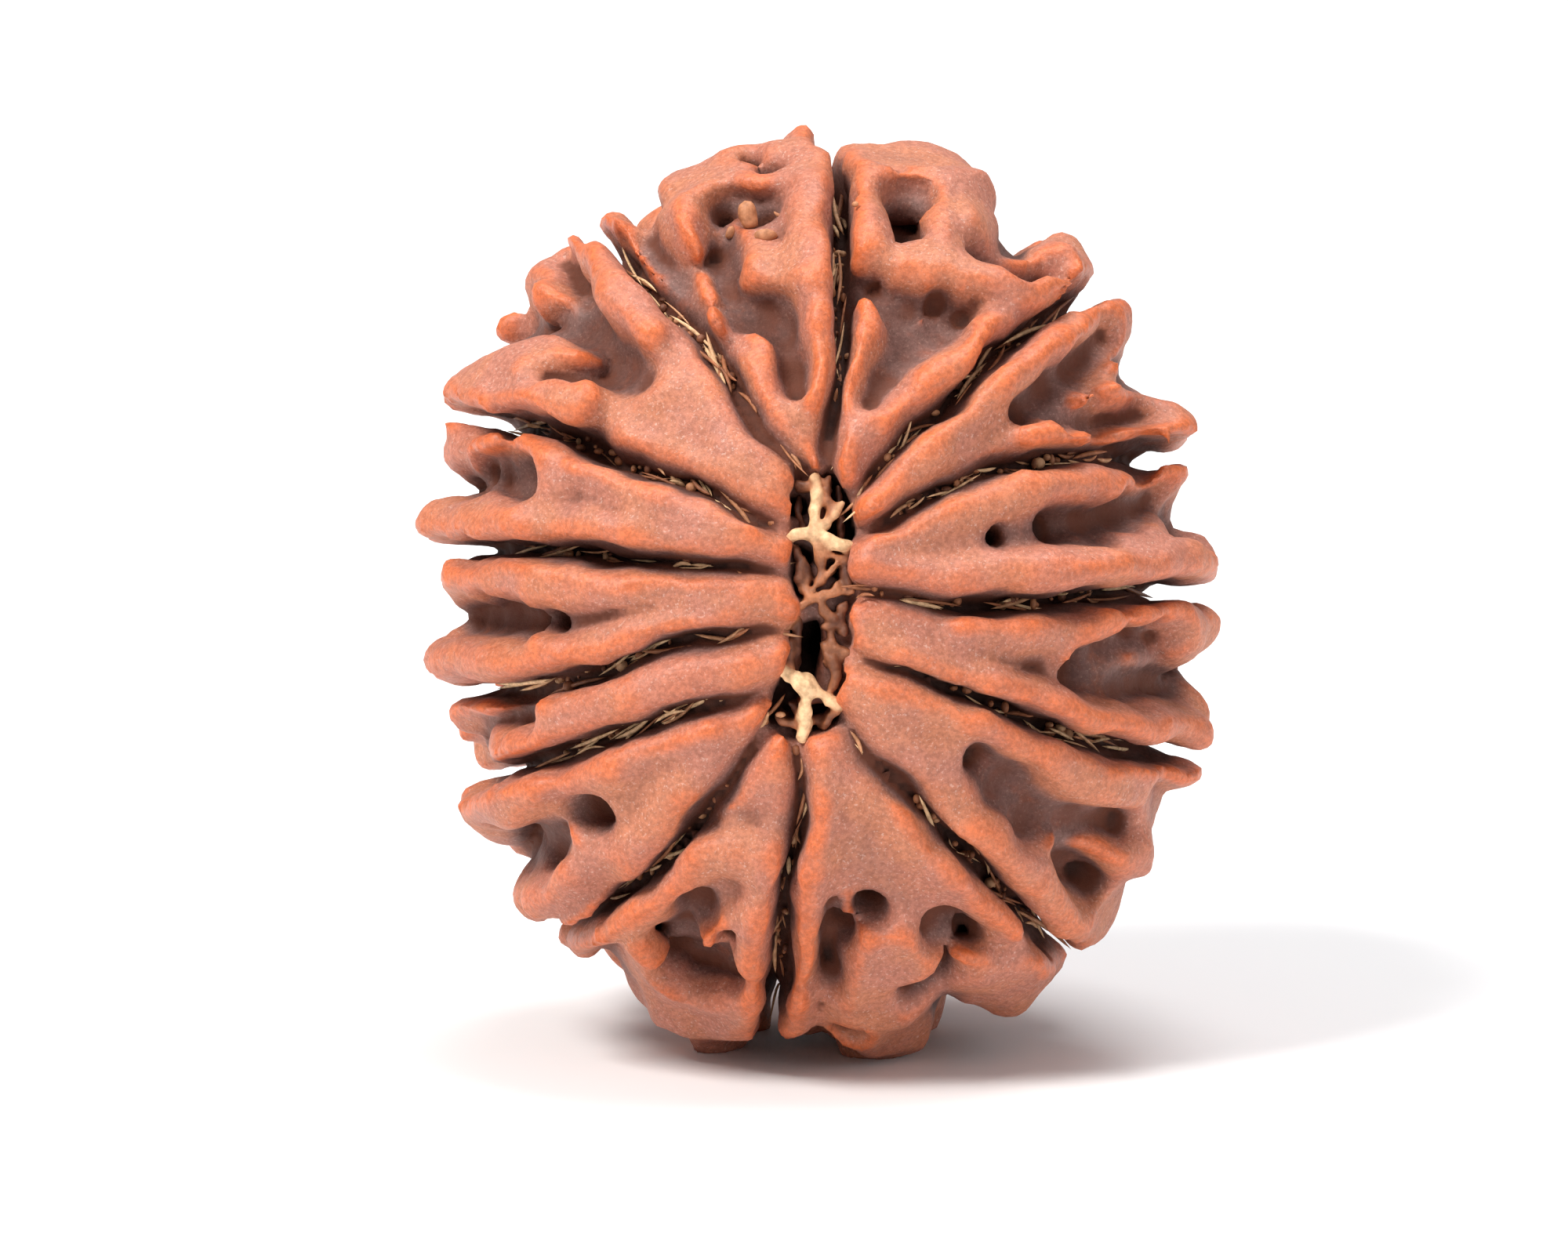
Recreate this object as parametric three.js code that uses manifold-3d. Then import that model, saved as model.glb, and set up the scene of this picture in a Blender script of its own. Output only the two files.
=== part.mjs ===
// A rudraksha bead: the stone of an Elaeocarpus fruit with thirteen faces, standing on its side
// with the natural thread channel level. Millimetres, +Z up, origin at the foot of its box.
//
// The form is described once as a field, negative inside, in a frame of the bead's own: x across,
// z along the mouth of the channel, and the channel along y with its front mouth towards -y.
// That surface is turned into triangles, thinned to a light closed solid, leaned back to how the
// bead stands, and cut level where its lowest lobes touch the surface that it stands on.

import * as THREE from 'three';
import Module from 'manifold-3d';

// Driving dimensions
const core = { x: 8.5, y: 8.1, z: 10.3, power: 2.4 };  // half sizes of the valley floor
const lean = THREE.MathUtils.degToRad(10);             // the channel's front mouth looks up by this
const floorDepth = 12.55;                              // centre of the bead above the surface
const plate = {
  lip: 1.3, rimLip: 0.75,                 // height of a face's edges over the core, near the mouth and out
  dip: 0.2, dipFrom: 0.36, dipTo: 0.7,    // how far its middle sinks, and where the sinking starts
  lipFrom: 0.3, lipEdge: 0.45, lipWidth: 1.1,
};
const reach = 8.2;                  // way out from the mouth at which a face counts as at the rim
const mouthHalf = 2.6;              // half length of the line that the faces' sinking is measured from
const grooveCut = {
  bottom: 0.8, rimBottom: 0.3,            // height of its floor over the core, near the mouth and out
  deepFrom: 0.1, deepTo: 0.5, leastHalf: 0.2, depth: 4, flare: 0.03, blend: 0.3,
  shoulder: 0.3, shoulderWidth: 0.55,     // how far the lips roll down towards it
};
const lobeShape = {
  inner: 1.5, riseFrom: 0.25, grow: 0.12, edge: 1.15, back: 1.8, backSoft: 1.2, blend: 0.3,
  dish: 0.3, dishFrom: 0.4, dishTo: 1.15,  // how far the middle of a lobe sinks inside its lips
};
const ridgeShape = { blend: 0.6, flare: 0.25, root: 0.3, tip: 0.35, beforeTip: 0.7 };
const footDown = 0.4;                     // how far the balls of a foot are drawn inwards

// The side that is out of sight in the photo, spread by a seeded draw. Pairs are a least and a most.
const backLine = {
  sway: [-0.35, 0.35], waveX: 3.1, phaseX: 4, waveZ: 2.3, phaseZ: 5,
  edge: 0.985, shortOfRim: -0.6,
};
const backShape = {                       // lip and branch: height at both ends, half width at both ends
  lip: [1.5, 2.1, 0.42, 0.5],
  lipAcross: [0.2, 0.8], lipOut: [0.06, 0.97], lipSteps: 8,
  branch: [1.9, 2.4, 0.5, 0.4],
  branchOut: [0.45, 0.95], branchTurn: [0.25, 0.7], branchReach: 0.2,
  pitOut: [0.5, 0.95], pitAcross: [0.38, 0.62], pitHalf: [0.28, 0.5], pitBottom: [0.2, 0.6],
};
const toothShape = {
  across: [0.22, 0.5, 0.78], behind: [1.6, 4.6], lean: [-0.4, 0.9], rise: [1.3, 1.9],
  footRise: 0.5, footHalf: 0.75, footDown: 0.9, tipHalf: 0.45, tipDown: 0.4,
};
const pitShape = { blend: 0.35, open: 1.3, reach: 2.5 };
const valleyShape = { depth: 3, flare: 0.3, blend: 0.55 };
const swell = {                           // slow swellings of the sides and back: waves [x, y, z, phase]
  depth: 0.3, fromY: -6, toY: -1,
  waves: [[1.5, 0, 0.8, 1], [-0.5, 1.3, 0, 0.4], [-0.7, 0, 1.9, 2], [0, 1.7, 0.6, 1.1]],
};
const mouth = { floor: 0.3, grow: -0.16, soft: 0.4, blend: 0.3 };
const channel = { x: -0.25, z: -1.2, halfX: 0.4, halfZ: 0.8, bow: 1, bowLength: 7, blend: 0.15 };

// The grid that the form is worked out on
const gridStep = 0.4;
const gridLow = [-11.8, -11.2, -13.7];
const gridHigh = [11.8, 11.2, 13.7];
const triangleTarget = 10400;
const seed = 4177;
const pad = { groove: 2.9, ridge: 2.6, pit: 1.5, lobe: 1.2 };  // how far round itself each shape counts
const farAway = 9;

// Grooves between the faces: points [x, z] from the front mouth out to the rim
const grooves = {
  R1: [[0.2, 3.4], [0.3, 4.6], [0.6, 6], [0.6, 7], [0.45, 8], [0.5, 9], [0.45, 10], [0.3, 11],
    [0.2, 12]],
  R2: [[0.7, 2.4], [1.7, 3.4], [2.4, 4.2], [3.0, 4.7], [3.6, 5.4], [4.4, 6.2], [5.5, 7], [6.3, 7.5],
    [7.1, 8.2]],
  R3: [[0.8, 1.5], [1.7, 1.9], [2.5, 2.4], [3.5, 2.85], [4.3, 3.2], [5.5, 3.4], [6.5, 3.7],
    [7.5, 3.7], [8.4, 3.5]],
  R4: [[0.8, 0.1], [2.2, -0.05], [2.8, -0.3], [4, -0.3], [5, -0.25], [6, -0.1], [7, 0], [8, 0.1],
    [9.2, 0]],
  R5: [[0.8, -1.6], [1.8, -1.9], [2.6, -2.2], [3.3, -2.5], [4, -2.75], [5, -3.15], [6, -3.6],
    [7, -3.9], [7.6, -4.1], [9, -4.1]],
  R6: [[0.6, -3.1], [1.2, -4.1], [2.1, -4.9], [2.9, -5.8], [3.5, -6.5], [4.2, -7.2], [5, -8.1],
    [5.7, -8.7], [6.4, -9.4], [7, -10]],
  R7: [[-0.45, -3.4], [-0.5, -4.5], [-0.55, -5.5], [-0.6, -6.1], [-0.75, -6.8], [-0.9, -7.6],
    [-1, -8.5], [-1.1, -9.2], [-1.2, -10], [-1.3, -11], [-1.4, -12]],
  L6: [[-0.9, -2.7], [-1.7, -3.8], [-2.3, -4.8], [-2.9, -5.7], [-3.5, -6.4], [-4.2, -7], [-5, -7.7],
    [-5.6, -8], [-6.3, -8.5], [-7.1, -9.0]],
  L5: [[-0.9, -2.2], [-2, -2.6], [-3, -2.9], [-4, -3.2], [-4.6, -3.4], [-5.3, -3.7], [-6.2, -4.1],
    [-7, -4.4], [-8, -4.85], [-9, -5.1]],
  L4: [[-0.8, -0.85], [-2, -0.95], [-2.6, -1.1], [-3.5, -1.3], [-4.5, -1.6], [-5.3, -1.9],
    [-6, -2.15], [-6.8, -2.4], [-8, -2.5], [-9, -2.5]],
  L3: [[-0.8, 0.6], [-2, 0.65], [-3, 0.75], [-4, 0.85], [-5, 0.95], [-6.2, 1.1], [-7, 1.15],
    [-7.9, 1.15], [-9, 1.2]],
  L2: [[-0.8, 1.7], [-1.7, 2], [-2.4, 2.5], [-3, 2.8], [-4, 3.1], [-5, 3.4], [-5.8, 3.9],
    [-6.3, 4.2], [-7, 4.3], [-8, 4.55], [-9, 4.7]],
  L1: [[-0.6, 3.3], [-1.5, 4.2], [-2.1, 5], [-2.5, 5.8], [-2.9, 6.5], [-3.5, 7.1], [-4.2, 7.7],
    [-4.8, 8.4], [-5.5, 9.2], [-6.1, 9.8]],
};

// Half width of each groove, at the mouth and at the rim
const grooveWidths = {
  R1: [0.14, 0.2], R2: [0.1, 0.22], R3: [0.1, 0.14], R4: [0.1, 0.13], R5: [0.1, 0.16],
  R6: [0.1, 0.18], R7: [0.12, 0.2], L6: [0.1, 0.18], L5: [0.1, 0.18], L4: [0.1, 0.18],
  L3: [0.1, 0.15], L2: [0.1, 0.22], L1: [0.14, 0.26],
};

// Lobes of the front, face by face: height over the core at the rim, softness of the edge,
// and the outline [x, z]
const lobes = [
  // the floor of the hollow left of the bottom
  [1.1, 0.6, [[-5.0, -8.9], [-2.0, -8.5], [-1.7, -10.9], [-3.9, -11.5]]],
  // a plate across the face left of the bottom
  [1.7, 0.6, [[-2.2, -6.2], [-3.6, -7.1], [-4.5, -8.0], [-3.4, -8.0], [-2.5, -8.3], [-1.8, -9.0],
    [-1.3, -8.0], [-1.5, -6.6]]],
  // S1
  [2.6, 0.7, [[0.2, 8.4], [0.35, 9.2], [0.2, 10.2], [0.15, 11.4], [0.1, 12.6], [-0.25, 13.05],
    [-0.65, 13.1], [-1.0, 12.6], [-1.15, 12.0], [-1.0, 11.2], [-0.85, 10.4], [-0.8, 9.6],
    [-0.6, 8.8], [-0.4, 8.2]]],
  [1.75, 0.6, [[-3.2, 11.8], [-0.7, 11.8], [-0.7, 9.4], [-3.2, 9.4]]],
  [2.45, 0.7, [[-0.8, 12.5], [-1.6, 12.4], [-2.5, 12.5], [-3.0, 12.2], [-2.8, 11.5], [-1.8, 11.2],
    [-0.9, 11.3]]],
  [2.45, 0.9, [[-2.4, 12.4], [-3.1, 12.2], [-3.6, 11.6], [-4.2, 11.35], [-4.2, 10.6], [-4.4, 10],
    [-4.7, 9.5], [-4.0, 9.0], [-3.2, 9.2], [-2.8, 10], [-2.7, 10.8], [-2.5, 11.4]]],
  [2.15, 0.6, [[-2.4, 9.35], [-1.6, 9.7], [-0.8, 9.7], [-0.1, 9.2], [-0.1, 8.4], [-0.8, 8.05],
    [-1.6, 8.05], [-2.25, 8.4]]],
  [1.9, 0.8, [[-2.2, 6.5], [-2.0, 7.15], [-1.5, 7.2], [-1.0, 6.8], [-0.9, 6], [-0.7, 5],
    [-0.7, 4.1], [-1.0, 3.9], [-1.6, 4.8], [-2.1, 5.6], [-2.35, 6.2]]],
  [2.3, 0.8, [[-6.35, 10.05], [-6.1, 10.45], [-5.6, 10.4], [-5.0, 9.8], [-4.4, 9.35], [-3.7, 9.0],
    [-2.9, 8.6], [-2.4, 8.0], [-2.3, 7.4], [-2.6, 7.0], [-3.0, 6.95], [-3.5, 7.3], [-4.1, 8.0],
    [-5.0, 8.6], [-5.7, 9.3]]],
  // S2
  [2.5, 0.7, [[0.45, 12.2], [0.9, 12.5], [1.4, 12.2], [1.4, 11.4], [1.5, 10.6], [1.8, 9.8],
    [1.75, 9.0], [1.3, 8.5], [0.9, 8.8], [0.6, 9.6], [0.45, 10.4], [0.4, 11.3]]],
  [2.5, 0.8, [[1.1, 12.3], [1.6, 12.15], [2.3, 12.3], [3.0, 12.4], [3.9, 12.35], [4.3, 11.7],
    [3.6, 11.1], [2.6, 11.3], [1.8, 11.2], [1.1, 11.5]]],
  [2.4, 0.9, [[3.2, 12.1], [4.2, 12.0], [4.5, 11.2], [4.6, 10.5], [4.65, 9.2], [4.3, 8.4],
    [3.6, 8.1], [3.0, 8.8], [2.8, 9.8], [2.8, 10.8]]],
  [1.9, 0.6, [[1.4, 11.6], [3.3, 11.6], [3.1, 10.5], [2.5, 10.3], [1.7, 10.5]]],
  [2.25, 0.6, [[1.9, 9.3], [2.9, 9.5], [3.8, 9.2], [3.9, 8.3], [2.9, 8.1], [2.0, 8.15],
    [1.7, 8.7]]],
  [1.6, 0.6, [[3.9, 9.0], [5.2, 9.0], [5.1, 7.9], [4.2, 7.6], [3.6, 7.9]]],
  [1.3, 0.6, [[1.0, 8.4], [3.8, 8.3], [4.2, 7.2], [3.4, 6.2], [2.2, 5.4], [1.2, 4.6]]],
  [2.6, 0.9, [[4.3, 9.2], [5, 9.1], [5.6, 9.05], [6.0, 9.45], [6.6, 9.85], [7.2, 9.7], [7.6, 9.2],
    [7.5, 8.7], [7.1, 8.3], [6.6, 7.8], [6.0, 7.4], [5.3, 7.9], [4.4, 8.2], [4, 8.7]]],
  [2.3, 0.7, [[4.0, 7.1], [4.3, 7.6], [4.8, 7.95], [5.5, 7.95], [5.9, 7.5], [5.4, 7.05],
    [4.8, 6.75], [4.2, 6.6]]],
  [1.9, 0.7, [[0.25, 3.1], [0.0, 3.7], [0.7, 4.6], [1.6, 5.4], [2.3, 5.95], [3.1, 6.5], [3.8, 6.85],
    [4.35, 6.85], [4.4, 6.3], [3.9, 5.75], [3.1, 5.2], [2.4, 4.6], [1.6, 3.9], [0.9, 3.2]]],
  // S3
  [2.2, 0.8, [[0.9, 1.9], [1.6, 2.9], [2.6, 3.9], [3.4, 4.75], [4.2, 5.55], [5.2, 6.35], [6.1, 7.0],
    [6.8, 7.35], [7.2, 7.0], [7.1, 6.5], [6.7, 6.1], [5.9, 5.6], [5.2, 5.1], [4.4, 4.3], [3.4, 3.5],
    [2.2, 2.6], [1.2, 1.8]]],
  [2.3, 0.9, [[6.6, 6.3], [7, 7.4], [7.6, 7.9], [8.25, 8.2], [8.4, 7.6], [8.3, 6.9], [8, 6.5],
    [7.5, 6.1], [7.2, 5.8]]],
  [2.4, 0.8, [[5.4, 4.4], [5.6, 5.0], [6.4, 5.15], [7.2, 5.1], [8.1, 5.05], [8.8, 4.9], [9.0, 4.4],
    [8.6, 3.95], [7.6, 3.9], [6.5, 3.95], [5.7, 3.9]]],
  [2.9, 0.8, [[6.9, 5.95], [7.6, 6.0], [8.3, 5.65], [9.0, 5.4], [9.6, 5.1], [10.2, 4.55], [10, 4.1],
    [9.3, 3.95], [8.6, 4.4], [7.6, 4.9], [6.9, 5.3]]],
  [1.75, 0.8, [[0.9, 1.7], [2.2, 3.1], [3.6, 4.4], [4.8, 5.2], [5.5, 4.8], [5.7, 3.8], [4.3, 3.4],
    [2.5, 2.6], [1.3, 1.85]]],
  // S4
  [1.5, 0.6, [[3.4, 2.0], [3.4, 0.9], [8.7, 1.0], [8.7, 2.4], [6, 2.7]]],
  [2.1, 0.8, [[0.9, 1.4], [1.7, 1.7], [2.6, 2.2], [3.6, 2.65], [4.6, 3], [5.6, 3.2], [6.8, 3.45],
    [7.9, 3.5], [8.7, 3.2], [8.8, 2.5], [8.7, 1.6], [8.1, 1.6], [7.3, 2.0], [6.5, 2.3], [5.7, 2.2],
    [5.0, 1.7], [4, 1.3], [2.6, 1.0], [1.2, 0.8]]],
  [2.5, 0.9, [[8.4, 2.9], [9.0, 3.15], [9.6, 3.5], [10.1, 3.4], [9.8, 2.9], [9.5, 2.4], [9.4, 1.9],
    [9.5, 1.3], [8.7, 1.3], [8.4, 2]]],
  [2.9, 0.8, [[0.9, 0.15], [2.2, 0.1], [4, -0.05], [5.5, 0.05], [7, 0.2], [8.5, 0.35], [9.6, 0.35],
    [10.7, 0.4], [11.2, 0.8], [10.8, 1.3], [10.2, 1.4], [9.4, 1.35], [8.4, 1.3], [7.4, 1.15],
    [6.4, 1.2], [5.2, 1.1], [4, 1.3], [2.5, 1.2], [1, 1.0]]],
  // S5
  [1.4, 0.6, [[6.1, -0.6], [9, -0.5], [9.5, -1.6], [9.3, -2.7], [7, -2.9], [5.5, -2.4],
    [6.2, -1.8]]],
  [2.0, 0.8, [[1, -0.2], [2.4, -0.3], [4, -0.5], [5.3, -0.5], [6.7, -0.4], [6.8, -0.9], [6.3, -1.5],
    [5.7, -1.9], [4.6, -2.2], [3, -1.8], [1.2, -1.3]]],
  [2.7, 0.8, [[9.0, -0.25], [9.8, -0.15], [10.5, -0.15], [11.0, -0.7], [10.85, -1.1], [10.3, -1.55],
    [9.6, -1.75], [9.1, -1.2]]],
  [2.6, 0.8, [[1, -1.6], [2.6, -2.15], [4, -2.65], [5, -3.05], [6, -3.5], [7, -3.85], [8.3, -4.1],
    [9.5, -4.05], [10.5, -3.85], [10.8, -3.4], [10.4, -2.8], [9.9, -2.2], [9.2, -2.0], [9.0, -2.8],
    [8, -2.9], [7, -2.8], [5.8, -2.4], [4.5, -1.9], [3, -1.4], [1.2, -1.0]]],
  // S6
  [1.55, 0.8, [[4.5, -4.6], [5.6, -4.5], [6.8, -5.3], [7.8, -5.5], [8.3, -6.4], [8.1, -7.5],
    [7.4, -8.8], [6.8, -8.2], [5.8, -7.3], [4.8, -6.3], [4.4, -5.4]]],
  [2.7, 0.6, [[8, -4.4], [9.3, -4.35], [10.4, -4.45], [10.8, -4.8], [10.3, -5.1], [9.2, -5.1],
    [8.2, -5.05]]],
  [2.2, 0.9, [[1, -1.9], [2.6, -2.5], [4, -3.0], [5.2, -3.5], [6.4, -4.0], [7.5, -4.25],
    [8.15, -4.7], [8.0, -5.3], [7.2, -5.5], [6.3, -5.1], [5.2, -4.6], [4.4, -4.0], [3.0, -3.6],
    [1.6, -3.0], [1, -2.6]]],
  [1.8, 0.8, [[1.2, -2.6], [3, -3.5], [4.7, -4.0], [5.0, -4.9], [4.5, -5.5], [4.5, -6.4],
    [4.2, -6.9], [3.4, -6.2], [2.7, -5.4], [2.0, -4.6], [1.1, -3.6]]],
  [2.3, 0.9, [[7.8, -5.1], [8.4, -4.9], [9.2, -4.9], [9.25, -5.6], [9.0, -6.2], [8.4, -6.2],
    [7.9, -5.7]]],
  [2.4, 0.9, [[9.0, -6], [8.9, -6.6], [8.9, -7.1], [8.8, -7.6], [8.3, -8], [8.1, -8.6], [7.9, -9.4],
    [7.5, -9.8], [6.9, -9.5], [7.2, -8.7], [7.5, -8], [7.8, -7.2], [8.0, -6.4], [8.2, -5.8]]],
  [2.1, 0.9, [[5.5, -6.2], [6.0, -5.9], [6.6, -6.3], [6.8, -6.9], [6.3, -7.2], [5.7, -6.9]]],
  [2.4, 0.8, [[3.6, -6.2], [4.3, -6.95], [5.0, -7.75], [5.7, -8.4], [6.3, -9.0], [6.9, -9.6],
    [7.6, -9.75], [7.8, -9.2], [7.3, -8.5], [6.8, -7.9], [6.2, -7.4], [5.6, -6.9], [4.9, -6.2],
    [4.3, -5.6]]],
  // S7
  [2.3, 0.9, [[1.5, -4.7], [2.3, -5.6], [3, -6.4], [3.8, -7.3], [4.7, -8.2], [5.5, -9.0],
    [6.0, -9.4], [5.5, -9.8], [4.8, -9.4], [4, -8.8], [3.1, -8.2], [2.3, -7.3], [1.8, -6.2],
    [1.2, -5.1]]],
  [2.3, 0.8, [[-0.35, -4.2], [-0.4, -5.6], [-0.55, -6.6], [-0.7, -7.6], [-0.8, -8.6], [-0.85, -9.6],
    [-0.8, -10.6], [-0.35, -10.95], [0.1, -10.6], [0.25, -9.6], [0.25, -8.6], [0.15, -7.6],
    [0.25, -6.4], [0.45, -5.2], [0.3, -4.2]]],
  [2.0, 0.9, [[-0.2, -4.1], [0.9, -4.2], [1.8, -5.4], [2.5, -6.6], [3.2, -7.8], [3.9, -8.7],
    [3.6, -9.5], [2.6, -9.3], [1.4, -9.2], [0.4, -9.2], [0.1, -8.4], [0.1, -6.4], [-0.2, -5.2]]],
  [2.5, 0.7, [[-1.0, -10.8], [-1.05, -11.9], [-0.7, -12.15], [-0.3, -12.0], [-0.2, -11.2],
    [-0.3, -10.7]]],
  [2.6, 1.1, [[0.2, -9.1], [0.9, -8.9], [1.8, -8.8], [2.7, -9.0], [3.3, -9.6], [3.6, -10.4],
    [3.2, -11], [3.0, -11.6], [2.7, -12.4], [2, -12.6], [1.5, -12.8], [0.9, -12.6], [0.4, -12.1],
    [0.15, -11.2], [0.1, -10.2]]],
  [2.6, 1.1, [[4.2, -9.4], [5, -9.8], [5.6, -9.7], [6.4, -9.6], [7.1, -9.95], [6.8, -10.5],
    [6.3, -11.1], [5.7, -11.7], [5.1, -11.7], [4.5, -11.2], [3.6, -10.7], [3.4, -10], [3.7, -9.5]]],
  // S8
  [1.75, 0.8, [[-0.7, -3.4], [-1.2, -3.4], [-1.9, -4.5], [-2.5, -5.35], [-3.1, -6.1], [-2.5, -6.3],
    [-1.9, -6.1], [-1.4, -6.6], [-0.8, -6.4], [-0.65, -5]]],
  [2.2, 0.8, [[-3.6, -6.5], [-3.0, -6.6], [-2.2, -6.8], [-1.3, -6.5], [-1.0, -7.2], [-1.2, -8.2],
    [-1.35, -9.2], [-1.4, -10.2], [-1.8, -10.5], [-2.2, -10.0], [-2.15, -9.0], [-2.0, -8.2],
    [-2.4, -7.55], [-3.2, -7.4], [-4, -7.3]]],
  [2.4, 0.8, [[-3.3, -6.45], [-4, -7.0], [-4.9, -7.8], [-5.6, -8.2], [-6.3, -8.6], [-7.0, -8.75],
    [-7.3, -9.2], [-6.9, -9.8], [-6.4, -10.0], [-5.9, -9.7], [-5.4, -9.3], [-4.6, -8.9],
    [-3.8, -8.4], [-3.1, -7.6]]],
  [2.6, 1.1, [[-1.5, -10.6], [-1.5, -11.5], [-1.7, -12.3], [-2.5, -12.7], [-3.5, -12.6],
    [-4.0, -12.3], [-4.5, -11.7], [-4.8, -11.1], [-5.2, -10.3], [-5.6, -9.5], [-4.9, -9.2],
    [-4.3, -9.8], [-3.6, -10.4], [-2.8, -10.3], [-2.2, -10.4]]],
  // S9
  [2.1, 0.9, [[-1.2, -2.6], [-2.5, -2.95], [-4, -3.5], [-5.2, -4.0], [-6.5, -4.6], [-7.8, -5.0],
    [-7.8, -5.8], [-7.3, -6.6], [-7.0, -7.4], [-6.2, -8.0], [-5.2, -7.5], [-4.3, -6.8],
    [-3.6, -6.1], [-3, -5.4], [-2.3, -4.4], [-1.6, -3.4]]],
  [2.6, 0.9, [[-7.4, -4.8], [-8.2, -4.95], [-9, -5], [-9.9, -5.1], [-10.1, -5.6], [-9.8, -6.2],
    [-9, -6.6], [-8.4, -6.7], [-7.6, -6.2]]],
  [2.5, 0.9, [[-7.6, -6.8], [-7.75, -7.5], [-8.1, -7.9], [-8.5, -8.4], [-8.1, -8.9], [-7.6, -9.0],
    [-7.2, -8.6], [-6.8, -8.5], [-6.3, -8.1], [-6.8, -7.3]]],
  // S10
  [2.5, 0.8, [[-0.9, -1.2], [-2.6, -1.35], [-3.5, -1.55], [-4.5, -1.85], [-5.3, -2.15],
    [-6.2, -2.45], [-7.2, -2.7], [-8.6, -2.65], [-9.3, -2.7], [-10.1, -3.05], [-9.6, -3.5],
    [-9, -3.65], [-8.8, -3.9], [-8.9, -4.7], [-8, -4.6], [-7, -4.15], [-6.2, -3.85], [-5.3, -3.4],
    [-4, -2.95], [-3, -2.65], [-2, -2.35], [-1, -2.0]]],
  // S11
  [1.7, 0.6, [[-4.8, -0.1], [-9.2, -0.1], [-9.2, -1.3], [-4.8, -1.1]]],
  [2.6, 0.8, [[-0.9, 0.4], [-2, 0.45], [-3, 0.55], [-4, 0.65], [-5, 0.75], [-6.2, 0.9], [-7, 0.95],
    [-8, 0.95], [-9.1, 1.1], [-9.7, 0.85], [-10.4, 0.6], [-9.9, 0.15], [-9.5, -0.15], [-9.1, -0.45],
    [-8.3, -0.35], [-7.4, -0.4], [-6.4, -0.3], [-5, -0.2], [-3, -0.3], [-1, -0.3]]],
  [2.6, 0.8, [[-1, -0.1], [-3, -0.2], [-5, -0.3], [-6, -1.0], [-7, -1.15], [-7.9, -1.1],
    [-8.7, -1.0], [-9.4, -0.9], [-9.9, -1.05], [-10.5, -1.35], [-10.9, -1.8], [-10.7, -2.2],
    [-10.2, -2.3], [-9.3, -2.35], [-8, -2.3], [-6.9, -2.2], [-6, -1.95], [-5.3, -1.7], [-4.5, -1.4],
    [-3.5, -1.1], [-2.6, -0.9], [-1, -0.65]]],
  // S12
  [2.2, 0.9, [[-0.9, 1.0], [-2, 0.85], [-3, 0.95], [-4, 1.05], [-5, 1.15], [-6.2, 1.3],
    [-7.4, 1.35], [-8.6, 1.4], [-8.7, 2.3], [-8.2, 2.9], [-8.5, 3.6], [-8.1, 4.25], [-7.2, 4.1],
    [-6.4, 3.95], [-5.9, 3.65], [-5, 3.15], [-4, 2.85], [-3, 2.55], [-2.4, 2.25], [-1.7, 1.8]]],
  [2.5, 0.8, [[-8.3, 3.8], [-8.8, 4.45], [-9.2, 4.4], [-9.8, 4.45], [-10.1, 4.1], [-9.9, 3.8],
    [-9.5, 3.45], [-9, 3.15], [-8.6, 3.0]]],
  [2.8, 0.8, [[-8.2, 2.4], [-8.7, 3.0], [-9.1, 2.55], [-9.7, 2.5], [-10.4, 2.45], [-10.9, 2.25],
    [-11.1, 1.8], [-10.9, 1.4], [-10.4, 1.3], [-9.3, 1.3], [-8.2, 1.45]]],
  // S13
  [2.05, 0.8, [[-0.75, 3.0], [-1.4, 3.85], [-2.0, 4.65], [-2.5, 5.45], [-3.0, 6.15], [-3.6, 6.85],
    [-4.1, 6.85], [-4.6, 6.3], [-5.3, 5.4], [-5.9, 4.7], [-5.6, 4.0], [-4.6, 3.55], [-4, 3.35],
    [-3, 2.9], [-2, 2.3], [-1, 1.95]]],
  [2.4, 0.9, [[-4.4, 6.8], [-4.2, 7.4], [-4.9, 8.15], [-5.5, 8.9], [-6.1, 9.4], [-6.7, 9.75],
    [-7.3, 9.9], [-7.7, 9.4], [-7.95, 8.8], [-7.7, 8], [-7.55, 7.5], [-7.0, 7.35], [-6.7, 7.9],
    [-6.2, 7.8], [-5.7, 7.2], [-5.2, 6.7], [-4.8, 6.55]]],
  [2.2, 0.8, [[-7.7, 6.9], [-7.2, 7.15], [-6.5, 7.1], [-5.9, 6.8], [-5.8, 6.3], [-6.5, 6.1],
    [-7.4, 6.2], [-8.1, 6.5]]],
  [2.7, 0.8, [[-5.9, 5.4], [-6.2, 5.95], [-7, 6.25], [-7.9, 6.6], [-8.7, 6.65], [-9.3, 6.5],
    [-9.8, 6.1], [-10.4, 5.5], [-10.45, 5.2], [-10, 5.05], [-9.5, 4.9], [-8.8, 4.9], [-7.5, 4.75],
    [-6.4, 4.65]]],
];

// The uneven rim of the channel's mouth
const mouthRim = [
  [-0.1, 3.5], [-0.5, 4.0], [-0.85, 3.3], [-0.7, 2.7], [-1.0, 2.0], [-0.65, 1.5], [-0.95, 1.0],
    [-0.65, 0.4],
  [-1.05, 0.1], [-0.75, -0.4], [-1.05, -0.9], [-0.75, -1.4], [-1.0, -2.0], [-1.6, -2.5],
    [-1.1, -3.0],
  [-1.3, -3.6], [-0.7, -4.0], [-0.3, -3.7], [0.3, -4.0], [0.75, -3.4], [0.6, -2.8], [1.0, -2.2],
    [0.7, -1.8],
  [1.1, -1.2], [0.75, -0.6], [1.2, -0.1], [0.8, 0.5], [1.15, 1.1], [0.8, 1.6], [1.05, 2.2],
    [0.6, 2.6],
  [0.65, 3.2], [0.2, 3.3],
];

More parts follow.
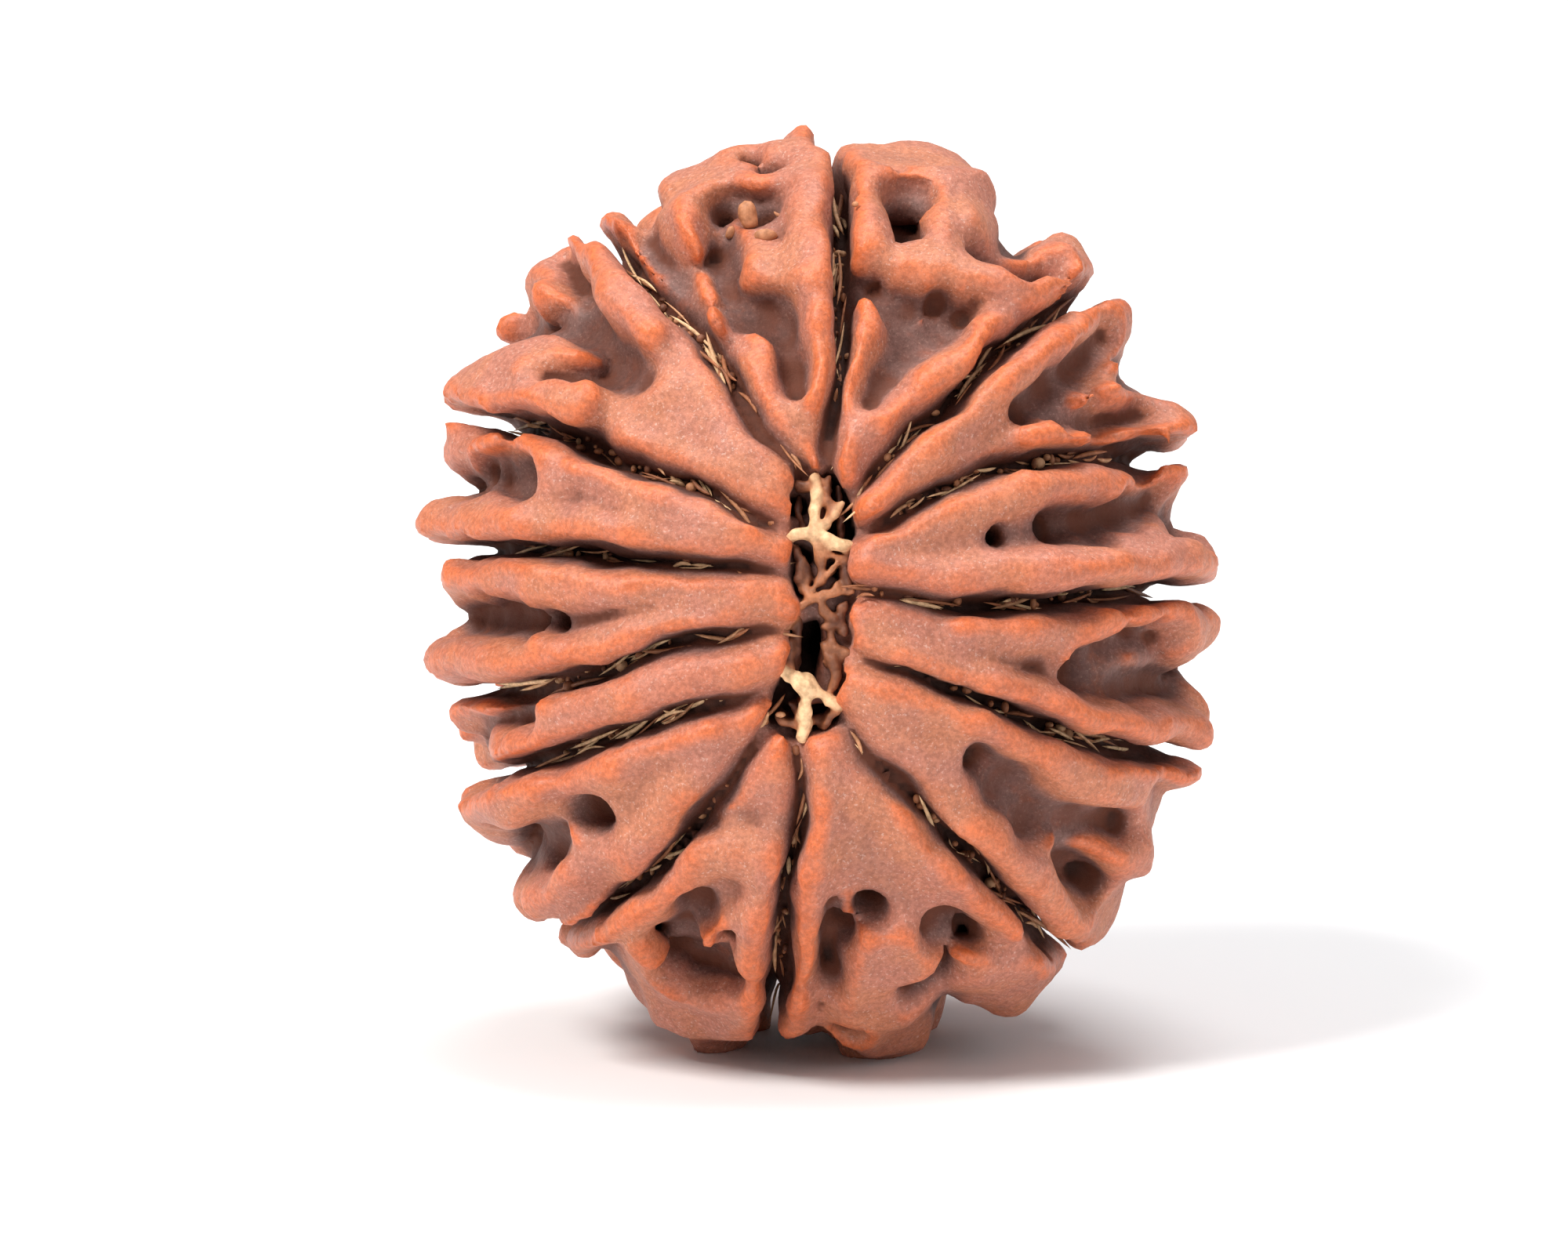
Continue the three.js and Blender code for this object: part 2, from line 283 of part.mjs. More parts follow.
// Ridges, lips and teeth of the front, face by face: height over the core at the start and end,
// half width at the start and end, 1 for a free tip, and the points [x, z] of the crest
const ridges = [
  // fingers in the lower right face
  [1.9, 2.3, 0.42, 0.35, 1, [[6.2, -4.8], [7.4, -5.1], [8.6, -5.3]]],
  [1.7, 2.2, 0.42, 0.5, 1, [[6.6, -6.8], [7.5, -6.9], [8.5, -7.1]]],
  [1.6, 1.8, 0.3, 0.3, 0, [[4.6, -6.0], [5.4, -6.1], [6.1, -6.4]]],
  // S1
  [2.4, 2.3, 0.35, 0.4, 0, [[-0.3, 12.3], [-0.2, 11.0], [-0.15, 9.6], [-0.1, 8.5]]],
  [2.2, 1.95, 0.52, 0.45, 0, [[-0.25, 8.3], [-0.08, 7.3], [-0.12, 6.3], [-0.05, 5.3]]],
  [1.9, 2.3, 0.42, 0.3, 1, [[-3.1, 7.6], [-4.0, 8.45], [-5.1, 9.2], [-5.95, 10.05]]],
  // S2
  [2.05, 1.5, 0.45, 0.3, 0, [[1.3, 7.8], [1.12, 6.9], [0.92, 6], [0.62, 5], [0.25, 3.6]]],
  [2.6, 2.7, 0.45, 0.4, 1, [[5.1, 8.8], [6.1, 9.0], [6.9, 9.2]]],
  [2.3, 2.4, 0.35, 0.4, 0, [[5.9, 8.0], [6.6, 8.3], [7.0, 8.8]]],
  [1.7, 2.0, 0.3, 0.36, 1, [[0.4, 3.5], [1.6, 4.7], [2.9, 5.8], [4.0, 6.45]]],
  // S3
  [1.6, 2.3, 0.3, 0.42, 1, [[1.3, 2.4], [3.0, 4.1], [5, 5.75], [6.7, 6.85]]],
  [2.3, 2.5, 0.4, 0.35, 0, [[7.0, 6.7], [7.8, 7.6], [8.05, 7.0], [7.7, 6.4]]],
  [2.0, 2.5, 0.4, 0.36, 1, [[5.8, 4.55], [7.2, 4.5], [8.5, 4.45]]],
  [2.2, 2.8, 0.4, 0.3, 1, [[7.1, 5.6], [8.4, 5.2], [9.6, 4.6]]],
  // S4
  [1.6, 2.3, 0.3, 0.38, 0, [[1.6, 1.5], [3.6, 2.3], [5.6, 2.9], [7.6, 3.05], [8.35, 2.7],
    [8.35, 1.9]]],
  [1.6, 2.8, 0.3, 0.36, 1, [[1.5, 0.5], [4, 0.45], [7, 0.6], [9, 0.8], [10.6, 0.8]]],
  // S5
  [2.2, 2.4, 0.36, 0.32, 0, [[6.9, -1.8], [7.1, -1.2], [7.8, -0.75], [8.8, -0.5], [9.4, -0.9],
    [9.1, -1.5]]],
  [1.8, 2.0, 0.32, 0.36, 0, [[4.0, -0.9], [5.4, -0.9], [6.3, -1.1]]],
  [1.6, 2.6, 0.3, 0.36, 1, [[2.2, -1.8], [4.5, -2.6], [7, -3.35], [9.2, -3.6], [10.3, -3.45]]],
  // S6
  [1.6, 2.3, 0.32, 0.42, 1, [[1.8, -2.5], [4, -3.5], [6, -4.4], [7.6, -4.8]]],
  [2.0, 2.4, 0.36, 0.36, 1, [[4.6, -6.5], [5.8, -7.8], [7.2, -9.2]]],
  // S7
  [1.8, 2.4, 0.36, 0.4, 1, [[2.3, -6], [3.6, -7.5], [5.4, -9.1]]],
  [1.8, 2.5, 0.32, 0.3, 1, [[-0.2, -5.6], [-0.25, -7.5], [-0.3, -10.4]]],
  [2.7, 2.7, 0.5, 0.5, 0, [[1.0, -12], [1.5, -12.3]]],
  // S8
  [1.9, 2.3, 0.36, 0.36, 0, [[-3.3, -6.95], [-2.2, -7.1], [-1.4, -7.2], [-1.6, -8.6],
    [-1.75, -9.9]]],
  [1.9, 2.5, 0.38, 0.38, 1, [[-3.3, -7.1], [-4.8, -8.2], [-6.6, -9.25]]],
  [2.2, 2.3, 0.22, 0.2, 1, [[-2.7, -8.9], [-3.1, -9.4], [-3.5, -9.85]]],
  // S9
  [1.8, 2.6, 0.36, 0.36, 1, [[-3, -3.4], [-5.5, -4.5], [-8, -5.4], [-9.6, -5.55]]],
  [1.8, 2.4, 0.36, 0.36, 0, [[-3.6, -5.6], [-5.2, -7.1], [-7, -7.9], [-7.9, -8.4]]],
  // S10
  [1.7, 2.5, 0.34, 0.34, 1, [[-2, -1.85], [-5, -2.7], [-7.5, -3.3], [-9.6, -3.1]]],
  // S11
  [1.7, 2.6, 0.32, 0.34, 1, [[-2, 0.05], [-5, 0.35], [-7.5, 0.45], [-10, 0.55]]],
  [1.7, 2.7, 0.32, 0.36, 1, [[-2.5, -0.65], [-5, -1.25], [-7.5, -1.7], [-10.4, -1.8]]],
  // S12
  [1.7, 2.3, 0.34, 0.36, 0, [[-2, 1.75], [-4.4, 2.6], [-6.4, 3.5], [-7.9, 3.85]]],
  [2.2, 2.1, 0.26, 0.26, 0, [[-8.2, 3.7], [-7.3, 3.5], [-7.15, 2.9], [-7.6, 2.3]]],
  [1.7, 2.8, 0.34, 0.4, 1, [[-2.5, 1.3], [-5, 1.6], [-8, 1.85], [-10.7, 1.85]]],
  // S13
  [2.3, 2.4, 0.38, 0.42, 0, [[-4.7, 7.1], [-5.6, 8.1], [-6.6, 9.0], [-7.3, 9.3], [-7.3, 8.4],
    [-7.2, 7.7]]],
  [2.2, 2.7, 0.36, 0.32, 1, [[-6.2, 5.3], [-7.6, 5.35], [-9, 5.35], [-10.2, 5.3]]],
];

// Valleys between the fingers of a face: height of the bottom at the start and end,
// half width at the start and end, and the points [x, z]
const valleys = [
  [0.7, 0.8, 0.3, 0.2, [[-2.5, 8.4], [-2.0, 7.5], [-1.05, 7.2], [-0.8, 6.2], [-0.75, 5.5]]],
  [1.0, 0.9, 0.35, 0.25, [[-4.7, 9.8], [-3.9, 8.7], [-3.2, 7.7]]],
  [1.3, 0.9, 0.2, 0.3, [[-2.75, 10.4], [-2.6, 9.6], [-2.4, 9.0]]],
  [0.9, 1.1, 0.45, 0.2, [[3.3, 7.3], [2.4, 6.7], [1.9, 5.9], [1.5, 5.2]]],
  [1.1, 0.9, 0.3, 0.35, [[1.3, 8.4], [2.0, 7.9], [2.4, 7.2]]],
  [0.9, 0.8, 0.25, 0.3, [[4.0, 8.9], [4.9, 8.5], [6.1, 8.5]]],
  [0.9, 1.1, 0.4, 0.3, [[-7.3, 7.6], [-6.4, 7.3], [-5.5, 6.5], [-4.9, 5.9]]],
  [1.2, 0.8, 0.25, 0.3, [[-7.1, 9.3], [-6.4, 8.2], [-6.1, 7.4]]],
  [1.6, 1.1, 0.15, 0.25, [[-7.4, 5.9], [-6.2, 6.0]]],
  [1.2, 1.1, 0.35, 0.35, [[-9.1, 3.5], [-8.3, 3.2], [-7.6, 3.1]]],
  [1.2, 1.1, 0.3, 0.2, [[-9.5, -0.6], [-8.5, -0.6], [-7.5, -0.8]]],
  [1.0, 0.9, 0.2, 0.2, [[-9.2, -3.5], [-8.2, -3.3], [-7.2, -3.1]]],
  [1.0, 1.2, 0.4, 0.25, [[-8.3, -6.7], [-7.4, -7.0], [-6.9, -6.4]]],
  [0.8, 1.3, 0.35, 0.2, [[-5.8, -5.8], [-6.6, -5.9]]],
  [1.1, 1.0, 0.3, 0.35, [[-3.2, -8.2], [-3.8, -9.2], [-3.4, -10.1], [-2.6, -10.0]]],
  [1.3, 1.0, 0.1, 0.2, [[0.4, -8.3], [0.3, -9.0], [0.1, -10.0]]],
  [1.2, 1.2, 0.2, 0.2, [[3.0, -8.9], [3.7, -8.8]]],
  [1.2, 1.2, 0.3, 0.3, [[3.4, -9.9], [2.6, -10.4]]],
  [0.8, 0.9, 0.3, 0.6, [[4.1, -4.5], [5.0, -5.2], [5.7, -5.9]]],
  [0.9, 1.1, 0.4, 0.25, [[5.8, -6.0], [6.9, -6.1], [8.0, -6.3]]],
  [1.1, 0.9, 0.25, 0.35, [[6.4, -6.9], [7.0, -7.7]]],
  [0.7, 1.1, 0.35, 0.25, [[6.7, -2.0], [7.8, -1.5], [9.0, -1.3]]],
  [0.8, 1.2, 0.25, 0.3, [[6.9, -2.3], [8.2, -2.5], [9.8, -2.4]]],
  [1.0, 1.0, 0.2, 0.35, [[6.2, 1.8], [7.2, 2.0], [8.2, 2.4], [9.2, 2.6]]],
  [0.8, 1.1, 0.3, 0.35, [[5.3, 4.9], [6.2, 5.6], [6.9, 6.2], [7.9, 7.2]]],
  [0.9, 1.1, 0.25, 0.3, [[6.3, 4.7], [7.4, 4.8], [8.8, 5.0]]],
];

// Pits and hollows of the front: [x, z, radius, height of the bottom over the core]
const pits = [
  [-0.3, -0.9, 0.26, -1.4], [-0.3, -1.5, 0.3, -1.5], [-0.38, -2.0, 0.26, -1.4],
    [0.5, 1.85, 0.26, -0.8],
  [-0.5, 2.4, 0.24, -0.8], [-0.45, 1.1, 0.2, -0.7], [0.45, 0.75, 0.2, -0.7],
    [0.0, -3.1, 0.28, -0.8],
  [-1.0, -2.85, 0.22, -0.3], [0.35, 2.8, 0.2, -0.6], [-0.6, 0.15, 0.18, -0.5],
  [-1.95, 10.5, 0.42, 1.3], [-1.3, 10.65, 0.34, 0.6], [-1.75, 11.05, 0.26, 0.9],
    [-2.45, 10.0, 0.28, 0.6],
  [-1.5, 10.2, 0.3, 0.9],
  [-1.45, 7.6, 0.42, 0.5], [-2.4, 7.9, 0.34, 0.8], [-1.0, 7.6, 0.26, 0.9], [-2.3, 8.9, 0.16, 1.0],
  [2.15, 9.85, 0.5, 0.2], [5.6, 8.15, 0.3, 0.6], [2.0, 11.65, 0.18, 2.0],
  [2.5, 7.8, 0.28, 0.8], [3.2, 7.8, 0.26, 0.8], [3.9, 7.5, 0.26, 0.9],
  [6.2, 5.6, 0.45, 0.7], [5.3, 4.85, 0.22, 0.7], [7.3, 5.4, 0.2, 1.2],
  [4.45, 1.5, 0.3, 0.3], [5.9, 1.7, 0.34, 0.4], [6.6, 1.95, 0.3, 1.0],
  [6.6, -2.05, 0.46, 0.3], [8.5, -1.0, 0.32, 0.8],
  [4.05, -4.5, 0.34, 0.3], [7.0, -7.7, 0.3, 0.7],
  [1.3, -7.95, 0.38, 0.3], [0.6, -8.6, 0.3, 0.6], [3.4, -8.9, 0.36, 1.2], [4.0, -8.85, 0.18, 0.9],
  [0.8, -10.9, 0.4, 0.7],
  [-3.3, -8.25, 0.5, 0.7], [-3.9, -9.6, 0.3, 0.6], [-3.5, -11.1, 0.38, 0.9], [-2.3, -8.8, 0.2, 0.9],
  [-2.9, -10.0, 0.3, 1.1],
  [-5.8, -5.8, 0.52, 0.4], [-6.45, -0.65, 0.3, 0.5], [-7.2, -0.8, 0.2, 0.8],
  [-7.75, 3.0, 0.48, 0.8], [-8.9, 3.3, 0.26, 0.9], [-6.5, 7.45, 0.45, 0.7], [-5.6, 6.2, 0.36, 1.0],
];

// Lobes below the rim that the bead stands on: points [x, y, z, half width]
const feet = [
  [[1.4, 0.3, -10.6, 0.8], [1.4, 0.15, -12.5, 0.68]],
  [[-2.9, 1.0, -10.2, 0.9], [-2.9, 1.0, -12.4, 0.6]],
  [[-1.8, 3.3, -9.3, 1.3], [-1.8, 3.9, -11.6, 0.95]],
  [[2.4, 3.3, -9.3, 1.3], [2.4, 3.9, -11.6, 0.95]],
];

// Small helpers
const add = (a, b, k = 1) => [a[0] + b[0] * k, a[1] + b[1] * k, a[2] + b[2] * k];
const sub = (a, b) => [a[0] - b[0], a[1] - b[1], a[2] - b[2]];
const dot = (a, b) => a[0] * b[0] + a[1] * b[1] + a[2] * b[2];
const cross = (a, b) => [a[1] * b[2] - a[2] * b[1], a[2] * b[0] - a[0] * b[2], a[0] * b[1] - a[1] * b[0]];
const mix = (a, b, t) => a + (b - a) * t;
const clamp = (v, low, high) => Math.min(Math.max(v, low), high);

function smoothStep(from, to, v) {
  const t = clamp((v - from) / (to - from), 0, 1);
  return t * t * (3 - 2 * t);
}

function smoothMin(a, b, k) {
  const h = Math.max(k - Math.abs(a - b), 0) / k;
  return Math.min(a, b) - h * h * k * 0.25;
}

function smoothMax(a, b, k) {
  return -smoothMin(-a, -b, k);
}

// A small repeatable generator, so that the bead comes out the same each time
class Draw {
  constructor(state) {
    this.state = state;
  }

  between(low, high) {
    this.state = (this.state * 16807) % 2147483647;
    return low + (high - low) * this.state / 2147483647;
  }
}

// The core: an egg with a squarish outline seen along the channel
function coreSum(x, z, grow = 0) {
  const s = Math.abs(x / (core.x + grow)) ** core.power + Math.abs(z / (core.z + grow)) ** core.power;
  return s ** (2 / core.power);
}

function coreSlope(x, y, z) {
  const p = core.power;
  const s = Math.max(Math.abs(x / core.x) ** p + Math.abs(z / core.z) ** p, 1e-9);
  const k = s ** (2 / p - 1);
  return [
    k * Math.abs(x / core.x) ** (p - 1) / core.x * Math.sign(x),
    y / core.y ** 2,
    k * Math.abs(z / core.z) ** (p - 1) / core.z * Math.sign(z),
  ];
}

function coreNormal(p) {
  const n = coreSlope(...p);
  return add([0, 0, 0], n, 1 / Math.sqrt(dot(n, n)));
}

// Height of a point over the core
function coreHeight(x, y, z) {
  const rho = Math.sqrt(coreSum(x, z) + (y / core.y) ** 2);
  const g = coreSlope(x, y, z);
  const slope = Math.sqrt(dot(g, g)) / Math.max(rho, 1e-6);
  return (rho - 1) / Math.max(slope, 1e-6);
}

// The point over [x, z] at a height above the core, on the front (side -1) or the back (side 1)
function seat(x, z, rise, side = -1) {
  const g = coreSum(x, z, rise);
  if (g >= 0.999) {
    const f = rise > 0.5 ? 1 : 1 / Math.sqrt(g);
    return [x * f, 0, z * f];
  }
  return [x, side * (core.y + rise) * Math.sqrt(1 - g), z];
}

// Each groove is one line on the core, from the front mouth over the rim to the back mouth.
// out is 0 at a mouth and 1 at the rim, r is half the groove's width there.
function grooveLines(draw) {
  return Object.entries(grooves).map(([name, points]) => {
    const n = points.length;
    const line = points.map(([x, z], i) => ({ at: seat(x, z, 0), out: (i + 0.5) / n }));
    const swayA = draw.between(...backLine.sway);
    const swayB = draw.between(...backLine.sway);
    const back = [];
    for (let i = n - 1; i >= 0; i -= 1) {
      const w = i / (n - 1);
      const x = points[i][0] + swayA * Math.sin(backLine.waveX * w + swayB * backLine.phaseX) * w;
      const z = points[i][1] + swayB * Math.sin(backLine.waveZ * w + swayA * backLine.phaseZ) * w;
      if (coreSum(x, z) < backLine.edge) {
        back.push({ at: seat(x, z, 0, 1), out: (i + 0.5) / n });
      }
    }
    if (line[n - 1].at[1] < backLine.shortOfRim) {
      const [x, z] = points[n - 1];
      const f = 1 / Math.sqrt(coreSum(x, z));
      line.push({ at: [x * f, 0, z * f], out: 1 });
    }
    const [narrow, wide] = grooveWidths[name];
    return line.concat(back).map(({ at, out }) => (
      { at, out, r: Math.max(mix(narrow, wide, out), grooveCut.leastHalf) }));
  });
}

// Points spread evenly along a line of [x, z]
function resample(points, count) {
  const way = [0];
  for (let i = 1; i < points.length; i += 1) {
    way.push(way[i - 1] + Math.hypot(points[i][0] - points[i - 1][0], points[i][1] - points[i - 1][1]));
  }
  const result = [];
  let j = 0;
  for (let i = 0; i < count; i += 1) {
    const s = way[way.length - 1] * i / (count - 1);
    while (j < way.length - 2 && way[j + 1] < s) {
      j += 1;
    }
    const t = clamp((s - way[j]) / (way[j + 1] - way[j]), 0, 1);
    result.push([mix(points[j][0], points[j + 1][0], t), mix(points[j][1], points[j + 1][1], t)]);
  }
  return result;
}

// A point between two grooves: across goes from 0 on one to 1 on the other, out from mouth to rim
function between(a, b, across, out) {
  const count = 24;  // pieces that each groove line is read in
  const i = clamp(out, 0, 1) * (count - 1);
  const j = Math.min(Math.floor(i), count - 2);
  const t = i - j;
  const pa = resample(a, count);
  const pb = resample(b, count);
  return [0, 1].map((k) => mix(mix(pa[j][k], pa[j + 1][k], t), mix(pb[j][k], pb[j + 1][k], t), across));
}

function neighbours() {
  const lines = Object.values(grooves);
  return lines.map((line, i) => [line, lines[(i + 1) % lines.length]]);
}

// Ridges on the back: two lips a face, with side branches, and pits between them
function backRelief(draw) {
  const rows = [];
  const holes = [];
  for (const [a, b] of neighbours()) {
    for (const across of backShape.lipAcross) {
      const line = [];
      for (let i = 0; i <= backShape.lipSteps; i += 1) {
        line.push(between(a, b, across, mix(...backShape.lipOut, i / backShape.lipSteps)));
      }
      rows.push([...backShape.lip, 0, line]);
      const branches = draw.between(0, 1) > 0.5 ? 3 : 2;
      for (let k = 0; k < branches; k += 1) {
        const out = mix(...backShape.branchOut, (k + draw.between(0.1, 0.9)) / 3);
        const turn = (0.5 - across) * draw.between(...backShape.branchTurn);
        rows.push([...backShape.branch, 1, [
          between(a, b, across, out),
          between(a, b, across + turn * 0.5, out + backShape.branchReach * 0.4),
          between(a, b, across + turn, out + backShape.branchReach),
        ]]);
      }
    }
    for (let k = 0; k < 2; k += 1) {
      const out = draw.between(...backShape.pitOut);
      const p = between(a, b, draw.between(...backShape.pitAcross), out);
      holes.push([p[0], p[1], draw.between(...backShape.pitHalf), draw.between(...backShape.pitBottom)]);
    }
  }
  return { rows, holes };
}

// Teeth just behind the rim
function rimTeeth(draw) {
  const teeth = [];
  for (const [lineA, lineB] of neighbours()) {
    const a = lineA[lineA.length - 1];
    const b = lineB[lineB.length - 1];
    for (const across of toothShape.across) {
      let x = mix(a[0], b[0], across);
      let z = mix(a[1], b[1], across);
      const f = 1 / Math.sqrt(coreSum(x, z));
      x *= f;
      z *= f;
      const y = draw.between(...toothShape.behind);
      const rise = draw.between(...toothShape.rise);
      const shrink = Math.sqrt(1 - (y / core.y) ** 2);
      const n = coreNormal([x, 0.001, z]);
      const foot = [x * shrink, y, z * shrink];
      const tip = [x * shrink, y + draw.between(...toothShape.lean), z * shrink];
      teeth.push([
        { at: add(foot, n, toothShape.footRise), r: toothShape.footHalf, down: toothShape.footDown },
        { at: add(tip, n, rise), r: toothShape.tipHalf, down: toothShape.tipDown },
      ]);
    }
  }
  return teeth;
}

// A ridge row as balls seated over the core; down is how far each is drawn inwards
function ridgeChain([top0, top1, r0, r1, free, points], side = -1) {
  const last = points.length - 1;
  return points.map((p, i) => {
    const t = i / last;
    const r = mix(r0, r1, t);
    const top = mix(top0, top1, t);
    let down = top - r + ridgeShape.root;
    if (free && i === last) {
      down = ridgeShape.tip;
    } else if (free && i === last - 1) {
      down *= ridgeShape.beforeTip;
    }
    return { at: seat(p[0], p[1], top - r, side), r, down };
  });
}

// A round cone between two balls, drawn out along the core's normal (sign 1 outwards, -1 inwards)
function makeFin(a, b, sign, flare) {
  const along = sub(b.at, a.at);
  const length2 = dot(along, along) || 1e-9;
  const n = coreNormal(add(a.at, along, 0.5));
  return (p) => {
    let q = sub(p, a.at);
    const t = clamp(dot(q, along) / length2, 0, 1);
    q = add(q, along, -t);
    const q2 = dot(q, q);
    const rise = dot(q, n);
    const c = clamp(sign * rise, 0, mix(a.down, b.down, t));
    const far = Math.sqrt(Math.max(q2 - 2 * c * sign * rise + c * c, 0));
    return {
      distance: far - mix(a.r, b.r, t) - flare * c,
      aside: Math.sqrt(Math.max(q2 - rise * rise, 0)),
    };
  };
}

// The grid that holds the field
const size = gridLow.map((low, i) => Math.ceil((gridHigh[i] - low) / gridStep) + 1);
const strideX = size[1] * size[2];
const strideY = size[2];

function gridPoint(i, j, k) {
  return [gridLow[0] + i * gridStep, gridLow[1] + j * gridStep, gridLow[2] + k * gridStep];
}

function eachInBox(a, b, pad, visit) {
  const from = [0, 1, 2].map((c) => (
    Math.max(0, Math.floor((Math.min(a[c], b[c]) - pad - gridLow[c]) / gridStep))));
  const to = [0, 1, 2].map((c) => (
    Math.min(size[c] - 1, Math.ceil((Math.max(a[c], b[c]) + pad - gridLow[c]) / gridStep))));
  for (let i = from[0]; i <= to[0]; i += 1) {
    for (let j = from[1]; j <= to[1]; j += 1) {
      for (let k = from[2]; k <= to[2]; k += 1) {
        visit(i * strideX + j * strideY + k, gridPoint(i, j, k));
      }
    }
  }
}

function eachPair(chain, visit) {
  for (let i = 0; i + 1 < chain.length; i += 1) {
    visit(chain[i], chain[i + 1]);
  }
}

// Cuts the corners of a closed outline twice
function rounded(outline) {
  let points = outline;
  for (let turn = 0; turn < 2; turn += 1) {
    points = points.flatMap(([x, z], i) => {
      const [nextX, nextZ] = points[(i + 1) % points.length];
      return [0.25, 0.75].map((t) => [mix(x, nextX, t), mix(z, nextZ, t)]);
    });
  }
  return points;
}

// Distance to a closed outline in the plane of x and z, negative inside it
function outlineDistance(x, z, outline) {
  let near = Infinity;
  let inside = false;
  outline.forEach(([ax, az], i) => {
    const [bx, bz] = outline[(i + 1) % outline.length];
    const ex = bx - ax;
    const ez = bz - az;
    const t = clamp(((x - ax) * ex + (z - az) * ez) / (ex * ex + ez * ez), 0, 1);
    near = Math.min(near, Math.hypot(x - ax - t * ex, z - az - t * ez));
    if ((az > z) !== (bz > z) && x < ax + ex * (z - az) / ez) {
      inside = !inside;
    }
  });
  return inside ? -near : near;
}

// Visits the grid round an outline, from one y to another, with the distance to the outline
function eachInOutline(outline, fromY, toY, visit) {
  const points = rounded(outline);
  const xs = points.map((p) => p[0]);
  const zs = points.map((p) => p[1]);
  const distances = new Map();
  const from = [Math.min(...xs), fromY, Math.min(...zs)];
  const to = [Math.max(...xs), toY, Math.max(...zs)];
  eachInBox(from, to, pad.lobe, (index, p) => {
    const key = `${p[0]} ${p[2]}`;
    if (!distances.has(key)) {
      distances.set(key, outlineDistance(p[0], p[2], points));
    }
    visit(index, p, distances.get(key));
  });
}

// How far out towards the rim a point is: 0 at the mouth, 1 at the rim
function outwards(x, z) {
  return clamp(Math.hypot(x, Math.max(Math.abs(z) - mouthHalf, 0)) / reach, 0, 1);
}

// How far the surface sinks or swells at a point
function swelling(x, y, z) {
  const [a, b, c, d] = swell.waves.map(([kx, ky, kz, phase]) => Math.sin(kx * x + ky * y + kz * z + phase));
  return swell.depth * smoothStep(swell.fromY, swell.toY, y) * (a * b + c * d) / 2;
}

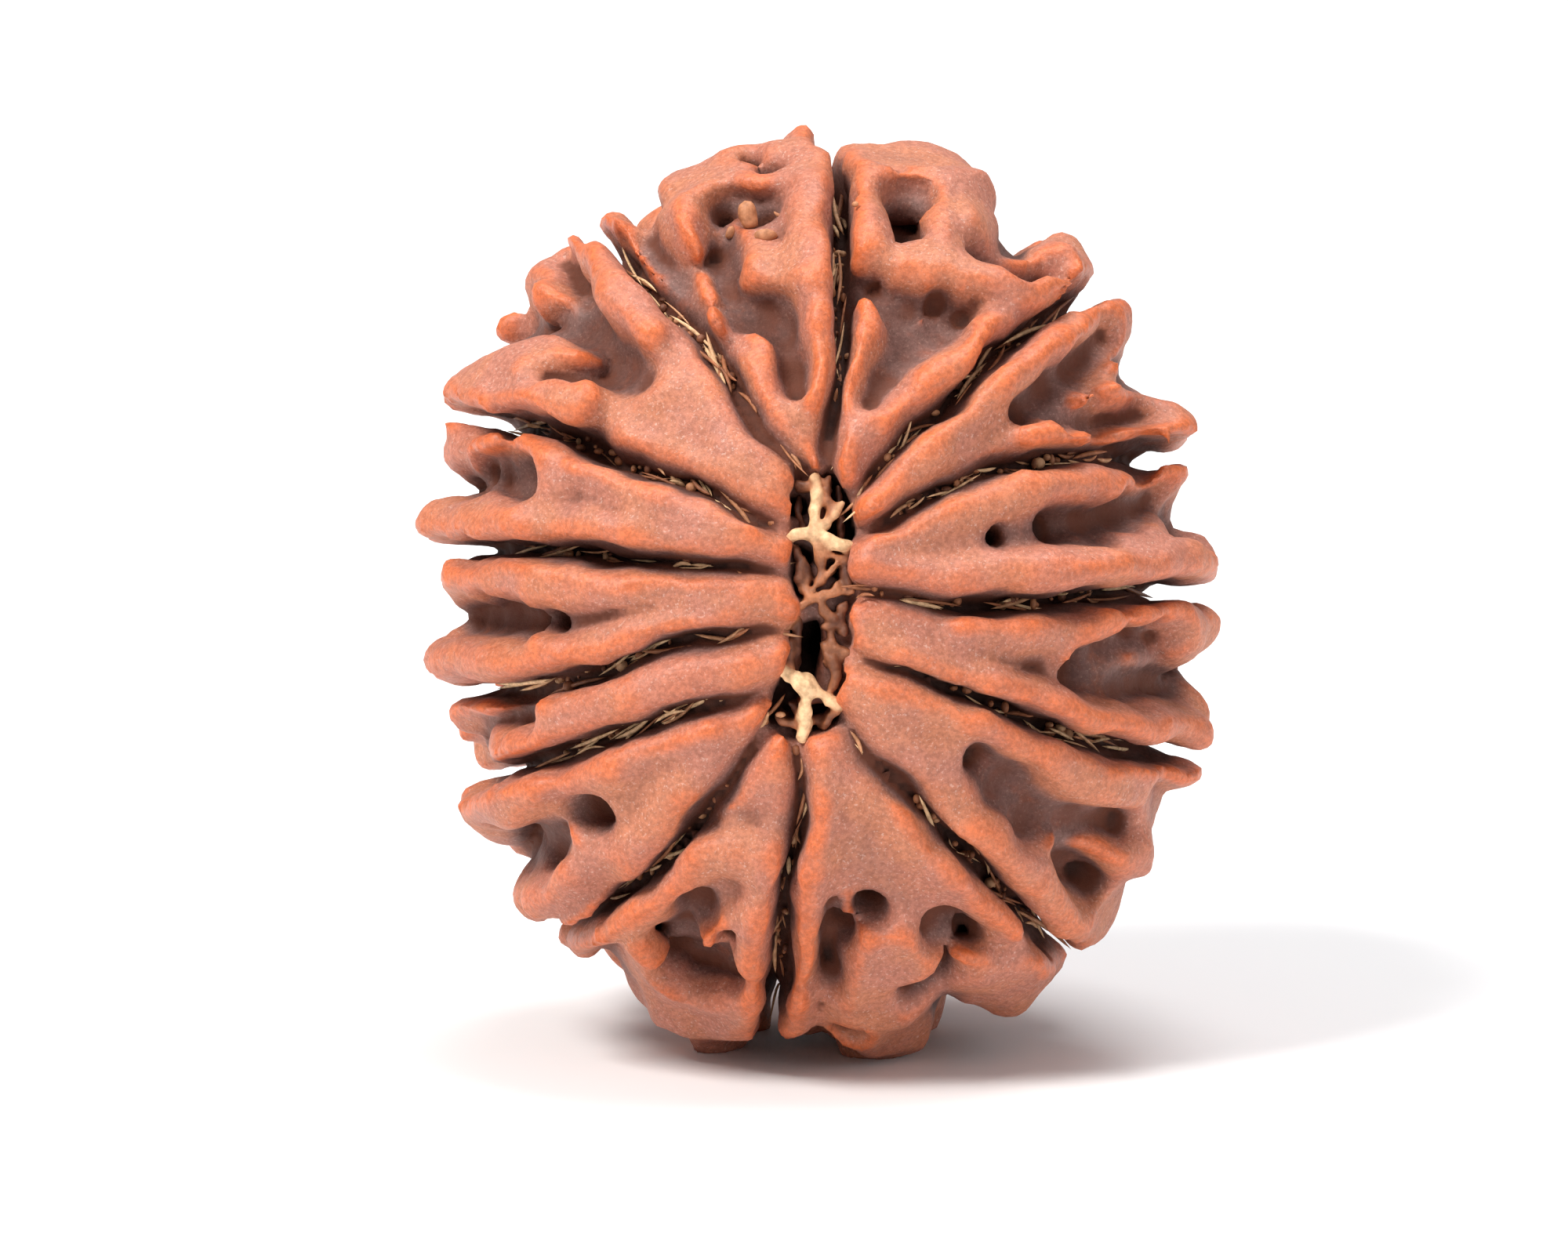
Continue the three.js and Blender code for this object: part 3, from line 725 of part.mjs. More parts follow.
function buildField() {
  const draw = new Draw(seed);
  const count = size[0] * strideX;
  const aside = new Float32Array(count).fill(farAway);
  const cut = new Float32Array(count).fill(farAway);
  for (const line of grooveLines(draw)) {
    const chain = line.map(({ at, out, r }) => {
      const deep = smoothStep(grooveCut.deepFrom, grooveCut.deepTo, out);
      const rise = mix(grooveCut.bottom, grooveCut.rimBottom, deep) + r;
      return { at: add(at, coreNormal(at), rise), r, down: grooveCut.depth };
    });
    eachPair(chain, (a, b) => {
      const fin = makeFin(a, b, 1, grooveCut.flare);
      eachInBox(a.at, b.at, pad.groove, (index, p) => {
        const near = fin(p);
        aside[index] = Math.min(aside[index], near.aside);
        cut[index] = Math.min(cut[index], near.distance);
      });
    });
  }
  const field = new Float32Array(count);
  const height = new Float32Array(count);
  eachInBox(gridLow, gridHigh, 0, (index, [x, y, z]) => {
    const out = outwards(x, z);
    const lip = mix(plate.lip, plate.rimLip, smoothStep(plate.lipFrom, 1, out));
    const dip = plate.dip * smoothStep(plate.dipFrom, plate.dipTo, out);
    height[index] = coreHeight(x, y, z);
    field[index] = height[index] - lip + dip * smoothStep(plate.lipEdge, plate.lipWidth, aside[index]);
  });
  for (const [rimTop, soft, outline] of lobes) {
    eachInOutline(outline, gridLow[1], lobeShape.back, (index, [x, y, z], beside) => {
      const out = smoothStep(lobeShape.riseFrom, 1, outwards(x, z));
      const sunk = lobeShape.dish * out * smoothStep(lobeShape.dishFrom, lobeShape.dishTo, -beside);
      const top = mix(lobeShape.inner, rimTop, out) - sunk;
      let lobe = smoothMax(beside - lobeShape.grow, height[index] - top, soft * lobeShape.edge);
      lobe = smoothMax(lobe, y - lobeShape.back, lobeShape.backSoft);
      field[index] = smoothMin(field[index], lobe, lobeShape.blend);
    });
  }
  const back = backRelief(draw);
  const chains = [
    ...feet.map((foot) => foot.map(([x, y, z, r]) => ({ at: [x, y, z], r, down: footDown }))),
    ...ridges.map((row) => ridgeChain(row)),
    ...back.rows.map((row) => ridgeChain(row, 1)),
    ...rimTeeth(draw),
  ];
  for (const chain of chains) {
    eachPair(chain, (a, b) => {
      const fin = makeFin(a, b, -1, ridgeShape.flare);
      eachInBox(a.at, b.at, pad.ridge, (index, p) => {
        field[index] = smoothMin(field[index], fin(p).distance, ridgeShape.blend);
      });
    });
  }
  eachInBox(gridLow, gridHigh, 0, (index, [x, y, z]) => {
    field[index] += swelling(x, y, z);
  });
  const press = (x, z, r, bottom, side) => {
    const inner = seat(x, z, bottom + r, side);
    const outer = add(inner, coreNormal(inner), pitShape.reach);
    const fin = makeFin({ at: inner, r, down: 0 }, { at: outer, r: r * pitShape.open, down: 0 }, 1, 0);
    eachInBox(inner, outer, r + pad.pit, (index, p) => {
      field[index] = smoothMax(field[index], -fin(p).distance, pitShape.blend);
    });
  };
  for (const [bottom0, bottom1, r0, r1, points] of valleys) {
    const chain = points.map(([x, z], i) => {
      const t = i / (points.length - 1);
      const r = mix(r0, r1, t);
      return { at: seat(x, z, mix(bottom0, bottom1, t) + r), r, down: valleyShape.depth };
    });
    eachPair(chain, (a, b) => {
      const fin = makeFin(a, b, 1, valleyShape.flare);
      eachInBox(a.at, b.at, pad.ridge, (index, p) => {
        field[index] = smoothMax(field[index], -fin(p).distance, valleyShape.blend);
      });
    });
  }
  pits.forEach(([x, z, r, bottom]) => press(x, z, r, bottom, -1));
  back.holes.forEach(([x, z, r, bottom]) => press(x, z, r, bottom, 1));
  for (let index = 0; index < count; index += 1) {
    field[index] += grooveCut.shoulder * (1 - smoothStep(0, grooveCut.shoulderWidth, aside[index]));
    field[index] = smoothMax(field[index], -cut[index], grooveCut.blend);
  }
  eachInOutline(mouthRim, gridLow[1], gridHigh[1], (index, p, beside) => {
    const opening = smoothMax(beside - mouth.grow, mouth.floor - height[index], mouth.soft);
    field[index] = smoothMax(field[index], -opening, mouth.blend);
  });
  eachInBox(gridLow, gridHigh, 0, (index, [x, y, z]) => {
    const bend = channel.bow * Math.max(1 - (y / channel.bowLength) ** 2, 0);
    const d = Math.hypot((x - channel.x - bend) / channel.halfX, (z - channel.z) / channel.halfZ);
    field[index] = smoothMax(field[index], channel.halfX * (1 - d), channel.blend);
  });
  return field;
}

// Each point of the field eased towards its neighbours along one direction after the other
function softened(field) {
  let soft = field;
  for (const stride of [strideX, strideY, 1]) {
    const next = new Float32Array(soft);
    for (let index = stride; index + stride < soft.length; index += 1) {
      next[index] = (soft[index - stride] + 2 * soft[index] + soft[index + stride]) / 4;
    }
    soft = next;
  }
  return soft;
}

// The field's zero surface, by six tetrahedra in each cell of the grid, which always closes
function surfaceOf(field) {
  const corners = [[0, 0, 0], [1, 0, 0], [1, 1, 0], [0, 1, 0], [0, 0, 1], [1, 0, 1], [1, 1, 1], [0, 1, 1]];
  const offsets = corners.map(([i, j, k]) => i * strideX + j * strideY + k);
  const tetrahedra = [[0, 1, 2, 6], [0, 2, 3, 6], [0, 3, 7, 6], [0, 7, 4, 6], [0, 4, 5, 6], [0, 5, 1, 6]];
  const points = [];
  const triangles = [];
  const made = new Map();
  const total = field.length;
  const place = (index) => {
    const i = Math.floor(index / strideX);
    const j = Math.floor((index - i * strideX) / strideY);
    return gridPoint(i, j, index - i * strideX - j * strideY);
  };
  const edgePoint = (a, b) => {
    const key = Math.min(a, b) * total + Math.max(a, b);
    let found = made.get(key);
    if (found === undefined) {
      const t = clamp(field[a] / (field[a] - field[b]), 0.04, 0.96);
      const pa = place(a);
      found = points.length;
      points.push(add(pa, sub(place(b), pa), t));
      made.set(key, found);
    }
    return found;
  };
  const emit = (a, b, c, inside) => {
    const n = cross(sub(points[b], points[a]), sub(points[c], points[a]));
    const outwards = dot(n, sub(points[a], place(inside))) > 0;
    triangles.push(outwards ? [a, b, c] : [a, c, b]);
  };
  for (let i = 0; i + 1 < size[0]; i += 1) {
    for (let j = 0; j + 1 < size[1]; j += 1) {
      for (let k = 0; k + 1 < size[2]; k += 1) {
        const base = i * strideX + j * strideY + k;
        const solid = offsets.filter((offset) => field[base + offset] < 0).length;
        if (solid > 0 && solid < 8) {
          for (const tetrahedron of tetrahedra) {
            const nodes = tetrahedron.map((c) => base + offsets[c]);
            const inner = nodes.filter((node) => field[node] < 0);
            const outer = nodes.filter((node) => field[node] >= 0);
            if (inner.length === 1) {
              emit(...outer.map((node) => edgePoint(inner[0], node)), inner[0]);
            } else if (inner.length === 3) {
              emit(...inner.map((node) => edgePoint(node, outer[0])), inner[0]);
            } else if (inner.length === 2) {
              const [a, b] = outer.map((node) => edgePoint(inner[0], node));
              const [c, d] = outer.map((node) => edgePoint(inner[1], node));
              emit(a, b, d, inner[0]);
              emit(a, d, c, inner[0]);
            }
          }
        }
      }
    }
  }
  return { points, triangles };
}

// The largest piece of a surface, without loose scraps
function largestPiece({ points, triangles }) {
  const parent = points.map((_, i) => i);
  const root = (i) => {
    let r = i;
    while (parent[r] !== r) {
      parent[r] = parent[parent[r]];
      r = parent[r];
    }
    return r;
  };
  triangles.forEach(([a, b, c]) => {
    parent[root(a)] = root(b);
    parent[root(b)] = root(c);
  });
  const tally = new Map();
  triangles.forEach(([a]) => tally.set(root(a), (tally.get(root(a)) || 0) + 1));
  const [best] = [...tally.entries()].sort((p, q) => q[1] - p[1])[0];
  return { points, triangles: triangles.filter(([a]) => root(a) === best) };
}

// A heap of edges, cheapest first
class EdgeHeap {
  constructor() {
    this.items = [];
  }

  push(item) {
    const { items } = this;
    let i = items.length;
    items.push(item);
    while (i > 0) {
      const up = (i - 1) >> 1;
      if (items[up].cost <= item.cost) break;
      items[i] = items[up];
      i = up;
    }
    items[i] = item;
  }

  pop() {
    const { items } = this;
    const first = items[0];
    const last = items.pop();
    const n = items.length;
    if (n > 0) {
      let i = 0;
      for (;;) {
        let child = 2 * i + 1;
        if (child >= n) break;
        if (child + 1 < n && items[child + 1].cost < items[child].cost) child += 1;
        if (items[child].cost >= last.cost) break;
        items[i] = items[child];
        i = child;
      }
      items[i] = last;
    }
    return first;
  }
}

// Thins a closed surface by closing up its cheapest edges, measured by the planes round each point
function thin({ points, triangles }, target) {
  const at = points.map((p) => p.slice());
  const faces = triangles.map((t) => t.slice());
  const around = at.map(() => new Set());
  faces.forEach((face, f) => face.forEach((v) => around[v].add(f)));
  const quadric = at.map(() => new Float64Array(10));
  const version = new Int32Array(at.length);
  const faceNormal = (a, b, c) => cross(sub(b, a), sub(c, a));
  faces.forEach((face) => {
    const [a, b, c] = face.map((v) => at[v]);
    const n = faceNormal(a, b, c);
    const area = Math.sqrt(dot(n, n)) || 1e-12;
    const [x, y, z] = n.map((v) => v / area);
    const w = -dot([x, y, z], a);
    const terms = [x * x, x * y, x * z, x * w, y * y, y * z, y * w, z * z, z * w, w * w];
    face.forEach((v) => terms.forEach((term, i) => {
      quadric[v][i] += term * area;
    }));
  });
  const pull = 2e-3;
  at.forEach(([x, y, z], v) => {
    const q = quadric[v];
    q[0] += pull;
    q[4] += pull;
    q[7] += pull;
    q[3] -= pull * x;
    q[6] -= pull * y;
    q[8] -= pull * z;
    q[9] += pull * (x * x + y * y + z * z);
  });
  const costAt = (q, [x, y, z]) => (
    q[0] * x * x + 2 * q[1] * x * y + 2 * q[2] * x * z + 2 * q[3] * x + q[4] * y * y
    + 2 * q[5] * y * z + 2 * q[6] * y + q[7] * z * z + 2 * q[8] * z + q[9]);
  const bestPlace = (q) => {
    const rows = [[q[0], q[1], q[2]], [q[1], q[4], q[5]], [q[2], q[5], q[7]]];
    const right = [-q[3], -q[6], -q[8]];
    const det = dot(rows[0], cross(rows[1], rows[2]));
    if (Math.abs(det) < 1e-10) return null;
    const column = (i) => rows.map((row, r) => row.map((v, c) => (c === i ? right[r] : v)));
    return [0, 1, 2].map((i) => {
      const m = column(i);
      return dot(m[0], cross(m[1], m[2])) / det;
    });
  };
  const heap = new EdgeHeap();
  const consider = (a, b) => {
    const q = quadric[a].map((v, i) => v + quadric[b][i]);
    const half = [0, 1, 2].map((i) => (at[a][i] + at[b][i]) / 2);
    const best = bestPlace(q);
    const span = sub(at[a], at[b]);
    const near = best && dot(sub(best, half), sub(best, half)) < 0.3 * dot(span, span);
    const place = near ? best : half;
    heap.push({ cost: Math.max(costAt(q, place), 0), a, b, place, stamp: version[a] + version[b] });
  };
  const ring = (v) => {
    const set = new Set();
    around[v].forEach((f) => faces[f].forEach((u) => set.add(u)));
    set.delete(v);
    return set;
  };
  const longestSide = (triangle) => Math.max(...triangle.map((p, i) => (
    Math.hypot(...sub(p, triangle[(i + 1) % 3])))));
  const keepsShape = (v, other, place) => {
    for (const f of around[v]) {
      const face = faces[f];
      if (!face.includes(other)) {
        const old = face.map((u) => at[u]);
        const moved = face.map((u) => (u === v ? place : at[u]));
        const n0 = faceNormal(...old);
        const n1 = faceNormal(...moved);
        const l0 = Math.sqrt(dot(n0, n0));
        const l1 = Math.sqrt(dot(n1, n1));
        if (dot(n0, n1) < 0.2 * l0 * l1) return false;
        const shape = l1 / longestSide(moved) ** 2;
        if (shape < 0.1 && shape < l0 / longestSide(old) ** 2) return false;
      }
    }
    return true;
  };
  const seen = new Set();
  faces.forEach((face) => face.forEach((a, i) => {
    const b = face[(i + 1) % 3];
    const key = Math.min(a, b) * at.length + Math.max(a, b);
    if (!seen.has(key)) {
      seen.add(key);
      consider(a, b);
    }
  }));
  let left = faces.length;
  while (left > target && heap.items.length > 0) {
    const { a, b, place, stamp } = heap.pop();
    const alive = around[a].size > 0 && around[b].size > 0 && stamp === version[a] + version[b];
    if (alive) {
      const ringA = ring(a);
      const shared = [...ring(b)].filter((v) => ringA.has(v));
      if (ringA.has(b) && shared.length === 2 && keepsShape(a, b, place) && keepsShape(b, a, place)) {
        [...around[b]].forEach((f) => {
          const face = faces[f];
          if (face.includes(a)) {
            face.forEach((v) => around[v].delete(f));
            faces[f] = null;
            left -= 1;
          } else {
            face[face.indexOf(b)] = a;
            around[a].add(f);
          }
        });
        around[b].clear();
        at[a] = place;
        quadric[a] = quadric[a].map((v, i) => v + quadric[b][i]);
        version[a] += 1;
        version[b] += 1;
        const touched = ring(a);
        touched.forEach((v) => {
          version[v] += 1;
        });
        touched.forEach((v) => {
          ring(v).forEach((u) => consider(v, u));
        });
      }
    }
  }
  const index = new Map();
  const outPoints = [];
  const outTriangles = faces.filter((face) => face).map((face) => face.map((v) => {
    if (!index.has(v)) {
      index.set(v, outPoints.length);
      outPoints.push(at[v]);
    }
    return index.get(v);
  }));
  return { points: outPoints, triangles: outTriangles };
}

// Moves the points of a thinned surface evenly apart and back onto the field's zero surface
function settle({ points, triangles }, field) {
  const value = ([x, y, z]) => {
    const at = [x, y, z].map((v, c) => (v - gridLow[c]) / gridStep);
    const cell = at.map((v, c) => clamp(Math.floor(v), 0, size[c] - 2));
    const [u, v, w] = at.map((a, c) => a - cell[c]);
    const base = cell[0] * strideX + cell[1] * strideY + cell[2];
    const row = (offset) => mix(field[base + offset], field[base + offset + 1], w);
    return mix(mix(row(0), row(strideY), v), mix(row(strideX), row(strideX + strideY), v), u);
  };
  const probe = gridStep / 2;
  const slope = ([x, y, z]) => [
    (value([x + probe, y, z]) - value([x - probe, y, z])) / (2 * probe),
    (value([x, y + probe, z]) - value([x, y - probe, z])) / (2 * probe),
    (value([x, y, z + probe]) - value([x, y, z - probe])) / (2 * probe),
  ];
  const beside = points.map(() => new Set());
  triangles.forEach(([a, b, c]) => {
    beside[a].add(b).add(c);
    beside[b].add(c).add(a);
    beside[c].add(a).add(b);
  });
  let at = points;
  for (let round = 0; round < 8; round += 1) {
    const ease = round < 3 ? 0.25 : 0;
    at = at.map((p, v) => {
      const n = slope(p);
      const steep = Math.max(Math.sqrt(dot(n, n)), 0.3);
      const back = clamp(-value(p) / steep, -0.12, 0.12);
      let middle = [0, 0, 0];
      beside[v].forEach((u) => {
        middle = add(middle, at[u], 1 / beside[v].size);
      });
      const pull = sub(middle, p);
      const along = add(pull, n, -dot(pull, n) / (steep * steep));
      return add(add(p, along, ease), n, back / steep);
    });
  }
  return { points: at, triangles };
}

const wasm = await Module();
wasm.setup();

function toSolid({ points, triangles }) {
  return new wasm.Manifold(new wasm.Mesh({
    numProp: 3,
    vertProperties: new Float32Array(points.flat()),
    triVerts: new Uint32Array(triangles.flat()),
  }));
}

function toGeometry(solid) {
  const { vertProperties, triVerts } = solid.getMesh();
  const geometry = new THREE.BufferGeometry();
  geometry.setAttribute('position', new THREE.BufferAttribute(vertProperties, 3));
  geometry.setIndex(new THREE.BufferAttribute(triVerts, 1));
  geometry.computeVertexNormals();
  return geometry;
}

// A block that takes away what lies below the surface that the bead stands on
function floorBlock() {
  const width = 40;
  const depth = 10;
  const box = new THREE.BoxGeometry(width, width, depth).translate(0, 0, -floorDepth - depth / 2);
  const position = box.getAttribute('position');
  const points = [];
  const triangles = [];
  const index = Array.from({ length: position.count }, (_, i) => {
    const p = [position.getX(i), position.getY(i), position.getZ(i)];
    const found = points.findIndex((q) => dot(sub(p, q), sub(p, q)) < 1e-6);
    return found >= 0 ? found : points.push(p) - 1;
  });
  const corners = Array.from(box.getIndex().array);
  for (let i = 0; i < corners.length; i += 3) {
    triangles.push([index[corners[i]], index[corners[i + 1]], index[corners[i + 2]]]);
  }
  return toSolid({ points, triangles });
}

// The bead leans back about x, so that its front mouth looks slightly up
function leanBack({ points, triangles }) {
  const c = Math.cos(lean);
  const s = Math.sin(lean);
  return { points: points.map(([x, y, z]) => [x, y * c + z * s, z * c - y * s]), triangles };
}

function makeStone() {
  const field = softened(buildField());
  const fine = largestPiece(surfaceOf(field));
  const light = settle(thin(fine, triangleTarget), field);
  const geometry = toGeometry(toSolid(leanBack(light)).subtract(floorBlock()));
  geometry.translate(0, 0, floorDepth);
  const wood = new THREE.MeshStandardMaterial({ color: 0x9c5a45, roughness: 0.62, metalness: 0 });
  const stone = new THREE.Mesh(geometry, wood);
  stone.name = 'bead_stone';
  return stone;
}

const bead = new THREE.Group();
bead.add(makeStone());

export default bead;
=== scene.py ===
import math

import bpy
import numpy as np
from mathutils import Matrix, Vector


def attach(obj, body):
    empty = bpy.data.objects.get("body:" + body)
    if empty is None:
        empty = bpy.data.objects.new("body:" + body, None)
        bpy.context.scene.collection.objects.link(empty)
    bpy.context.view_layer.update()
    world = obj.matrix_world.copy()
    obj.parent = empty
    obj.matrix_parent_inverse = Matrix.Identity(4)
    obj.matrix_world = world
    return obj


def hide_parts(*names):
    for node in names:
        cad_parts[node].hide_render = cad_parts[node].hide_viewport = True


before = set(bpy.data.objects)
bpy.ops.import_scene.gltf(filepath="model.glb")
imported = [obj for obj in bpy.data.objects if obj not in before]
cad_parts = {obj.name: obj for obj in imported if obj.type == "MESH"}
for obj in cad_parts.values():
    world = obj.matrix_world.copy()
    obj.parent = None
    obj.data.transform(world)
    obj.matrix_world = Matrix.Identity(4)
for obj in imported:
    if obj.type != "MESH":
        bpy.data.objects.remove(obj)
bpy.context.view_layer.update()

mm = 0.001

# The bead in millimetres, in a frame of its own: x across, z along the mouth of the channel,
# y along the channel, with the front mouth towards -y. It leans back to stand as it does.
bead = {
    "coreX": 8.5,          # half sizes of the valley floor
    "coreY": 8.1,
    "coreZ": 10.3,
    "squareness": 2.4,
    "leanDegrees": 10,
    "floorDepth": 12.55,   # centre above the floor
    "seed": 4177,
}

view = {
    "elevationDegrees": 10,
    "distance": 0.4,       # in metres
    "sensor": 36.0,
    "frameWidth": 43.5,    # width of the picture at the bead, in mm
    "aimRight": -0.98,     # the aim, from the middle of the bead, in mm of the picture
    "aimUp": -0.62,
    "clipStart": 0.01,     # in metres
    "clipEnd": 20,
}

# Grooves between the thirteen faces: points [x, z] from the front mouth out to the rim
grooves = {
    "R1": [[0.2, 3.4], [0.3, 4.6], [0.6, 6], [0.6, 7], [0.45, 8], [0.5, 9], [0.45, 10], [0.3, 11],
        [0.2, 12]],
    "R2": [[0.7, 2.4], [1.7, 3.4], [2.4, 4.2], [3.0, 4.7], [3.6, 5.4], [4.4, 6.2], [5.5, 7],
        [6.3, 7.5], [7.1, 8.2]],
    "R3": [[0.8, 1.5], [1.7, 1.9], [2.5, 2.4], [3.5, 2.85], [4.3, 3.2], [5.5, 3.4], [6.5, 3.7],
        [7.5, 3.7], [8.4, 3.5]],
    "R4": [[0.8, 0.1], [2.2, -0.05], [2.8, -0.3], [4, -0.3], [5, -0.25], [6, -0.1], [7, 0],
        [8, 0.1], [9.2, 0]],
    "R5": [[0.8, -1.6], [1.8, -1.9], [2.6, -2.2], [3.3, -2.5], [4, -2.75], [5, -3.15], [6, -3.6],
        [7, -3.9], [7.6, -4.1], [9, -4.1]],
    "R6": [[0.6, -3.1], [1.2, -4.1], [2.1, -4.9], [2.9, -5.8], [3.5, -6.5], [4.2, -7.2], [5, -8.1],
        [5.7, -8.7], [6.4, -9.4], [7, -10]],
    "R7": [[-0.45, -3.4], [-0.5, -4.5], [-0.55, -5.5], [-0.6, -6.1], [-0.75, -6.8], [-0.9, -7.6],
        [-1, -8.5], [-1.1, -9.2], [-1.2, -10], [-1.3, -11], [-1.4, -12]],
    "L6": [[-0.9, -2.7], [-1.7, -3.8], [-2.3, -4.8], [-2.9, -5.7], [-3.5, -6.4], [-4.2, -7],
        [-5, -7.7], [-5.6, -8], [-6.3, -8.5], [-7.1, -9.0]],
    "L5": [[-0.9, -2.2], [-2, -2.6], [-3, -2.9], [-4, -3.2], [-4.6, -3.4], [-5.3, -3.7],
        [-6.2, -4.1], [-7, -4.4], [-8, -4.85], [-9, -5.1]],
    "L4": [[-0.8, -0.85], [-2, -0.95], [-2.6, -1.1], [-3.5, -1.3], [-4.5, -1.6], [-5.3, -1.9],
        [-6, -2.15], [-6.8, -2.4], [-8, -2.5], [-9, -2.5]],
    "L3": [[-0.8, 0.6], [-2, 0.65], [-3, 0.75], [-4, 0.85], [-5, 0.95], [-6.2, 1.1], [-7, 1.15],
        [-7.9, 1.15], [-9, 1.2]],
    "L2": [[-0.8, 1.7], [-1.7, 2], [-2.4, 2.5], [-3, 2.8], [-4, 3.1], [-5, 3.4], [-5.8, 3.9],
        [-6.3, 4.2], [-7, 4.3], [-8, 4.55], [-9, 4.7]],
    "L1": [[-0.6, 3.3], [-1.5, 4.2], [-2.1, 5], [-2.5, 5.8], [-2.9, 6.5], [-3.5, 7.1], [-4.2, 7.7],
        [-4.8, 8.4], [-5.5, 9.2], [-6.1, 9.8]],
}

# Half width of each groove at its mouth end and at the rim
grooveWidths = {
    "R1": [0.14, 0.2], "R2": [0.1, 0.22], "R3": [0.1, 0.14], "R4": [0.1, 0.13], "R5": [0.1, 0.16],
    "R6": [0.1, 0.18], "R7": [0.12, 0.2], "L6": [0.1, 0.18], "L5": [0.1, 0.18], "L4": [0.1, 0.18],
    "L3": [0.1, 0.15], "L2": [0.1, 0.22], "L1": [0.14, 0.26],
}

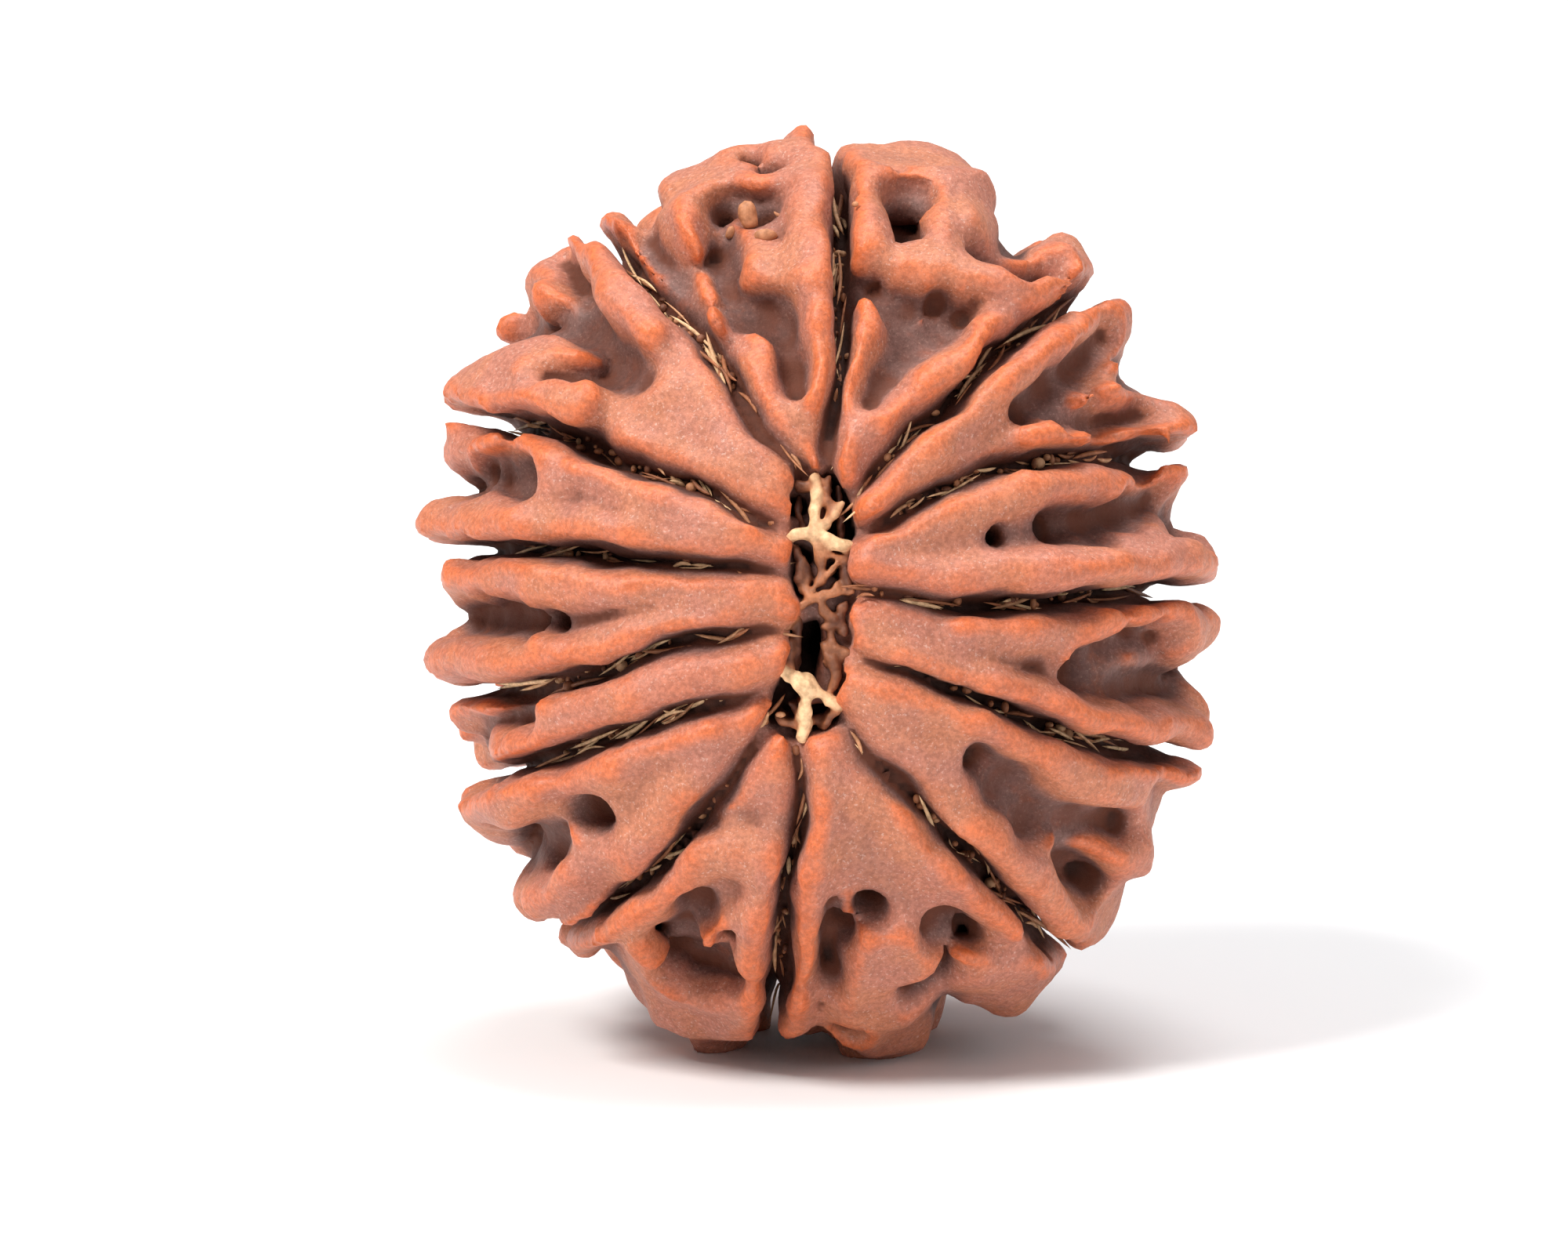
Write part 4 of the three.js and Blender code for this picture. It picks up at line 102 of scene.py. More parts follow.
# Lobes of the front, face by face: height over the core at the rim, softness of the edge,
# and the outline [x, z]
lobes = [
    # the floor of the hollow left of the bottom
    [1.1, 0.6, [[-5.0, -8.9], [-2.0, -8.5], [-1.7, -10.9], [-3.9, -11.5]]],
    # a plate across the face left of the bottom
    [1.7, 0.6, [[-2.2, -6.2], [-3.6, -7.1], [-4.5, -8.0], [-3.4, -8.0], [-2.5, -8.3], [-1.8, -9.0],
        [-1.3, -8.0], [-1.5, -6.6]]],
    # S1
    [2.6, 0.7, [[0.2, 8.4], [0.35, 9.2], [0.2, 10.2], [0.15, 11.4], [0.1, 12.6], [-0.25, 13.05],
        [-0.65, 13.1], [-1.0, 12.6], [-1.15, 12.0], [-1.0, 11.2], [-0.85, 10.4], [-0.8, 9.6],
        [-0.6, 8.8], [-0.4, 8.2]]],
    [1.75, 0.6, [[-3.2, 11.8], [-0.7, 11.8], [-0.7, 9.4], [-3.2, 9.4]]],
    [2.45, 0.7, [[-0.8, 12.5], [-1.6, 12.4], [-2.5, 12.5], [-3.0, 12.2], [-2.8, 11.5], [-1.8, 11.2],
        [-0.9, 11.3]]],
    [2.45, 0.9, [[-2.4, 12.4], [-3.1, 12.2], [-3.6, 11.6], [-4.2, 11.35], [-4.2, 10.6], [-4.4, 10],
        [-4.7, 9.5], [-4.0, 9.0], [-3.2, 9.2], [-2.8, 10], [-2.7, 10.8], [-2.5, 11.4]]],
    [2.15, 0.6, [[-2.4, 9.35], [-1.6, 9.7], [-0.8, 9.7], [-0.1, 9.2], [-0.1, 8.4], [-0.8, 8.05],
        [-1.6, 8.05], [-2.25, 8.4]]],
    [1.9, 0.8, [[-2.2, 6.5], [-2.0, 7.15], [-1.5, 7.2], [-1.0, 6.8], [-0.9, 6], [-0.7, 5],
        [-0.7, 4.1], [-1.0, 3.9], [-1.6, 4.8], [-2.1, 5.6], [-2.35, 6.2]]],
    [2.3, 0.8, [[-6.35, 10.05], [-6.1, 10.45], [-5.6, 10.4], [-5.0, 9.8], [-4.4, 9.35], [-3.7, 9.0],
        [-2.9, 8.6], [-2.4, 8.0], [-2.3, 7.4], [-2.6, 7.0], [-3.0, 6.95], [-3.5, 7.3], [-4.1, 8.0],
        [-5.0, 8.6], [-5.7, 9.3]]],
    # S2
    [2.5, 0.7, [[0.45, 12.2], [0.9, 12.5], [1.4, 12.2], [1.4, 11.4], [1.5, 10.6], [1.8, 9.8],
        [1.75, 9.0], [1.3, 8.5], [0.9, 8.8], [0.6, 9.6], [0.45, 10.4], [0.4, 11.3]]],
    [2.5, 0.8, [[1.1, 12.3], [1.6, 12.15], [2.3, 12.3], [3.0, 12.4], [3.9, 12.35], [4.3, 11.7],
        [3.6, 11.1], [2.6, 11.3], [1.8, 11.2], [1.1, 11.5]]],
    [2.4, 0.9, [[3.2, 12.1], [4.2, 12.0], [4.5, 11.2], [4.6, 10.5], [4.65, 9.2], [4.3, 8.4],
        [3.6, 8.1], [3.0, 8.8], [2.8, 9.8], [2.8, 10.8]]],
    [1.9, 0.6, [[1.4, 11.6], [3.3, 11.6], [3.1, 10.5], [2.5, 10.3], [1.7, 10.5]]],
    [2.25, 0.6, [[1.9, 9.3], [2.9, 9.5], [3.8, 9.2], [3.9, 8.3], [2.9, 8.1], [2.0, 8.15],
        [1.7, 8.7]]],
    [1.6, 0.6, [[3.9, 9.0], [5.2, 9.0], [5.1, 7.9], [4.2, 7.6], [3.6, 7.9]]],
    [1.3, 0.6, [[1.0, 8.4], [3.8, 8.3], [4.2, 7.2], [3.4, 6.2], [2.2, 5.4], [1.2, 4.6]]],
    [2.6, 0.9, [[4.3, 9.2], [5, 9.1], [5.6, 9.05], [6.0, 9.45], [6.6, 9.85], [7.2, 9.7], [7.6, 9.2],
        [7.5, 8.7], [7.1, 8.3], [6.6, 7.8], [6.0, 7.4], [5.3, 7.9], [4.4, 8.2], [4, 8.7]]],
    [2.3, 0.7, [[4.0, 7.1], [4.3, 7.6], [4.8, 7.95], [5.5, 7.95], [5.9, 7.5], [5.4, 7.05],
        [4.8, 6.75], [4.2, 6.6]]],
    [1.9, 0.7, [[0.25, 3.1], [0.0, 3.7], [0.7, 4.6], [1.6, 5.4], [2.3, 5.95], [3.1, 6.5],
        [3.8, 6.85], [4.35, 6.85], [4.4, 6.3], [3.9, 5.75], [3.1, 5.2], [2.4, 4.6], [1.6, 3.9],
        [0.9, 3.2]]],
    # S3
    [2.2, 0.8, [[0.9, 1.9], [1.6, 2.9], [2.6, 3.9], [3.4, 4.75], [4.2, 5.55], [5.2, 6.35],
        [6.1, 7.0], [6.8, 7.35], [7.2, 7.0], [7.1, 6.5], [6.7, 6.1], [5.9, 5.6], [5.2, 5.1],
        [4.4, 4.3], [3.4, 3.5], [2.2, 2.6], [1.2, 1.8]]],
    [2.3, 0.9, [[6.6, 6.3], [7, 7.4], [7.6, 7.9], [8.25, 8.2], [8.4, 7.6], [8.3, 6.9], [8, 6.5],
        [7.5, 6.1], [7.2, 5.8]]],
    [2.4, 0.8, [[5.4, 4.4], [5.6, 5.0], [6.4, 5.15], [7.2, 5.1], [8.1, 5.05], [8.8, 4.9],
        [9.0, 4.4], [8.6, 3.95], [7.6, 3.9], [6.5, 3.95], [5.7, 3.9]]],
    [2.9, 0.8, [[6.9, 5.95], [7.6, 6.0], [8.3, 5.65], [9.0, 5.4], [9.6, 5.1], [10.2, 4.55],
        [10, 4.1], [9.3, 3.95], [8.6, 4.4], [7.6, 4.9], [6.9, 5.3]]],
    [1.75, 0.8, [[0.9, 1.7], [2.2, 3.1], [3.6, 4.4], [4.8, 5.2], [5.5, 4.8], [5.7, 3.8], [4.3, 3.4],
        [2.5, 2.6], [1.3, 1.85]]],
    # S4
    [1.5, 0.6, [[3.4, 2.0], [3.4, 0.9], [8.7, 1.0], [8.7, 2.4], [6, 2.7]]],
    [2.1, 0.8, [[0.9, 1.4], [1.7, 1.7], [2.6, 2.2], [3.6, 2.65], [4.6, 3], [5.6, 3.2], [6.8, 3.45],
        [7.9, 3.5], [8.7, 3.2], [8.8, 2.5], [8.7, 1.6], [8.1, 1.6], [7.3, 2.0], [6.5, 2.3],
        [5.7, 2.2], [5.0, 1.7], [4, 1.3], [2.6, 1.0], [1.2, 0.8]]],
    [2.5, 0.9, [[8.4, 2.9], [9.0, 3.15], [9.6, 3.5], [10.1, 3.4], [9.8, 2.9], [9.5, 2.4],
        [9.4, 1.9], [9.5, 1.3], [8.7, 1.3], [8.4, 2]]],
    [2.9, 0.8, [[0.9, 0.15], [2.2, 0.1], [4, -0.05], [5.5, 0.05], [7, 0.2], [8.5, 0.35],
        [9.6, 0.35], [10.7, 0.4], [11.2, 0.8], [10.8, 1.3], [10.2, 1.4], [9.4, 1.35], [8.4, 1.3],
        [7.4, 1.15], [6.4, 1.2], [5.2, 1.1], [4, 1.3], [2.5, 1.2], [1, 1.0]]],
    # S5
    [1.4, 0.6, [[6.1, -0.6], [9, -0.5], [9.5, -1.6], [9.3, -2.7], [7, -2.9], [5.5, -2.4],
        [6.2, -1.8]]],
    [2.0, 0.8, [[1, -0.2], [2.4, -0.3], [4, -0.5], [5.3, -0.5], [6.7, -0.4], [6.8, -0.9],
        [6.3, -1.5], [5.7, -1.9], [4.6, -2.2], [3, -1.8], [1.2, -1.3]]],
    [2.7, 0.8, [[9.0, -0.25], [9.8, -0.15], [10.5, -0.15], [11.0, -0.7], [10.85, -1.1],
        [10.3, -1.55], [9.6, -1.75], [9.1, -1.2]]],
    [2.6, 0.8, [[1, -1.6], [2.6, -2.15], [4, -2.65], [5, -3.05], [6, -3.5], [7, -3.85], [8.3, -4.1],
        [9.5, -4.05], [10.5, -3.85], [10.8, -3.4], [10.4, -2.8], [9.9, -2.2], [9.2, -2.0],
        [9.0, -2.8], [8, -2.9], [7, -2.8], [5.8, -2.4], [4.5, -1.9], [3, -1.4], [1.2, -1.0]]],
    # S6
    [1.55, 0.8, [[4.5, -4.6], [5.6, -4.5], [6.8, -5.3], [7.8, -5.5], [8.3, -6.4], [8.1, -7.5],
        [7.4, -8.8], [6.8, -8.2], [5.8, -7.3], [4.8, -6.3], [4.4, -5.4]]],
    [2.7, 0.6, [[8, -4.4], [9.3, -4.35], [10.4, -4.45], [10.8, -4.8], [10.3, -5.1], [9.2, -5.1],
        [8.2, -5.05]]],
    [2.2, 0.9, [[1, -1.9], [2.6, -2.5], [4, -3.0], [5.2, -3.5], [6.4, -4.0], [7.5, -4.25],
        [8.15, -4.7], [8.0, -5.3], [7.2, -5.5], [6.3, -5.1], [5.2, -4.6], [4.4, -4.0], [3.0, -3.6],
        [1.6, -3.0], [1, -2.6]]],
    [1.8, 0.8, [[1.2, -2.6], [3, -3.5], [4.7, -4.0], [5.0, -4.9], [4.5, -5.5], [4.5, -6.4],
        [4.2, -6.9], [3.4, -6.2], [2.7, -5.4], [2.0, -4.6], [1.1, -3.6]]],
    [2.3, 0.9, [[7.8, -5.1], [8.4, -4.9], [9.2, -4.9], [9.25, -5.6], [9.0, -6.2], [8.4, -6.2],
        [7.9, -5.7]]],
    [2.4, 0.9, [[9.0, -6], [8.9, -6.6], [8.9, -7.1], [8.8, -7.6], [8.3, -8], [8.1, -8.6],
        [7.9, -9.4], [7.5, -9.8], [6.9, -9.5], [7.2, -8.7], [7.5, -8], [7.8, -7.2], [8.0, -6.4],
        [8.2, -5.8]]],
    [2.1, 0.9, [[5.5, -6.2], [6.0, -5.9], [6.6, -6.3], [6.8, -6.9], [6.3, -7.2], [5.7, -6.9]]],
    [2.4, 0.8, [[3.6, -6.2], [4.3, -6.95], [5.0, -7.75], [5.7, -8.4], [6.3, -9.0], [6.9, -9.6],
        [7.6, -9.75], [7.8, -9.2], [7.3, -8.5], [6.8, -7.9], [6.2, -7.4], [5.6, -6.9], [4.9, -6.2],
        [4.3, -5.6]]],
    # S7
    [2.3, 0.9, [[1.5, -4.7], [2.3, -5.6], [3, -6.4], [3.8, -7.3], [4.7, -8.2], [5.5, -9.0],
        [6.0, -9.4], [5.5, -9.8], [4.8, -9.4], [4, -8.8], [3.1, -8.2], [2.3, -7.3], [1.8, -6.2],
        [1.2, -5.1]]],
    [2.3, 0.8, [[-0.35, -4.2], [-0.4, -5.6], [-0.55, -6.6], [-0.7, -7.6], [-0.8, -8.6],
        [-0.85, -9.6], [-0.8, -10.6], [-0.35, -10.95], [0.1, -10.6], [0.25, -9.6], [0.25, -8.6],
        [0.15, -7.6], [0.25, -6.4], [0.45, -5.2], [0.3, -4.2]]],
    [2.0, 0.9, [[-0.2, -4.1], [0.9, -4.2], [1.8, -5.4], [2.5, -6.6], [3.2, -7.8], [3.9, -8.7],
        [3.6, -9.5], [2.6, -9.3], [1.4, -9.2], [0.4, -9.2], [0.1, -8.4], [0.1, -6.4],
        [-0.2, -5.2]]],
    [2.5, 0.7, [[-1.0, -10.8], [-1.05, -11.9], [-0.7, -12.15], [-0.3, -12.0], [-0.2, -11.2],
        [-0.3, -10.7]]],
    [2.6, 1.1, [[0.2, -9.1], [0.9, -8.9], [1.8, -8.8], [2.7, -9.0], [3.3, -9.6], [3.6, -10.4],
        [3.2, -11], [3.0, -11.6], [2.7, -12.4], [2, -12.6], [1.5, -12.8], [0.9, -12.6],
        [0.4, -12.1], [0.15, -11.2], [0.1, -10.2]]],
    [2.6, 1.1, [[4.2, -9.4], [5, -9.8], [5.6, -9.7], [6.4, -9.6], [7.1, -9.95], [6.8, -10.5],
        [6.3, -11.1], [5.7, -11.7], [5.1, -11.7], [4.5, -11.2], [3.6, -10.7], [3.4, -10],
        [3.7, -9.5]]],
    # S8
    [1.75, 0.8, [[-0.7, -3.4], [-1.2, -3.4], [-1.9, -4.5], [-2.5, -5.35], [-3.1, -6.1],
        [-2.5, -6.3], [-1.9, -6.1], [-1.4, -6.6], [-0.8, -6.4], [-0.65, -5]]],
    [2.2, 0.8, [[-3.6, -6.5], [-3.0, -6.6], [-2.2, -6.8], [-1.3, -6.5], [-1.0, -7.2], [-1.2, -8.2],
        [-1.35, -9.2], [-1.4, -10.2], [-1.8, -10.5], [-2.2, -10.0], [-2.15, -9.0], [-2.0, -8.2],
        [-2.4, -7.55], [-3.2, -7.4], [-4, -7.3]]],
    [2.4, 0.8, [[-3.3, -6.45], [-4, -7.0], [-4.9, -7.8], [-5.6, -8.2], [-6.3, -8.6], [-7.0, -8.75],
        [-7.3, -9.2], [-6.9, -9.8], [-6.4, -10.0], [-5.9, -9.7], [-5.4, -9.3], [-4.6, -8.9],
        [-3.8, -8.4], [-3.1, -7.6]]],
    [2.6, 1.1, [[-1.5, -10.6], [-1.5, -11.5], [-1.7, -12.3], [-2.5, -12.7], [-3.5, -12.6],
        [-4.0, -12.3], [-4.5, -11.7], [-4.8, -11.1], [-5.2, -10.3], [-5.6, -9.5], [-4.9, -9.2],
        [-4.3, -9.8], [-3.6, -10.4], [-2.8, -10.3], [-2.2, -10.4]]],
    # S9
    [2.1, 0.9, [[-1.2, -2.6], [-2.5, -2.95], [-4, -3.5], [-5.2, -4.0], [-6.5, -4.6], [-7.8, -5.0],
        [-7.8, -5.8], [-7.3, -6.6], [-7.0, -7.4], [-6.2, -8.0], [-5.2, -7.5], [-4.3, -6.8],
        [-3.6, -6.1], [-3, -5.4], [-2.3, -4.4], [-1.6, -3.4]]],
    [2.6, 0.9, [[-7.4, -4.8], [-8.2, -4.95], [-9, -5], [-9.9, -5.1], [-10.1, -5.6], [-9.8, -6.2],
        [-9, -6.6], [-8.4, -6.7], [-7.6, -6.2]]],
    [2.5, 0.9, [[-7.6, -6.8], [-7.75, -7.5], [-8.1, -7.9], [-8.5, -8.4], [-8.1, -8.9], [-7.6, -9.0],
        [-7.2, -8.6], [-6.8, -8.5], [-6.3, -8.1], [-6.8, -7.3]]],
    # S10
    [2.5, 0.8, [[-0.9, -1.2], [-2.6, -1.35], [-3.5, -1.55], [-4.5, -1.85], [-5.3, -2.15],
        [-6.2, -2.45], [-7.2, -2.7], [-8.6, -2.65], [-9.3, -2.7], [-10.1, -3.05], [-9.6, -3.5],
        [-9, -3.65], [-8.8, -3.9], [-8.9, -4.7], [-8, -4.6], [-7, -4.15], [-6.2, -3.85],
        [-5.3, -3.4], [-4, -2.95], [-3, -2.65], [-2, -2.35], [-1, -2.0]]],
    # S11
    [1.7, 0.6, [[-4.8, -0.1], [-9.2, -0.1], [-9.2, -1.3], [-4.8, -1.1]]],
    [2.6, 0.8, [[-0.9, 0.4], [-2, 0.45], [-3, 0.55], [-4, 0.65], [-5, 0.75], [-6.2, 0.9],
        [-7, 0.95], [-8, 0.95], [-9.1, 1.1], [-9.7, 0.85], [-10.4, 0.6], [-9.9, 0.15],
        [-9.5, -0.15], [-9.1, -0.45], [-8.3, -0.35], [-7.4, -0.4], [-6.4, -0.3], [-5, -0.2],
        [-3, -0.3], [-1, -0.3]]],
    [2.6, 0.8, [[-1, -0.1], [-3, -0.2], [-5, -0.3], [-6, -1.0], [-7, -1.15], [-7.9, -1.1],
        [-8.7, -1.0], [-9.4, -0.9], [-9.9, -1.05], [-10.5, -1.35], [-10.9, -1.8], [-10.7, -2.2],
        [-10.2, -2.3], [-9.3, -2.35], [-8, -2.3], [-6.9, -2.2], [-6, -1.95], [-5.3, -1.7],
        [-4.5, -1.4], [-3.5, -1.1], [-2.6, -0.9], [-1, -0.65]]],
    # S12
    [2.2, 0.9, [[-0.9, 1.0], [-2, 0.85], [-3, 0.95], [-4, 1.05], [-5, 1.15], [-6.2, 1.3],
        [-7.4, 1.35], [-8.6, 1.4], [-8.7, 2.3], [-8.2, 2.9], [-8.5, 3.6], [-8.1, 4.25], [-7.2, 4.1],
        [-6.4, 3.95], [-5.9, 3.65], [-5, 3.15], [-4, 2.85], [-3, 2.55], [-2.4, 2.25], [-1.7, 1.8]]],
    [2.5, 0.8, [[-8.3, 3.8], [-8.8, 4.45], [-9.2, 4.4], [-9.8, 4.45], [-10.1, 4.1], [-9.9, 3.8],
        [-9.5, 3.45], [-9, 3.15], [-8.6, 3.0]]],
    [2.8, 0.8, [[-8.2, 2.4], [-8.7, 3.0], [-9.1, 2.55], [-9.7, 2.5], [-10.4, 2.45], [-10.9, 2.25],
        [-11.1, 1.8], [-10.9, 1.4], [-10.4, 1.3], [-9.3, 1.3], [-8.2, 1.45]]],
    # S13
    [2.05, 0.8, [[-0.75, 3.0], [-1.4, 3.85], [-2.0, 4.65], [-2.5, 5.45], [-3.0, 6.15], [-3.6, 6.85],
        [-4.1, 6.85], [-4.6, 6.3], [-5.3, 5.4], [-5.9, 4.7], [-5.6, 4.0], [-4.6, 3.55], [-4, 3.35],
        [-3, 2.9], [-2, 2.3], [-1, 1.95]]],
    [2.4, 0.9, [[-4.4, 6.8], [-4.2, 7.4], [-4.9, 8.15], [-5.5, 8.9], [-6.1, 9.4], [-6.7, 9.75],
        [-7.3, 9.9], [-7.7, 9.4], [-7.95, 8.8], [-7.7, 8], [-7.55, 7.5], [-7.0, 7.35], [-6.7, 7.9],
        [-6.2, 7.8], [-5.7, 7.2], [-5.2, 6.7], [-4.8, 6.55]]],
    [2.2, 0.8, [[-7.7, 6.9], [-7.2, 7.15], [-6.5, 7.1], [-5.9, 6.8], [-5.8, 6.3], [-6.5, 6.1],
        [-7.4, 6.2], [-8.1, 6.5]]],
    [2.7, 0.8, [[-5.9, 5.4], [-6.2, 5.95], [-7, 6.25], [-7.9, 6.6], [-8.7, 6.65], [-9.3, 6.5],
        [-9.8, 6.1], [-10.4, 5.5], [-10.45, 5.2], [-10, 5.05], [-9.5, 4.9], [-8.8, 4.9],
        [-7.5, 4.75], [-6.4, 4.65]]],
]

# The uneven rim of the channel's mouth
mouthRim = [
    [-0.1, 3.5], [-0.5, 4.0], [-0.85, 3.3], [-0.7, 2.7], [-1.0, 2.0], [-0.65, 1.5], [-0.95, 1.0],
    [-0.65, 0.4], [-1.05, 0.1], [-0.75, -0.4], [-1.05, -0.9], [-0.75, -1.4], [-1.0, -2.0],
    [-1.6, -2.5], [-1.1, -3.0], [-1.3, -3.6], [-0.7, -4.0], [-0.3, -3.7], [0.3, -4.0], [0.75, -3.4],
    [0.6, -2.8], [1.0, -2.2], [0.7, -1.8], [1.1, -1.2], [0.75, -0.6], [1.2, -0.1], [0.8, 0.5],
    [1.15, 1.1], [0.8, 1.6], [1.05, 2.2], [0.6, 2.6], [0.65, 3.2], [0.2, 3.3],
]

# Ridges, lips and teeth of the front, face by face: height over the core at the start and end,
# half width at the start and end, 1 for a free tip, and the points [x, z] of the crest
ridges = [
    # fingers in the lower right face
    [1.9, 2.3, 0.42, 0.35, 1, [[6.2, -4.8], [7.4, -5.1], [8.6, -5.3]]],
    [1.7, 2.2, 0.42, 0.5, 1, [[6.6, -6.8], [7.5, -6.9], [8.5, -7.1]]],
    [1.6, 1.8, 0.3, 0.3, 0, [[4.6, -6.0], [5.4, -6.1], [6.1, -6.4]]],
    # S1
    [2.4, 2.3, 0.35, 0.4, 0, [[-0.3, 12.3], [-0.2, 11.0], [-0.15, 9.6], [-0.1, 8.5]]],
    [2.2, 1.95, 0.52, 0.45, 0, [[-0.25, 8.3], [-0.08, 7.3], [-0.12, 6.3], [-0.05, 5.3]]],
    [1.9, 2.3, 0.42, 0.3, 1, [[-3.1, 7.6], [-4.0, 8.45], [-5.1, 9.2], [-5.95, 10.05]]],
    # S2
    [2.05, 1.5, 0.45, 0.3, 0, [[1.3, 7.8], [1.12, 6.9], [0.92, 6], [0.62, 5], [0.25, 3.6]]],
    [2.6, 2.7, 0.45, 0.4, 1, [[5.1, 8.8], [6.1, 9.0], [6.9, 9.2]]],
    [2.3, 2.4, 0.35, 0.4, 0, [[5.9, 8.0], [6.6, 8.3], [7.0, 8.8]]],
    [1.7, 2.0, 0.3, 0.36, 1, [[0.4, 3.5], [1.6, 4.7], [2.9, 5.8], [4.0, 6.45]]],
    # S3
    [1.6, 2.3, 0.3, 0.42, 1, [[1.3, 2.4], [3.0, 4.1], [5, 5.75], [6.7, 6.85]]],
    [2.3, 2.5, 0.4, 0.35, 0, [[7.0, 6.7], [7.8, 7.6], [8.05, 7.0], [7.7, 6.4]]],
    [2.0, 2.5, 0.4, 0.36, 1, [[5.8, 4.55], [7.2, 4.5], [8.5, 4.45]]],
    [2.2, 2.8, 0.4, 0.3, 1, [[7.1, 5.6], [8.4, 5.2], [9.6, 4.6]]],
    # S4
    [1.6, 2.3, 0.3, 0.38, 0, [[1.6, 1.5], [3.6, 2.3], [5.6, 2.9], [7.6, 3.05], [8.35, 2.7],
        [8.35, 1.9]]],
    [1.6, 2.8, 0.3, 0.36, 1, [[1.5, 0.5], [4, 0.45], [7, 0.6], [9, 0.8], [10.6, 0.8]]],
    # S5
    [2.2, 2.4, 0.36, 0.32, 0, [[6.9, -1.8], [7.1, -1.2], [7.8, -0.75], [8.8, -0.5], [9.4, -0.9],
        [9.1, -1.5]]],
    [1.8, 2.0, 0.32, 0.36, 0, [[4.0, -0.9], [5.4, -0.9], [6.3, -1.1]]],
    [1.6, 2.6, 0.3, 0.36, 1, [[2.2, -1.8], [4.5, -2.6], [7, -3.35], [9.2, -3.6], [10.3, -3.45]]],
    # S6
    [1.6, 2.3, 0.32, 0.42, 1, [[1.8, -2.5], [4, -3.5], [6, -4.4], [7.6, -4.8]]],
    [2.0, 2.4, 0.36, 0.36, 1, [[4.6, -6.5], [5.8, -7.8], [7.2, -9.2]]],
    # S7
    [1.8, 2.4, 0.36, 0.4, 1, [[2.3, -6], [3.6, -7.5], [5.4, -9.1]]],
    [1.8, 2.5, 0.32, 0.3, 1, [[-0.2, -5.6], [-0.25, -7.5], [-0.3, -10.4]]],
    [2.7, 2.7, 0.5, 0.5, 0, [[1.0, -12], [1.5, -12.3]]],
    # S8
    [1.9, 2.3, 0.36, 0.36, 0, [[-3.3, -6.95], [-2.2, -7.1], [-1.4, -7.2], [-1.6, -8.6],
        [-1.75, -9.9]]],
    [1.9, 2.5, 0.38, 0.38, 1, [[-3.3, -7.1], [-4.8, -8.2], [-6.6, -9.25]]],
    [2.2, 2.3, 0.22, 0.2, 1, [[-2.7, -8.9], [-3.1, -9.4], [-3.5, -9.85]]],
    # S9
    [1.8, 2.6, 0.36, 0.36, 1, [[-3, -3.4], [-5.5, -4.5], [-8, -5.4], [-9.6, -5.55]]],
    [1.8, 2.4, 0.36, 0.36, 0, [[-3.6, -5.6], [-5.2, -7.1], [-7, -7.9], [-7.9, -8.4]]],
    # S10
    [1.7, 2.5, 0.34, 0.34, 1, [[-2, -1.85], [-5, -2.7], [-7.5, -3.3], [-9.6, -3.1]]],
    # S11
    [1.7, 2.6, 0.32, 0.34, 1, [[-2, 0.05], [-5, 0.35], [-7.5, 0.45], [-10, 0.55]]],
    [1.7, 2.7, 0.32, 0.36, 1, [[-2.5, -0.65], [-5, -1.25], [-7.5, -1.7], [-10.4, -1.8]]],
    # S12
    [1.7, 2.3, 0.34, 0.36, 0, [[-2, 1.75], [-4.4, 2.6], [-6.4, 3.5], [-7.9, 3.85]]],
    [2.2, 2.1, 0.26, 0.26, 0, [[-8.2, 3.7], [-7.3, 3.5], [-7.15, 2.9], [-7.6, 2.3]]],
    [1.7, 2.8, 0.34, 0.4, 1, [[-2.5, 1.3], [-5, 1.6], [-8, 1.85], [-10.7, 1.85]]],
    # S13
    [2.3, 2.4, 0.38, 0.42, 0, [[-4.7, 7.1], [-5.6, 8.1], [-6.6, 9.0], [-7.3, 9.3], [-7.3, 8.4],
        [-7.2, 7.7]]],
    [2.2, 2.7, 0.36, 0.32, 1, [[-6.2, 5.3], [-7.6, 5.35], [-9, 5.35], [-10.2, 5.3]]],
]

